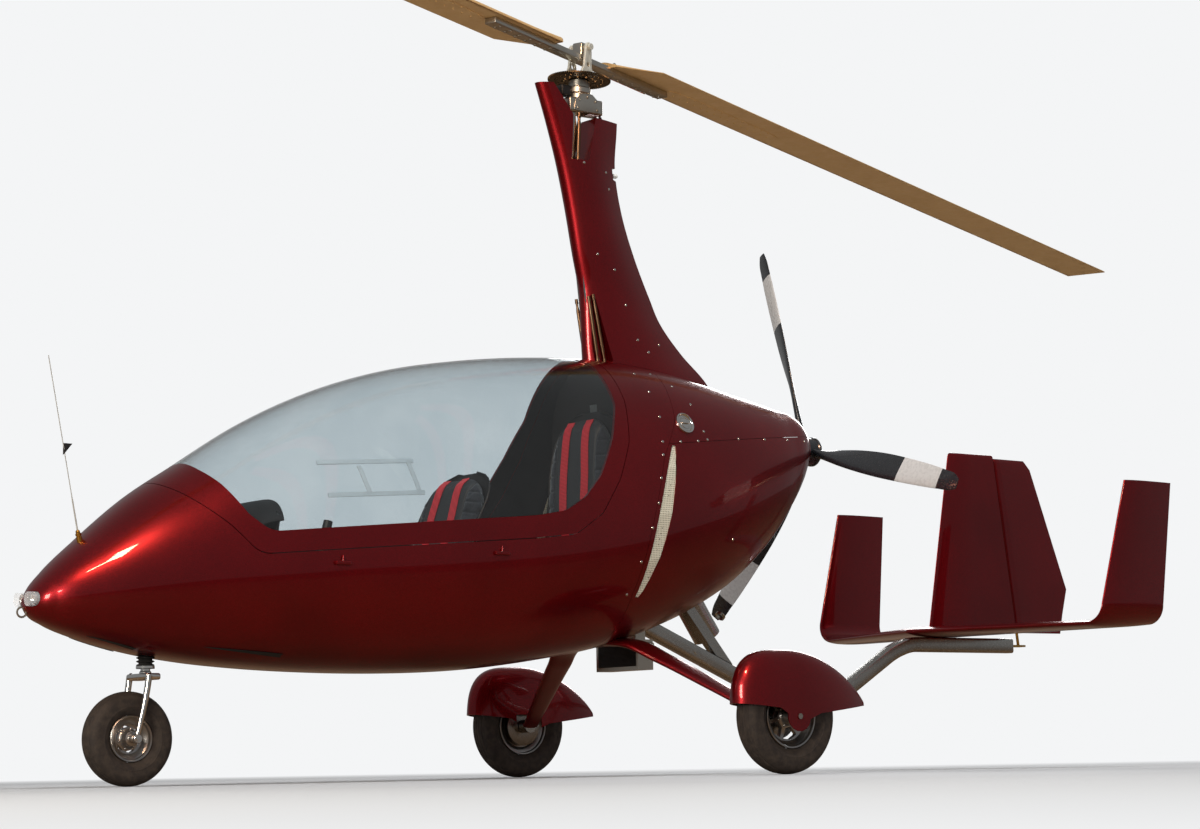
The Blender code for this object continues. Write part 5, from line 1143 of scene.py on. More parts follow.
def makeTyre(word):
    # superellipse round a ring: |y / half|^n + |(r - middle) / reach|^n = 1, with narrow grooves pressed
    # into the tread
    wheel = wheels[word]
    outer, rim, half = wheel["radius"], wheel["rim"], wheel["half"]
    a = np.concatenate([np.linspace(-0.62 * np.pi, -0.25 * np.pi, 26, endpoint=False),
                        np.linspace(-0.25 * np.pi, 0.25 * np.pi, 120, endpoint=False),
                        np.linspace(0.25 * np.pi, 0.62 * np.pi, 27)])
    c, s = np.cos(a), np.sin(a)
    middle, reach = (outer + rim) / 2, (outer - rim) / 2
    y = half * signedPower(s, 0.86)
    radius = middle + reach * signedPower(c, 0.74)
    offsets = np.array(treads["grooves"])[:, None] * half
    groove = np.exp(-((y - offsets) / treads["width"])**4).max(axis=0)
    radius = radius - np.where(c > 0.3, groove, 0.0) * treads["depth"]
    radius = np.maximum(radius, rim + 0.0006)
    # raised ring on each side wall
    ridge = np.exp(-((radius - middle + reach * 0.30) / 0.0022)**2) * 0.0012
    profile = np.stack([radius, y + np.sign(y) * ridge * (np.abs(y) > half * 0.6)], -1)
    inside = [(rim + 0.0006, half * 0.55), (rim + 0.0006, -half * 0.55)]
    tyre = turnedPiece("tyre" + word.title(), np.concatenate([profile, inside]), wheel["centre"], (0, 1, 0),
                       wheel["body"], 128, closed=True)
    dress(tyre, "tyre")
    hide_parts("tyre_" + word)


def rimProfile(rim, half):
    # closed section from the bore round the hub, disc, barrel and both rolled lips; heights are towards the
    # outer side
    wide = half * 0.66
    well = rim - 0.020
    return np.array([
        (0.0104, half * 0.80), (0.020, half * 0.80), (0.024, half * 0.76), (0.026, 0.016), (0.030, 0.008),
                     (0.036, 0.004), (well - 0.012, 0.004),
        (well - 0.007, 0.006), (well - 0.0045, 0.011), (rim - 0.0095, wide - 0.010),
                     (rim - 0.0085, wide - 0.003), (rim - 0.0065, wide),
        (rim - 0.0020, wide + 0.0012), (rim, wide - 0.0006), (rim, wide - 0.003),
                     (rim - 0.0035, wide - 0.0045), (rim - 0.004, wide - 0.012), (well, 0.008),
        (well, -0.008), (rim - 0.004, 0.012 - wide), (rim - 0.0035, 0.0045 - wide), (rim, 0.003 - wide),
                     (rim, 0.0006 - wide),
        (rim - 0.0020, -wide - 0.0012), (rim - 0.0065, -wide), (rim - 0.0085, 0.003 - wide),
                     (rim - 0.0095, 0.010 - wide), (well - 0.0045, -0.020),
        (well - 0.010, -0.014), (0.036, -0.014), (0.030, -0.018), (0.026, -0.024), (0.024, -half * 0.76),
                     (0.020, -half * 0.80), (0.0104, -half * 0.80)])


def makeRim(word, windows=6):
    # cast wheel: turned section, then a ring of rounded windows cut between the spokes, and bolts round the
    # hub
    centre, side, rim, half = (wheels[word][key] for key in ("centre", "side", "rim", "half"))
    profile = rimProfile(rim, half) * [1, side]
    wheel = turnedPiece("castRim" + word.title(), profile, centre, (0, 1, 0), None, 96, closed=True)
    inner, far = 0.040, rim - 0.034
    cutters = []
    for turn in np.arange(windows) * 2 * np.pi / windows + 0.3:
        wide = np.pi / windows - 0.0065 / far
        narrow = max(0.05, np.pi / windows - 0.0075 / inner)
        polar = np.array([(inner, -narrow), (far, -wide), (far + 0.004, 0.0), (far, wide),
                          (inner, narrow)])
        outline = np.stack([centre[0] + polar[:, 0] * np.cos(polar[:, 1] + turn),
                            centre[2] + polar[:, 0] * np.sin(polar[:, 1] + turn)], -1)
        cutters.append(plateCutter("window", roundedOutline(outline, 0.005, 5), centre[1] - 0.022,
                                   centre[1] + 0.012))
    carve(wheel, cutters, 32)
    a = (np.arange(windows) + 0.5) * 2 * np.pi / windows + 0.3
    bolts = np.stack([centre[0] + 0.0335 * np.cos(a), np.full(windows, centre[1] + side * 0.0065),
                      centre[2] + 0.0335 * np.sin(a)], -1)
    nuts = domes("rimBolts", bolts, (0.0, side, 0.0), 0.0048, None, 0.7, 6)
    whole = joined("wheelRim" + word.title(), [wheel, nuts], wheels[word]["body"])
    dress(whole, "alloy")
    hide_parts("rim_" + word)


def makeBrake(word):
    # ground disc on the wheel's inner side, and a caliper of two cheeks and a bridge round its edge
    centre, side = wheels[word]["centre"], wheels[word]["side"]
    section = np.array([(0.0262, -0.0340), (0.074, -0.0340), (0.076, -0.0346), (0.076, -0.0374),
                        (0.074, -0.0380), (0.0262, -0.0380)]) * [1, side]
    disc = turnedPiece("brakeDisc" + word.title(), section, centre, (0, 1, 0), wheels[word]["body"], 72,
                       closed=True)
    dress(disc, "disc")
    sections = []
    for low, high, near, far in ((-0.0330, -0.0255, 0.046, 0.086), (-0.0500, -0.0390, 0.046, 0.086),
            (-0.0500, -0.0255, 0.0785, 0.088)):
        a = np.pi * 0.78 + np.array([-0.34, 0.34, 0.30, -0.30])
        reach = np.array([near, near, far, far])
        outline = np.stack([centre[0] + reach * np.cos(a), centre[2] + reach * np.sin(a)], -1)
        sections.append(plateCutter("cheek", roundedOutline(outline, 0.004, 4),
                                    *sorted((centre[1] + side * low, centre[1] + side * high))))
    cutBy(cutBy(sections[0], sections[1], "UNION"), sections[2], "UNION")
    settle(sections[0], 30)
    discard(sections[1:])
    caliper = joined("brakeCaliper" + word.title(), [sections[0]], "airframe")
    dress(caliper, "milled")


for word in wheels:
    makeTyre(word)
    makeRim(word)
for word in ("port", "starboard"):
    makeBrake(word)
print("stage: wheels made")


propeller = {
    "x": -1.098, "z": 1.262, "radius": 0.865, "blades": 3, "phase": 16.0, "hub": 0.058, "hubHalf": 0.0375,
    # radius share, chord, thickness, pitch angle
    "sections": np.array([
        (0.045, 0.040, 0.036, 62.0), (0.085, 0.044, 0.033, 58.0), (0.12, 0.052, 0.028, 52.0),
                          (0.25, 0.084, 0.019, 41.0), (0.45, 0.104, 0.013, 29.0),
        (0.70, 0.098, 0.009, 21.0), (0.90, 0.078, 0.007, 16.0), (0.97, 0.064, 0.006, 14.6),
                          (1.0, 0.040, 0.0045, 14.0)]),
}


def makePropeller():
    # each blade: aerofoil sections set square to the radius, turned by the pitch angle; hub and boss turned
    # round the shaft
    table = propeller["sections"]
    share = np.concatenate([np.linspace(0.045, 0.94, 56),
                            0.94 + 0.06 * np.sin(np.linspace(0, np.pi / 2, 12))[1:]])
    chord, thick, pitch = (curveThrough(table[:, 0], table[:, column], share) for column in (1, 2, 3))
    chord = np.maximum(chord, 0.012)
    u = (1 - np.cos(np.linspace(0, np.pi, 22))) / 2
    profile = np.concatenate([np.stack([0.38 - u, wingShape(u) * 0.62], -1),
                              np.stack([0.38 - u, -wingShape(u) * 0.38], -1)[-2:0:-1]])
    across, through = chord[:, None] * profile[:, 0], thick[:, None] * profile[:, 1] * 2.0
    turn = np.radians(pitch)[:, None]
    sideways = across * np.cos(turn) - through * np.sin(turn)
    axial = across * np.sin(turn) + through * np.cos(turn)
    along = np.broadcast_to(share[:, None] * propeller["radius"], sideways.shape)
    pieces = []
    for k in range(propeller["blades"]):
        a = math.radians(propeller["phase"] + 360 / propeller["blades"] * k)
        y = sideways * math.cos(a) - along * math.sin(a)
        z = sideways * math.sin(a) + along * math.cos(a)
        pieces.append(gridPiece("blade", np.stack([propeller["x"] + axial, y, propeller["z"] + z], -1), None,
                                caps=True))
    hub, half = propeller["hub"], propeller["hubHalf"]
    centre = (propeller["x"], 0.0, propeller["z"])
    body = [(0.0, half + 0.120), (0.030, half + 0.120), (0.030, half + 0.002), (hub - 0.006, half),
            (hub, half - 0.006), (hub, 0.024), (hub - 0.004, 0.020), (hub - 0.004, -0.020),
            (hub, -0.024), (hub, 0.006 - half), (hub - 0.006, -half), (0.034, -half - 0.002),
            (0.030, -half - 0.014), (0.022, -half - 0.026), (0.010, -half - 0.030), (0.0, -half - 0.030)]
    pieces.append(turnedPiece("hub", body, centre, (1, 0, 0), None, 56))
    a = np.arange(6) * np.pi / 3 + 0.4
    bolts = np.stack([np.full(6, propeller["x"] - half - 0.002), 0.044 * np.cos(a),
                      propeller["z"] + 0.044 * np.sin(a)], -1)
    pieces.append(domes("hubBolts", bolts, (-1.0, 0.0, 0.0), 0.006, None, 0.9, 6))
    whole = joined("pusherPropeller", pieces, "propeller", 40)
    dress(whole, "propeller")
    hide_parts("propeller")


makePropeller()
print("stage: propeller made")


head = {
    # degrees: spindle leaning aft, aft blade towards starboard
    "bolt": np.array([-0.012, 0.0, 2.746]), "tilt": 4.0, "turn": 17.0,
    "ringBelow": -0.125, "ringRadius": 0.120, "ringHalf": 0.004, "ringHoles": 24, "teeth": 84,
    "towerGap": 0.031, "towerThick": 0.010, "crown": 0.018, "barTop": -0.032, "barHalf": (0.55, 0.025),
        "barThick": 0.024,
    "chord": 0.205, "noseShare": 0.25, "thick": 0.026, "root": 0.175, "chamfer": 0.16, "rootShare": 0.30,
        "radius": 4.20,
}
lean, swing = math.radians(head["tilt"]), math.radians(head["turn"])
spindle = np.array([-math.sin(lean), 0.0, math.cos(lean)])
span = np.array([-math.cos(lean), 0.0,
                 -math.sin(lean)]) * math.cos(swing) + np.array([0.0, -1.0, 0.0]) * math.sin(swing)
headAxes = np.stack([span, np.cross(spindle, span), spindle])


def inHead(points):
    # span, chord and height from the teeter bolt turned into the object's own frame
    return head["bolt"] + np.asarray(points, dtype=float) @ headAxes


def moveToHead(piece):
    setCoords(piece.data, inHead(coordsOf(piece.data)))
    return piece


# sides of a block whose corners run through z, then y, then x
blockFaces = ((0, 1, 3, 2), (4, 6, 7, 5), (0, 4, 5, 1), (2, 3, 7, 6), (0, 2, 6, 4), (1, 5, 7, 3))


def roundedBlock(name, low, high, bevel, body=None):
    # a block whose edges are rounded by a bevel of three steps
    low, high = np.asarray(low, dtype=float), np.asarray(high, dtype=float)
    corners = np.array([(x, y, z) for x in (0, 1) for y in (0, 1) for z in (0, 1)]) * (high - low) + low
    block = newPiece(name, corners, blockFaces, body)
    facesOut(block)
    return bevelled(block, bevel, 3, 50)


def bladeGrid(side, count=34):
    # flat underneath; above it the thickness rises as an aerofoil from the nose to the trailing edge
    nose, tail = head["chord"] * head["noseShare"], head["chord"] * (1 - head["noseShare"])
    r = np.concatenate([np.linspace(head["root"], head["root"] + head["chamfer"], 12),
                        np.linspace(0.36, 4.16, 44), [4.175, 4.188, 4.196, head["radius"]]])
    share = head["rootShare"] + (1 - head["rootShare"]) * np.clip((r - head["root"]) / head["chamfer"], 0, 1)
    share = share * np.interp(r, [4.16, 4.188, 4.2], [1.0, 0.992, 0.975])
    u = (1 - np.cos(np.linspace(0, np.pi, count))) / 2
    foil = 2.969 * np.sqrt(u) - 1.26 * u - 3.516 * u**2 + 2.843 * u**3 - 1.015 * u**4
    rise = 0.0022 + (head["thick"] - 0.0022) * np.maximum(0.0, foil)
    y = nose - (nose + tail * share[:, None]) * u
    base = head["barTop"] + 0.0003
    upper = spread(r[:, None], y, base + rise)
    lower = spread(r[:, None], y[:, ::-1], np.full(count, base))
    lower[:, -1, 1] -= 0.010
    grid = np.concatenate([upper, lower], axis=1)
    return grid * [side, side, 1]


def boltRows(name, spots, down, size, body):
    # hexagon bolt heads that stand on a surface, given by span and chord in the head's frame
    places = inHead(spots)
    return domes(name, places, -spindle if down else spindle, size, body, 0.8, 6)


def makeBlade(node, side):
    blade = gridPiece("extrudedBlade" + ("Aft" if side > 0 else "Fore"), inHead(bladeGrid(side)), "rotor",
                      caps=True)
    sharpen(blade, 40)
    dress(blade, "blade")
    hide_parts(node)
    # long doubler under the root: a flat strip with round ends, riveted along both edges
    a = circle(64)
    middle, long, wide = np.array([0.945, -0.034]), 0.40, 0.027
    outline = middle + np.stack([signedPower(np.cos(a), 0.35) * long, np.sin(a) * wide], -1)
    low, high = head["barTop"] - 0.0022, head["barTop"] + 0.0002
    rings = np.stack([np.column_stack([outline * [side, side], np.full(64, z)])
                      for z in (low, low + 0.0008, high)])
    rings[0, :, :2] = ((outline - middle) * [0.998, 0.96] + middle) * side
    strip = gridPiece("bladeDoubler", inHead(rings), None, caps=True)
    along = np.linspace(0.60, 1.29, 15)
    rivets = [(side * x, side * y, low - 0.0004) for x in along for y in (-0.015, -0.053)]
    heads = boltRows("doublerRivets", rivets, True, 0.0036, None)
    whole = joined("rootDoubler" + ("Aft" if side > 0 else "Fore"), [strip, heads], "rotor")
    dress(whole, "blade")


def makeHubBar():
    # milled bar with bevelled edges, an ear round the teeter bolt, and two rows of through bolts on each arm
    half, wide = head["barHalf"]
    top, low = head["barTop"], head["barTop"] - head["barThick"]
    bar = roundedBlock("bar", (-half, -wide, low), (half, wide, top), 0.003)
    ear = roundedBlock("ear", (-0.022, -0.023, low + 0.002), (0.022, 0.023, head["crown"]), 0.006)
    cutBy(bar, ear, "UNION")
    settle(bar, 40)
    discard([ear])
    moveToHead(bar)
    spots = [(side * x, y, low - 0.0006) for side in (-1, 1)
             for x in (0.205, 0.265, 0.325, 0.385, 0.445, 0.505) for y in (-0.012, 0.012)]
    below = boltRows("barBolts", spots, True, 0.0072, None)
    nuts = [(*spot[:2], head["barTop"] + 0.0225) for spot in spots]
    above = boltRows("barNuts", nuts, False, 0.0066, None)
    whole = joined("teeteringHubBar", [bar, below, above], "rotor")
    dress(whole, "milled")
    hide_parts("hub_bar")


def makeOrangeGlint():
    # folded orange sheet over the aft blade's root: a painted orange glint of the sun
    fold = np.array([(0.225, 0.052), (0.30, 0.060), (0.47, 0.052)])
    rows = [np.column_stack([fold, np.full(3, head["barTop"] - 0.001)]),
            np.column_stack([fold * [1, 0] + [0, 0.030], np.full(3, head["barTop"] - 0.022)])]
    grid = inHead(smoothRows(np.array(rows), 10))
    orangeGlint = gridPiece("orangeGlintSheet", grid, "rotor", closedColumns=False)
    thicken(orangeGlint, 0.0018, 0.0, 40)
    dress(orangeGlint, "orangeGlint")


def smoothRows(grid, count):
    # more points between the columns of a coarse grid, on smooth curves
    return np.stack([smoothPath(row, count) for row in grid])


def makeTowers():
    # two tapering plates with round heads on a bolted foot plate, and the teeter bolt with its nuts
    gap, thick = head["towerGap"], head["towerThick"]
    base = head["ringBelow"] + head["ringHalf"]
    a = np.linspace(0.1, np.pi - 0.1, 17)
    crown = np.stack([0.0175 * np.cos(a), 0.0005 + 0.0175 * np.sin(a)], -1)
    outline = np.concatenate([[(-0.040, base + 0.006), (0.040, base + 0.006), (0.036, base + 0.020),
                               (0.023, base + 0.045)], crown,
                              [(-0.023, base + 0.045), (-0.036, base + 0.020)]])
    pieces = []
    for side in (-1, 1):
        cheek = plateCutter("cheek", outline, *sorted((side * gap, side * (gap + thick))))
        window = roundCutter("window", (0.0, side * (gap - 0.01), base + 0.052),
                             (0.0, side * (gap + thick + 0.01), base + 0.052), 0.0095, 28)
        cutBy(cheek, window)
        bevelled(cheek, 0.0016, 2, 40)
        discard([window])
        pieces.append(moveToHead(cheek))
    reach = gap + thick
    foot = roundedBlock("foot", (-0.040, -reach, base + 0.0003), (0.040, reach, base + 0.012), 0.002)
    shank = [(0, -0.053), (0.012, -0.053), (0.012, -0.043), (0.008, -0.042), (0.008, 0.042), (0.012, 0.043),
             (0.012, 0.050), (0.009, 0.053), (0, 0.053)]
    bolt = turnedPiece("teeterBolt", shank, (0, 0, 0), (0, 1, 0), None, 24)
    pieces += [moveToHead(foot), moveToHead(bolt)]
    spots = [(x, y, base + 0.0125) for x in (-0.031, 0.031) for y in (-0.024, 0.024)]
    pieces.append(boltRows("footBolts", spots, False, 0.0058, None))
    whole = joined("teeterTowers", pieces, "rotor_spindle", 40)
    dress(whole, "anodised")
    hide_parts("rotor_towers")


def makeRingGear():
    # toothed outline: the radius swings between root and tip with a flattened wave; then two rings of holes
    count = head["teeth"] * 8
    a = circle(count)
    wave = np.clip(np.sin(a * head["teeth"]) * 2.2, -1, 1)
    rim = head["ringRadius"] - 0.0022 + wave * 0.0022
    low, high = head["ringBelow"] - head["ringHalf"], head["ringBelow"] + head["ringHalf"]
    rings = [(np.full(count, 0.020), high), (rim - 0.006, high), (rim, high - 0.001), (rim, low + 0.001),
             (rim - 0.006, low), (np.full(count, 0.020), low)]
    grid = np.stack([np.stack([radius * np.cos(a), radius * np.sin(a), np.full(count, z)], -1) for radius,
                     z in rings])
    gear = gridPiece("gear", grid, None, closedRows=True)
    drills = []
    for radius, holes, size in ((0.089, head["ringHoles"], 0.0082), (0.060, 12, 0.0105)):
        for turn in np.arange(holes) * 2 * np.pi / holes:
            x, y = radius * math.cos(turn), radius * math.sin(turn)
            drills.append(roundCutter("drill", (x, y, low - 0.01), (x, y, high + 0.01), size, 14))
    drill = joined("drills", drills, None)
    drill.hide_render = True
    carve(gear, [drill], 30)
    moveToHead(gear)
    hub = [(0.0, high + 0.0002), (0.046, high + 0.0002), (0.046, low - 0.0002), (0.0, low - 0.0002)]
    plate = turnedPiece("plate", hub, (0, 0, 0), (0, 0, 1), None, 48)
    whole = joined("ringGear", [gear, moveToHead(plate)], "rotor_spindle", 30)
    dress(whole, "bronzed")
    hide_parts("prerotator_ring")


def makeHeadBlock():
    # milled gimbal block, turned bearing housing with a flange, side plates with bolts, and a black drive
    # pinion housing
    low = 2.4873
    block = roundedBlock("block", (-0.0905, -0.034, low), (0.0665, 0.034, low + 0.058), 0.007)
    waist = roundCutter("waist", (-0.012, -0.05, low + 0.008), (-0.012, 0.05, low + 0.008), 0.017, 32)
    carve(block, [waist], 40)
    foot = head["bolt"] + spindle * (low + 0.030 - head["bolt"][2])
    height = head["ringBelow"] - head["ringHalf"] - 0.0008 - (low + 0.030 - head["bolt"][2])
    turned = [(0, 0), (0.040, 0), (0.040, height * 0.42), (0.047, height * 0.48), (0.047, height * 0.66),
              (0.041, height * 0.72), (0.041, height - 0.004), (0.036, height), (0, height)]
    housing = turnedPiece("housing", turned, foot, spindle, None, 64)
    pieces = [block, housing]
    for side in (-1, 1):
        outline = roundedOutline([(-0.074, low + 0.004), (0.050, low + 0.004), (0.040, low + 0.052),
                                  (0.012, low + 0.074), (-0.036, low + 0.074), (-0.064, low + 0.050)], 0.010,
                                 5)
        cheek = plateCutter("cheek", outline, *sorted((side * 0.0335, side * 0.0395)))
        pieces.append(bevelled(cheek, 0.001, 2, 40))
        spots = np.array([(-0.058, side * 0.0398, low + 0.016), (0.034, side * 0.0398, low + 0.016),
                          (-0.050, side * 0.0398, low + 0.048), (0.026, side * 0.0398, low + 0.048),
                          (-0.012, side * 0.0398, low + 0.060)])
        pieces.append(domes("blockBolts", spots, (0.0, side, 0.0), 0.0055, None, 0.8, 6))
    whole = joined("gimbalBlock", pieces, "airframe", 40)
    dress(whole, "milled")
    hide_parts("rotor_head_block")
    pinion = roundedBlock("pinionHousing", (0.046, -0.020, low + 0.062), (0.092, 0.020, low + 0.104), 0.006,
                          "airframe")
    dress(pinion, "plastic")


def makeRod(name, node, foot, top, radius):
    # drawn tube with a tapered sleeve, lock nut and round eye at each end
    foot, top = np.asarray(foot, dtype=float), np.asarray(top, dtype=float)
    length = np.linalg.norm(top - foot)
    share = np.array([0.0, 0.010, 0.0101, 0.018, 0.0181, 0.030, 0.045]) / length
    size = np.array([0.92, 0.92, 1.0, 1.0, 0.72, 0.72, 1.0]) * radius
    profile = np.concatenate([[(0.0, 0.0)], np.stack([size, share * length], -1),
                              np.stack([size, (1 - share) * length], -1)[::-1], [(0.0, length)]])
    rod = turnedPiece(name, profile, foot, top - foot, None, 28)
    whole = joined(name, [rod], "airframe", 40)
    dress(whole, "rod")
    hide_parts(node)


def makeControls():
    for word, side in (("port", 1), ("starboard", -1)):
        makeRod("pushRod" + word.title(), "control_rod_" + word, (0.0350, side * 0.036, 2.3006),
                (0.0193, side * 0.028, 2.4866), 0.008)
        for place, foot, top in (("front", (-0.044, 1.520), (0.001, 1.800)),
                                 ("rear", (-0.077, 1.520), (-0.021, 1.800))):
            ends = [np.array([foot[0] + (top[0] - foot[0]) * share, side * 0.0388,
                              foot[1] + (top[1] - foot[1]) * share])
                    for share in (0.060, 0.945 if place == "front" else 0.98)]
            makeRod("lowerRod" + place.title() + word.title(), f"lower_rod_{place}_{word}", ends[0], ends[1],
                    0.0065)
    # thin cables from the block's rear down into the fairing, and the nylon plug in its notch
    for k, (x, y) in enumerate(((-0.078, 0.020), (-0.078, -0.016), (-0.086, 0.004))):
        path = smoothPath([(x, y, 2.500), (x - 0.006, y, 2.488), (x - 0.014, y * 0.9, 2.476),
                           (x - 0.018, y * 0.85, 2.455)], 12)
        dress(tube("headCable" + str(k + 1), path, 0.0032, "airframe", 12), "jacket")
    turned = [(0, 0), (0.007, 0), (0.009, 0.004), (0.009, 0.014), (0.006, 0.020), (0.0, 0.021)]
    plug = turnedPiece("breatherPlug", turned, (-0.155, 0.0, 2.268), (-1, 0, 0), "airframe", 32)
    dress(plug, "plug")


makeBlade("rotor_blade_aft", 1)
makeBlade("rotor_blade_fore", -1)
makeHubBar()
makeOrangeGlint()
makeTowers()
makeRingGear()
makeHeadBlock()
makeControls()
print("stage: rotor and head made")


seats = {
    # middle lines, x and height: back pad low and high, seat pad rear and front,
    # shell path from the top down and forward
    "front": {"back": ((0.668, 0.705), (0.556, 1.075)), "pad": ((0.790, 0.566), (1.140, 0.598)),
              "foot": (0.76, 1.06, 0.522),
              "shell": ((0.516, 1.092), (0.585, 0.860), (0.640, 0.670), (0.668, 0.580), (0.740, 0.532),
                        (0.880, 0.514), (1.150, 0.556))},
    "rear": {"back": ((0.026, 0.790), (-0.004, 1.330)), "pad": ((0.150, 0.648), (0.478, 0.678)),
             "foot": (0.10, 0.40, 0.602),
             "shell": ((-0.040, 1.352), (-0.028, 1.060), (-0.010, 0.760), (0.012, 0.665), (0.080, 0.612),
                       (0.220, 0.594), (0.490, 0.636))},
    "halfWidth": 0.196, "backThick": 0.030, "padThick": 0.033, "shellThick": 0.005, "wing": 0.050,
         "webbing": 0.044,
}
cushions = {"voxel": 0.006, "pressure": 4.0, "frames": 20, "capBack": 0.009, "capSeat": 0.010}


def padPoints(low, high, half, thick, narrow, square, rows=28, columns=96):
    # superellipsoid set on the line from low to high: outline |u|^n + |v|^n = 1, thickness falling as a
    # circle to its edge
    low, high = np.array([low[0], 0.0, low[1]]), np.array([high[0], 0.0, high[1]])
    along = high - low
    length = np.linalg.norm(along)
    along /= length
    out = np.array([along[2], 0.0, -along[0]])
    phi = np.linspace(-np.pi / 2, np.pi / 2, rows)[:, None]
    theta = circle(columns)[None, :]
    ring = np.cos(phi)**0.38
    u = ring * signedPower(np.cos(theta), 2 / square)
    v = ring * signedPower(np.sin(theta), 2 / square)
    w = signedPower(np.sin(phi), 0.9) * thick + 0 * theta
    wide = half * (1 - narrow * np.clip(v, 0, 1)**2)
    w = w + np.where(w > 0, 0.010, 0.004) * u**2
    points = ((low + high) / 2 + (u * wide)[..., None] * [0, 1, 0]
              + (v * length / 2)[..., None] * along + w[..., None] * out)
    return points, along, out


def inflate(piece, cap):
    # voxel mesh, then cloth blown up from inside, each point held within cap of its place; one subdivision
    # at the end
    voxels = piece.modifiers.new("voxels", "REMESH")
    voxels.mode, voxels.voxel_size = "VOXEL", cushions["voxel"]
    settle(piece, 80)
    start = coordsOf(piece.data)
    cloth = piece.modifiers.new("cloth", "CLOTH")
    cloth.settings.use_pressure = True
    cloth.settings.uniform_pressure_force = cushions["pressure"]
    cloth.settings.effector_weights.gravity = 0.0
    cloth.settings.quality = 4
    for frameNumber in range(1, cushions["frames"] + 1):
        scene.frame_set(frameNumber)
    shaped = piece.evaluated_get(bpy.context.evaluated_depsgraph_get()).data
    move = coordsOf(shaped) - start
    piece.modifiers.clear()
    scene.frame_set(1)
    length = np.linalg.norm(move, axis=1, keepdims=True)
    setCoords(piece.data, start + move * np.minimum(1.0, cap / np.maximum(length, 1e-9)))
    smoother = piece.modifiers.new("smooth", "SUBSURF")
    smoother.levels = smoother.render_levels = 1
    return settle(piece, 80)


def sewChannels(piece, origin, along, out, lines, border, depth, width):
    # stitched valleys: each point sinks near the border line down either side, and outside it near a line
    # across
    points = coordsOf(piece.data)
    v, u, w = (points - origin) @ along, np.abs(points[:, 1]), (points - origin) @ out
    down = np.exp(-((u - border) / width)**2)
    across = np.exp(-((v[:, None] - np.array(lines)) / width)**2).max(axis=1) * (u > border)
    sink = np.maximum(down, across) * depth * np.sign(w) * (np.abs(w) > 0.004)
    setCoords(piece.data, points - sink[:, None] * out)


def twoTone(piece, inner, outer, border):
    # middle panel of one cloth between the side seams, bolsters of another
    count = len(piece.data.polygons)
    centres = np.empty(count * 3)
    piece.data.polygons.foreach_get("center", centres)
    piece.data.materials.clear()
    piece.data.materials.append(materials[inner])
    piece.data.materials.append(materials[outer])
    bolster = np.abs(centres.reshape(-1, 3)[:, 1]) > border
    piece.data.polygons.foreach_set("material_index", bolster.astype(np.int32))
    piece.data.update()


def makeCushion(name, low, high, half, thick, narrow, square, cap, lines, border):
    points, along, out = padPoints(low, high, half, thick, narrow, square)
    cushion = gridPiece(name, points, "airframe")
    inflate(cushion, cap)
    middle = np.array([(low[0] + high[0]) / 2, 0.0, (low[1] + high[1]) / 2])
    sewChannels(cushion, middle, along, out, lines, border, 0.0045, 0.0045)
    twoTone(cushion, "vinyl", "seat", border)
    return cushion


def makeShell(name, path, foot):
    # laminate bucket: a path down the back and under the pad, with both side edges curling forward as wings
    line = smoothPath(path, 60)
    along = unit(np.gradient(line, axis=0))
    out = np.stack([-along[:, 1], along[:, 0]], -1)
    u = np.linspace(-1, 1, 49)
    share = np.linspace(0, 1, 60)
    # the top end is a superellipse, |1 - s / reach|^n + |width|^n = 1
    crown = (1 - (1 - np.clip(share / 0.15, 0, 1))**2.6)**(1 / 2.6)
    wide = seats["halfWidth"] * np.maximum(0.30, 1.03 * crown - 0.10 * np.exp(-((share - 1) / 0.05)**2))
    ends = np.clip(share / 0.2, 0, 1) * np.clip((1 - share) / 0.25, 0, 1)
    curl = seats["wing"] * np.abs(u)**5 * (0.25 + 0.75 * ends[:, None])
    x, z = (line[:, k:k + 1] + curl * out[:, k:k + 1] for k in (0, 1))
    y = wide[:, None] * signedPower(u, 0.9)
    shell = gridPiece(name + "Sheet", np.stack([x, y, z], -1), None, closedColumns=False)
    thicken(shell, seats["shellThick"], 0.0, 50)
    behind, ahead, top = foot
    block = roundedBlock(name + "Foot", (behind, -0.10, top - 0.118), (ahead, 0.10, top), 0.012)
    whole = joined(name, [shell, block], "airframe", 40)
    return dress(whole, "lining")


def beltRibbon(name, target, path, wide, lift=0.0022):
    # webbing laid on the pad: each point of the path is dropped onto the pad's face, then made a flat strip
    path = smoothPath(path, 44)
    along = unit(np.gradient(path[:, :3], axis=0))
    drop = path[:, 3:6] / np.linalg.norm(path[:, 3:6], axis=1)[:, None]
    across = unit(np.cross(along, drop))
    rows = []
    for spot, way, side in zip(path[:, :3], drop, across):
        row = []
        for shift in (-0.5, 0.0, 0.5):
            start = spot + side * wide * shift
            struck, place = target.ray_cast(Vector(start), Vector(way), distance=0.30)[:2]
            row.append(start + way * (((place - Vector(start)).length if struck else 0.12) - lift))
        rows.append(row)
    grid = np.array(rows)
    reach = np.einsum("ijk,ik->ij", grid - path[:, None, :3], drop)
    smooth = np.stack([np.convolve(np.pad(reach[:, k], 3, "edge"), np.ones(7) / 7, "valid")
                       for k in range(3)], -1).mean(axis=1, keepdims=True)
    low = np.minimum(smooth, reach.min(axis=1, keepdims=True))
    grid = grid - (reach - low)[..., None] * drop[:, None]
    strip = gridPiece(name, grid, "airframe", closedColumns=False)
    thicken(strip, 0.0016, 0.0, 50)
    return dress(strip, "belt")


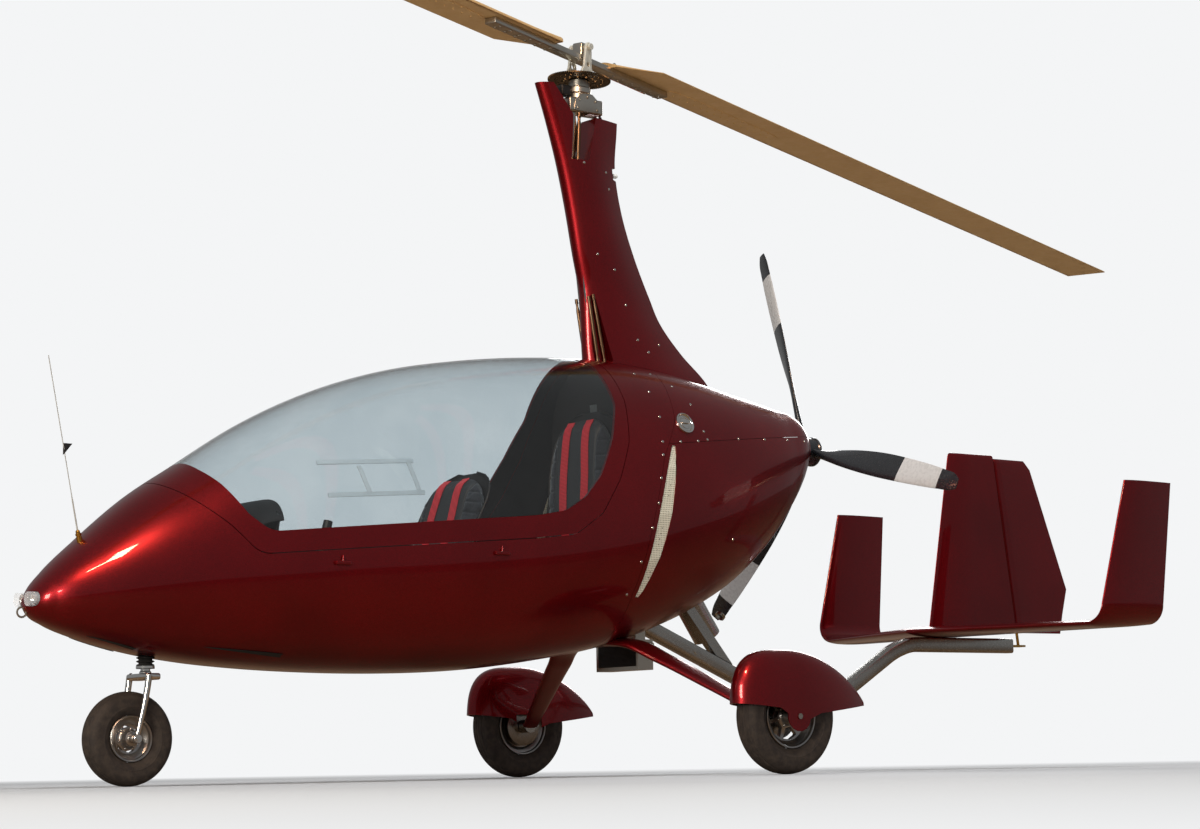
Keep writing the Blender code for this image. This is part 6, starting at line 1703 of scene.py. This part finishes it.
def makeSeat(word):
    seat = seats[word]
    title = word.title()
    half, backThick, padThick = seats["halfWidth"], seats["backThick"], seats["padThick"]
    (x0, z0), (x1, z1) = seat["back"]
    length = math.hypot(x1 - x0, z1 - z0)
    lines = np.arange(-4, 5) * length / 9.5
    back = makeCushion("backCushion" + title, seat["back"][0], seat["back"][1], half, backThick, 0.26, 4.0,
                       cushions["capBack"], lines, half * 0.62)
    pad = makeCushion("seatCushion" + title, seat["pad"][0], seat["pad"][1], half, padThick, 0.05, 4.5,
                      cushions["capSeat"], (-0.10, -0.03, 0.04, 0.11), half * 0.62)
    shell = makeShell("seatShell" + title, seat["shell"], seat["foot"])
    for piece in (back, pad, shell):
        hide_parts("seat_" + word)
    # two shoulder belts down the back and a lap belt on each side, into a buckle
    forward = np.array([z1 - z0, 0.0, x0 - x1]) / length
    down = -forward
    for side in (-1, 1):
        points = []
        for share, y in ((0.97, 0.058), (0.80, 0.060), (0.55, 0.066), (0.30, 0.060), (0.10, 0.036)):
            spot = np.array([x0 + (x1 - x0) * share, side * y, z0 + (z1 - z0) * share]) + forward * 0.12
            points.append([*spot, *down])
        beltRibbon("shoulderBelt" + title + ("Port" if side > 0 else "Starboard"), back, points,
                   seats["webbing"])
        px, pz = seat["pad"][0]
        lap = [[px + 0.005, side * 0.168, pz + 0.12, 0, 0, -1],
               [px + 0.035, side * 0.110, pz + 0.12, 0, 0, -1],
               [px + 0.060, side * 0.036, pz + 0.12, 0, 0, -1]]
        beltRibbon("lapBelt" + title + ("Port" if side > 0 else "Starboard"), pad, lap, seats["webbing"])
    px, pz = seat["pad"][0][0] + 0.066, seat["pad"][0][1] + padThick + 0.014
    buckle = roundedBlock("beltBuckle" + title, (px - 0.026, -0.030, pz - 0.006),
                          (px + 0.026, 0.030, pz + 0.010), 0.005, "airframe")
    dress(buckle, "polished")


def makeWindowRails():
    # two acrylic rails on the port pane, with upright strips between them, carry the sliding vent window
    rails = ((1.327, 1.070, 0.973, 1.089), (1.306, 0.956, 0.943, 0.978), (1.180, 1.064, 1.150, 0.962),
             (0.993, 1.085, 0.962, 0.980))
    pieces = []
    for x0, z0, x1, z1 in rails:
        t = np.linspace(0, 1, 30)
        points, normals = podSpot(x0 + (x1 - x0) * t, z0 + (z1 - z0) * t)
        along = unit(np.gradient(points, axis=0))
        up = np.cross(normals, along)
        outline = roundedBox(0.016, 0.006, 0.0018, 4)
        rise, deep = outline[None, :, 0:1], outline[None, :, 1:2] + 0.0095
        grid = points[:, None] + up[:, None] * rise - normals[:, None] * deep
        pieces.append(gridPiece("rail", grid, None, caps=True))
    whole = joined("ventWindowRails", pieces, "canopy", 40)
    dress(whole, "strip")


for word in ("front", "rear"):
    makeSeat(word)
makeWindowRails()
print("stage: cabin made")


trim = {
    # screws on the pod's skin, x and height, drawn on both sides
    "screws": ((-0.196, 1.490), (-0.106, 1.482), (-0.117, 1.407), (-0.257, 1.441), (-0.119, 1.307),
               (-0.305, 1.371), (-0.325, 1.265), (-0.192, 1.217),
               (-0.283, 1.225), (-0.335, 1.234), (-0.103, 1.211), (-0.094, 1.161), (-0.510, 1.250),
               (-0.672, 1.261), (-0.828, 1.273), (-0.956, 1.279),
               (-0.071, 1.073), (-0.050, 0.980), (-0.017, 0.888), (0.032, 0.764), (0.079, 0.647),
               (-0.457, 0.867)),
    # and on the mast fairing's sides
    "fairingScrews": ((-0.037, 1.946), (-0.115, 1.893), (-0.163, 1.762), (-0.213, 1.632), (-0.264, 1.589),
                      (-0.329, 1.624), (0.020, 2.290), (-0.096, 2.268), (-0.110, 2.205)),
    "screwRadius": 0.0056,
    "filler": (-0.235, 1.290, 0.042),
    # dark wedges of painted inlet shade under the nose: x at both ends, height at both ends, half width
    "inlets": ((2.065, 1.900, 0.487, 0.446, 0.010), (1.700, 1.420, 0.450, 0.424, 0.011)),
}


def fairingSide(x, z):
    # half thickness of the mast fairing at x and height z
    table = fairing["sections"]
    front, rear, half = (curveThrough(table[:, 0], table[:, column], z) for column in (1, 2, 3))
    return half * fairingHalf(np.clip((front - x) / (front - rear), 0, 1))


def makeScrews():
    # dome heads on the skin, and on the fairing square to its side
    spots = np.array(trim["screws"])
    places, normals = [], []
    for side in (-1, 1):
        skin, out = podSpot(spots[:, 0], spots[:, 1], side)
        places.append(skin)
        normals.append(out)
        high = np.array(trim["fairingScrews"])
        places.append(np.stack([high[:, 0], side * fairingSide(high[:, 0], high[:, 1]), high[:, 1]], -1))
        normals.append(np.tile([0.0, side, 0.0], (len(high), 1)))
    screws = domes("panelScrews", np.concatenate(places), np.concatenate(normals), trim["screwRadius"],
                   "airframe", 0.42, 14)
    dress(screws, "polished")


def makeVentRivets():
    # small dark heads along the mesh's middle
    z = np.linspace(vent["bottom"] + 0.03, vent["bottom"] + vent["length"] - 0.03, 26)
    x = cowlFrontX(z) - vent["setback"] - 0.028
    pairs = [podSpot(x, z, side) for side in (-1, 1)]
    rivets = domes("ventRivets", np.concatenate([p[0] - p[1] * 0.004 for p in pairs]),
                   np.concatenate([p[1] for p in pairs]), 0.0026, "airframe", 0.6, 8)
    dress(rivets, "bronzed")


def makeFillerCap():
    # recessed ring, turned cap with a grip bar, seated square to the cowl's skin
    x, z, radius = trim["filler"]
    spot, normal = (value[0] for value in podSpot(np.array([x]), np.array([z])))
    profile = [(0, 0.004), (radius * 0.46, 0.004), (radius * 0.50, 0.0055), (radius * 0.56, 0.0055),
               (radius * 0.60, 0.002), (radius * 0.74, 0.001),
               (radius * 0.78, 0.0045), (radius * 0.88, 0.0072), (radius * 0.97, 0.0055), (radius, 0.0012),
               (radius, -0.016), (0, -0.016)]
    ring = turnedPiece("ring", profile, spot, normal, None, 72)
    first, second, out = axisFrame(normal)
    bar = np.array([(s * radius * 0.40, w, h) for s in (-1, 1) for w in (-0.004, 0.004)
                    for h in (0.003, 0.0095)])
    grip = newPiece("grip", spot + bar @ np.stack([first, second, out]), blockFaces, None)
    facesOut(grip)
    bevelled(grip, 0.0022, 3, 50)
    whole = joined("fillerCapRing", [ring, grip], "airframe", 40)
    dress(whole, "polished")
    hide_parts("filler_cap")


def makeLatches():
    # each latch: a long oval handle in the body's lacquer with an upright lever, and a bright dome screw at
    # both ends
    for word in ("front", "rear"):
        low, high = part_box("canopy_latch_" + word)
        middle = (np.array(low) + np.array(high)) / 2
        spot, normal = (value[0] for value in podSpot(middle[0:1], middle[2:3]))
        along = np.cross(normal, [0, 0, 1.0])
        along /= np.linalg.norm(along)
        up = np.cross(along, normal)
        a = circle(48)
        oval = np.stack([signedPower(np.cos(a), 0.6) * 0.029, np.sin(a) * 0.0065], -1)
        rings = [spot + (oval * size)[:, 0:1] * along + (oval * size)[:, 1:2] * up + normal * height
                 for size, height in ((1.0, 0.0006), (1.0, 0.0045), (0.93, 0.0062), (0.75, 0.0070))]
        handle = gridPiece("handle", np.stack(rings), None, caps=True)
        path = spot + normal * 0.006 + np.outer(np.linspace(-0.002, 0.026, 12), up)
        lever = gridPiece("lever", sweptGrid(path, np.linspace(0.0048, 0.0026, 12), 16), None, caps=True)
        whole = joined("latchHandle" + word.title(), [handle, lever], "airframe", 40)
        dress(whole, "lacquer")
        screws = domes("latchScrews" + word.title(), spot + np.outer([-0.022, 0.022], along) + normal
                       * 0.0060, normal, 0.0066, "airframe", 0.6, 20)
        dress(screws, "polished")


def makeLamps():
    # bright parabolic dish with a bulb behind each clear cover
    for word, side in (("port", 1), ("starboard", -1)):
        low, high = (np.array(value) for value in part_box("headlight_" + word))
        centre = (low + high) / 2
        axis = np.array([1.0, side * 0.059, 0.0])
        r = np.linspace(0.0, 1.0, 14)
        dish = np.stack([r * 0.0185, 0.012 * r**2], -1)
        profile = np.concatenate([dish, [(0.0205, 0.0125), (0.0205, 0.009), (0.018, 0.006)],
                                  np.stack([dish[::-1, 0], dish[::-1, 1] - 0.0012], -1)])
        place = np.array([2.230, centre[1] + side * 0.0015, pod["lampZ"]])
        bowl = turnedPiece("bowl", profile, place, axis, None, 48)
        bulb = turnedPiece("bulb", [(0, 0.0115), (0.0028, 0.010), (0.0040, 0.007), (0.0040, 0.001),
                                    (0, 0.001)], place, axis, None, 24)
        whole = joined("lampDish" + word.title(), [bowl, bulb], "airframe", 40)
        dress(whole, "polished")


def makeInlets():
    # dark wedges under the nose with a rolled lip, sunk into the skin: thin sheets whose black is painted
    # shade standing in for the inside of cooling inlets
    pieces = []
    for x0, x1, z0, z1, wide in trim["inlets"]:
        for side in (-1, 1):
            t = np.linspace(0, 1, 24)
            z = z0 + (z1 - z0) * t
            x = x0 + (x1 - x0) * t
            points, normals = podSpot(x, z, side)
            up = unit(np.cross(normals, np.gradient(points, axis=0)))
            half = wide * t**0.8 + 0.0004
            across = np.linspace(-1, 1, 9)
            sunk = 0.0006 + 0.0006 * across**2
            reach = (half[:, None] * across)[..., None]
            grid = points[:, None] + up[:, None] * reach + normals[:, None] * sunk[None, :, None]
            pieces.append(gridPiece("inlet", grid, None, closedColumns=False))
    for piece in pieces:
        thicken(piece, 0.0012, -1.0, 60)
    whole = joined("noseInletShade", pieces, "airframe", 60)
    dress(whole, "finsAndInletShade")


def makeBellows():
    # bellows with round folds, r = mean + reach cos, and a clamp at either end
    top, low, folds = 0.468, 0.384, 7
    t = np.linspace(0, 1, 120)
    radius = 0.0262 + 0.0042 * np.cos(t * folds * 2 * np.pi)
    profile = np.concatenate([[(0.0168, low), (0.024, low)], np.stack([radius, low + (top - low) * t], -1),
                              [(0.024, top), (0.0168, top)]])
    bellows = turnedPiece("bellows", profile, (steerX, 0, 0), (0, 0, 1), "airframe", 64, closed=True)
    dress(bellows, "bellows")
    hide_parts("nose_gaiter")
    for k, z in enumerate((0.389, 0.463)):
        band = turnedPiece("bellowsClamp" + str(k + 1),
                           [(0.0292, z - 0.004), (0.0310, z - 0.004), (0.0310, z + 0.004),
                            (0.0292, z + 0.004)], (steerX, 0, 0), (0, 0, 1), "airframe", 56, closed=True)
        dress(band, "polished")


makeScrews()
makeVentRivets()
makeFillerCap()
makeLatches()
makeLamps()
makeInlets()
makeBellows()
print("stage: trim made")


fork = {
    "crownLow": (1.800, -0.0735, 0.346), "crownHigh": (1.854, 0.0735, 0.368), "strut": 0.016,
        "strutTop": 0.552,
    "legY": 0.068, "legTop": (1.842, 0.360), "axle": (1.885, 0.155), "leg": 0.0110, "legFoot": 0.0094,
}


def makeFork():
    # turned strut, bevelled crown, two tapering legs bent a little forward, and an eye with a nut at each
    # end of the axle
    low, high = fork["crownLow"], fork["crownHigh"]
    pieces = [roundedBlock("crown", low, high, 0.007)]
    strut = [(0.0, high[2]), (fork["strut"] + 0.004, high[2]), (fork["strut"] + 0.004, high[2] + 0.006),
             (fork["strut"], high[2] + 0.009), (fork["strut"], fork["strutTop"]), (0.0, fork["strutTop"])]
    pieces.append(turnedPiece("strut", strut, (steerX, 0, 0), (0, 0, 1), None, 40))
    (x0, z0), (x1, z1) = fork["legTop"], fork["axle"]
    eye = [(0.0, 0.0378), (0.0125, 0.0378), (0.0150, 0.041), (0.0150, 0.0775), (0.0135, 0.0790),
           (0.0085, 0.0790), (0.0085, 0.0828), (0.0, 0.0828)]
    for side in (-1, 1):
        path = smoothPath([(x0, side * fork["legY"], z0), (x0 + 0.004, side * fork["legY"], z0 - 0.030),
                           (x1, side * fork["legY"], z1)], 24)
        pieces.append(gridPiece("leg", sweptGrid(path, np.linspace(fork["leg"], fork["legFoot"], 24), 20),
                                None, caps=True))
        pieces.append(turnedPiece("eye", np.array(eye) * [1, side], (x1, 0, z1), (0, 1, 0), None, 40))
    crownBolts = np.array([(1.846, y, high[2]) for y in (-0.052, 0.052)])
    pieces.append(domes("crownBolts", crownBolts, (0.0, 0.0, 1.0), 0.006, None, 0.6, 6))
    pieces.append(turnedPiece("axle", [(0.0, -0.040), (0.0078, -0.040), (0.0078, 0.040), (0.0, 0.040)],
                              (x1, 0, z1), (0, 1, 0), None, 32))
    whole = joined("noseFork", pieces, "nose_leg", 40)
    dress(whole, "polished")
    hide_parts("nose_fork")


antenna = {"foot": (2.075, 0.030, 0.7975), "slant": (0.10, 0.02, 0.36), "tip": (2.190, 0.030, 1.3965),
           "flagZ": 1.112, "flag": (0.033, 0.038)}


def makeAntenna():
    # turned brass foot with a six sided nut, a stiff lower rod, the thin whip, and a small dark flag
    foot, tip = np.array(antenna["foot"]), np.array(antenna["tip"])
    slant = np.array(antenna["slant"]) / np.linalg.norm(antenna["slant"])
    turned = [(0, -0.008), (0.0095, -0.008), (0.0095, 0.012), (0.0072, 0.014), (0.0072, 0.030),
              (0.0045, 0.034),
              (0, 0.034)]
    barrel = turnedPiece("barrel", turned, foot, slant, None, 36)
    nut = turnedPiece("nut", [(0, 0.015), (0.0098, 0.015), (0.0098, 0.023), (0, 0.023)], foot, slant, None, 6)
    base = joined("antennaBase", [barrel, nut], "airframe", 30)
    dress(base, "brass")
    start = foot + slant * 0.032
    bend = start + (tip - start) * 0.17
    path = np.concatenate([np.linspace(start, bend, 8), np.linspace(bend, tip, 24)[1:]])
    thick = np.where(np.arange(len(path)) < 8, 0.0027, 0.0016)
    whip = tube("antennaWhip", path, thick, "airframe", 12)
    dress(whip, "whip")
    for piece in (base, whip):
        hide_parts("whip_antenna")
    wide, tall = antenna["flag"]
    high = start + (tip - start) * (antenna["flagZ"] - start[2]) / (tip[2] - start[2])
    t = np.linspace(0, 1, 14)
    wave = 0.0015 * np.sin(t * 6.0)
    top = high + np.stack([-wide * t, wave, 0 * t], -1)
    low = high + np.stack([-wide * t, wave, -tall * (1 - t) - 0.0015], -1)
    flag = gridPiece("antennaFlag", np.stack([top, low]), "airframe", closedColumns=False)
    thicken(flag, 0.0012, 0.0, 60)
    dress(flag, "jacket")


panel = {
    # hood from the windscreen round to its rear lip, x and height; half width at the lip; fall of its sides
    "hood": ((1.572, 0.800), (1.545, 0.872), (1.510, 0.918), (1.460, 0.945), (1.392, 0.960)), "half": 0.225,
         "fall": 0.085,
    "faceTop": (1.424, 0.905), "faceLow": (1.474, 0.600), "faceHalf": 0.205,
    # dials on the face: across and down from its top middle, radius
    "dials": ((-0.115, 0.085, 0.040), (-0.020, 0.085, 0.040), (0.075, 0.080, 0.029), (0.145, 0.080, 0.029),
              (0.075, 0.150, 0.029), (0.145, 0.150, 0.029), (-0.150, 0.160, 0.024), (-0.090, 0.160, 0.024)),
}


def makePanel():
    # padded hood: its line falls off to both sides as |u|^3; below it the raked face with round dials, on a
    # pedestal
    line = smoothPath(panel["hood"], 28)
    u = np.linspace(-1, 1, 41)
    x = np.broadcast_to(line[:, 0:1] + 0.030 * np.abs(u)**3, (28, 41))
    z = line[:, 1:2] - panel["fall"] * np.abs(u)**3
    y = np.broadcast_to(panel["half"] * u, (28, 41))
    hood = gridPiece("hood", np.stack([x, y, z], -1), None, closedColumns=False)
    wall = hood.modifiers.new("wall", "SOLIDIFY")
    wall.thickness, wall.offset = 0.006, -1.0
    soften = hood.modifiers.new("edges", "BEVEL")
    soften.width, soften.segments, soften.limit_method = 0.002, 2, "ANGLE"
    settle(hood, 40)
    top = np.array([panel["faceTop"][0], 0, panel["faceTop"][1]])
    low = np.array([panel["faceLow"][0], 0, panel["faceLow"][1]])
    down = (low - top) / np.linalg.norm(low - top)
    out = np.array([down[2], 0.0, -down[0]])         # towards the pilot
    corners = np.array([(-1, 0.0), (1, 0.0), (1, 0.17), (0.42, 0.215), (0.36, 0.309), (-0.36, 0.309),
                        (-0.42, 0.215), (-1, 0.17)]) * [panel["faceHalf"], 1]
    outline = roundedOutline(corners, 0.018, 6)
    rings = [top + outline[:, 0:1] * [0, 1, 0] + outline[:, 1:2] * down + out * deep
             for deep in (-0.010, 0.002)]
    face = gridPiece("face", np.stack(rings), None, caps=True)
    pedestal = roundedBlock("pedestal", (1.432, -0.072, 0.405), (1.505, 0.072, 0.640), 0.010)
    whole = joined("instrumentHood", [hood, face, pedestal], "airframe", 40)
    dress(whole, "plastic")
    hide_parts("instrument_panel")
    bezels, glasses = [], []
    for across, deep, radius in panel["dials"]:
        spot = top + np.array([0, across, 0]) + down * deep + out * 0.002
        edge = radius * 0.86
        bezel = [(radius, 0.0), (radius, 0.005), (radius * 0.94, 0.0065), (edge, 0.0050), (edge, 0.0)]
        bezels.append(turnedPiece("bezel", bezel, spot, out, None, 40, closed=True))
        glass = [(0.0, 0.0032), (edge, 0.0032), (edge, 0.0), (0.0, 0.0)]
        glasses.append(turnedPiece("glass", glass, spot, out, None, 40))
    dress(joined("dialBezels", bezels, "airframe", 40), "anodised")
    dress(joined("dialFaces", glasses, "airframe", 40), "jacket")


cooler = {"low": (-0.262, -0.205, 0.392), "high": (-0.192, 0.055, 0.505), "border": 0.014, "fins": 18,
          "depth": 0.0022}


def makeCooler():
    # black fins on the front and rear of the milled oil cooler: a zigzag of x against height, and hose stubs
    # at one end
    low, high, edge = np.array(cooler["low"]), np.array(cooler["high"]), cooler["border"]
    count = cooler["fins"] * 2 + 1
    z = np.linspace(low[2] + edge, high[2] - edge, count)
    zigzag = np.where(np.arange(count) % 2, cooler["depth"], 0.0004)
    y = np.array([low[1] + edge, high[1] - edge])
    pieces = []
    for face, side in ((high[0], 1), (low[0], -1)):
        x = face + side * zigzag
        front = spread(x[:, None], y[None, :], z[:, None])
        back = front * [0, 1, 1] + [face - side * 0.004, 0, 0]
        pieces.append(gridPiece("fins", np.concatenate([front, back[:, ::-1]], axis=1), None, caps=True))
    fins = joined("oilCoolerFins", pieces, "airframe", 20)
    dress(fins, "finsAndInletShade")
    stubs = []
    turned = [(0, 0.0), (0.0095, 0.0), (0.0095, 0.010), (0.0075, 0.011), (0.0075, 0.022), (0, 0.022)]
    for x in (-0.244, -0.210):
        stubs.append(turnedPiece("stub", turned, (x, high[1], 0.486), (0, 1, 0), None, 6))
    dress(joined("oilCoolerUnions", stubs, "airframe", 30), "steel")


def makeStrutClamps():
    # hose clamps with a screw block round both ends of the boom's strut
    foot, top = np.array([-0.4620, 0.0, 0.4300]), np.array([-0.6640, 0.0, 0.6310])
    axis = (top - foot) / np.linalg.norm(top - foot)
    for k, share in enumerate((0.14, 0.86)):
        spot = foot + (top - foot) * share
        band = turnedPiece("band", [(0.0178, -0.006), (0.0202, -0.006), (0.0202, 0.006), (0.0178, 0.006)],
                           spot, axis, None, 48, closed=True)
        screw = turnedPiece("screw", [(0, -0.008), (0.0034, -0.008), (0.0034, 0.008), (0, 0.008)],
                            spot + np.array([0.0, 0.0215, 0.0]), (1, 0, 1), None, 12)
        dress(joined("strutClamp" + str(k + 1), [band, screw], "airframe", 40), "steel")


makeFork()
makeAntenna()
makePanel()
makeCooler()
makeStrutClamps()
print("stage: nose leg, antenna, panel and cooler made")


# finishes of the CAD pieces that keep their own shape
keptNodes = {
    "stainless": ("boom_strut", "silencer", "mast_tube", "axle_port", "axle_starboard"),
    "steel": ("canopy_hinge_front", "canopy_hinge_rear", "tow_ring"),
    "alloy": ("engine_block", "gearbox"),
    "plastic": ("control_stick", "nose_leg_socket"),
    "milled": ("oil_cooler",),
    "lining": ("rear_bulkhead",),
    "lacquer": ("canopy_latch_front", "canopy_latch_rear"),
    "brass": ("rudder_bracket",),
    "mesh": ("vent_mesh_port", "vent_mesh_starboard"),
    "lamp": ("headlight_port", "headlight_starboard"),
}


def dressNodes(table):
    for finish, names in table.items():
        for name in names:
            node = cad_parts[name]
            for index in range(len(node.material_slots)):
                node.material_slots[index].material = materials[finish]


dressNodes(keptNodes)
print("stage: carried pieces dressed")


studio = {
    "floorRadius": 60.0,
    "floorFade": (3.5, 9.0),
    "floorColour": "#b4b5b5",
    "earthColour": "#755c42",           # what the lacquer mirrors from below
    "skyColour": "#f4f5f6",
    "skyLight": 0.26,
    "lamps": (
        # name, place, size across and up, watts, colour, seen in gloss, lights matt surfaces
        ("key softbox", (8.6, 4.2, 2.7), (2.2, 2.0), 430.0, "#fff3e2", True, True),
        ("side strip", (-3.0, 9.5, 1.5), (7.0, 1.4), 110.0, "#fbf4ee", False, True),
        ("sun glow", (4.7, 4.3, 5.6), (0.8, 0.8), 300.0, "#ffcaa2", True, False),
        ("front strip", (9.0, -5.0, 2.6), (1.6, 3.0), 170.0, "#ffffff", False, True),
        ("top softbox", (0.5, 2.0, 8.0), (8.0, 5.0), 620.0, "#f8faff", False, True),
        ("rear softbox", (-7.0, -6.0, 4.0), (4.0, 2.5), 260.0, "#ffffff", True, True),
    ),
}


def makeFloor():
    # a round sheet of pale matt floor; far from the object it runs into the backdrop's own colour, for the
    # camera alone
    angle = circle(96)
    ring = np.stack([np.cos(angle), np.sin(angle), np.zeros(96)], -1) * studio["floorRadius"]
    floor = newPiece("floor", ring, [list(range(96))], None, smooth=False)
    material, tree, place = startMaterial("pale matt floor")
    speck = addNode(tree, "TexNoise", {}, {"Vector": place, "Scale": 0.33, "Detail": 3.0})
    shade = blend(tree, speck, studio["floorColour"], "#bcbcbc")
    path = addNode(tree, "LightPath")
    # glossy rays see the floor tan: a painted reflection of earth in the lacquer's underside
    earth = blend(tree, path.outputs["Is Glossy Ray"], shade, studio["earthColour"])
    paint = addNode(tree, "BsdfPrincipled", {},
                    {"Base Color": earth, "Roughness": 0.75, "Specular IOR Level": 0.2})
    far = addNode(tree, "VectorMath", {"operation": "LENGTH"}, {0: place}).outputs["Value"]
    fade = mapped(tree, far, 0.0, 1.0, *studio["floorFade"])
    seen = addNode(tree, "Math", {"operation": "MULTIPLY"}, {0: fade, 1: path.outputs["Is Camera Ray"]})
    glow = addNode(tree, "Emission", {}, {"Color": studio["skyColour"]})
    both = addNode(tree, "MixShader", {}, {0: seen, 1: paint, 2: glow})
    addNode(tree, "OutputMaterial", {}, {"Surface": both})
    floor.data.materials.append(material)


def makeLight():
    world = bpy.data.worlds.new("studio")
    scene.world = world
    world.use_nodes = True
    tree = world.node_tree
    tree.nodes.clear()
    path = addNode(tree, "LightPath")
    seen = addNode(tree, "Math", {"operation": "MAXIMUM"},
                   {0: path.outputs["Is Camera Ray"], 1: path.outputs["Is Transmission Ray"]})
    strength = mapped(tree, seen, studio["skyLight"], 1.0)
    back = addNode(tree, "Background", {}, {"Color": studio["skyColour"], "Strength": strength})
    addNode(tree, "OutputWorld", {}, {"Surface": back})
    for name, place, size, watts, colour, inGloss, onMatt in studio["lamps"]:
        data = bpy.data.lights.new(name, "AREA")
        data.shape = "RECTANGLE"
        data.size, data.size_y = size
        data.energy = watts
        data.color = hexColour(colour)[:3]
        lamp = bpy.data.objects.new(name, data)
        lamp.visible_glossy = inGloss       # the top light would lay a white sheet over the canopy
        lamp.visible_diffuse = onMatt       # the sun's glow would leave a hot pool on the floor
        look = (Vector((0, 0, 0.9)) - Vector(place)).to_track_quat("-Z", "Y").to_matrix().to_4x4()
        lamp.matrix_world = Matrix.Translation(place) @ look
        scene.collection.objects.link(lamp)


makeFloor()
makeLight()
print("stage: floor and light made")
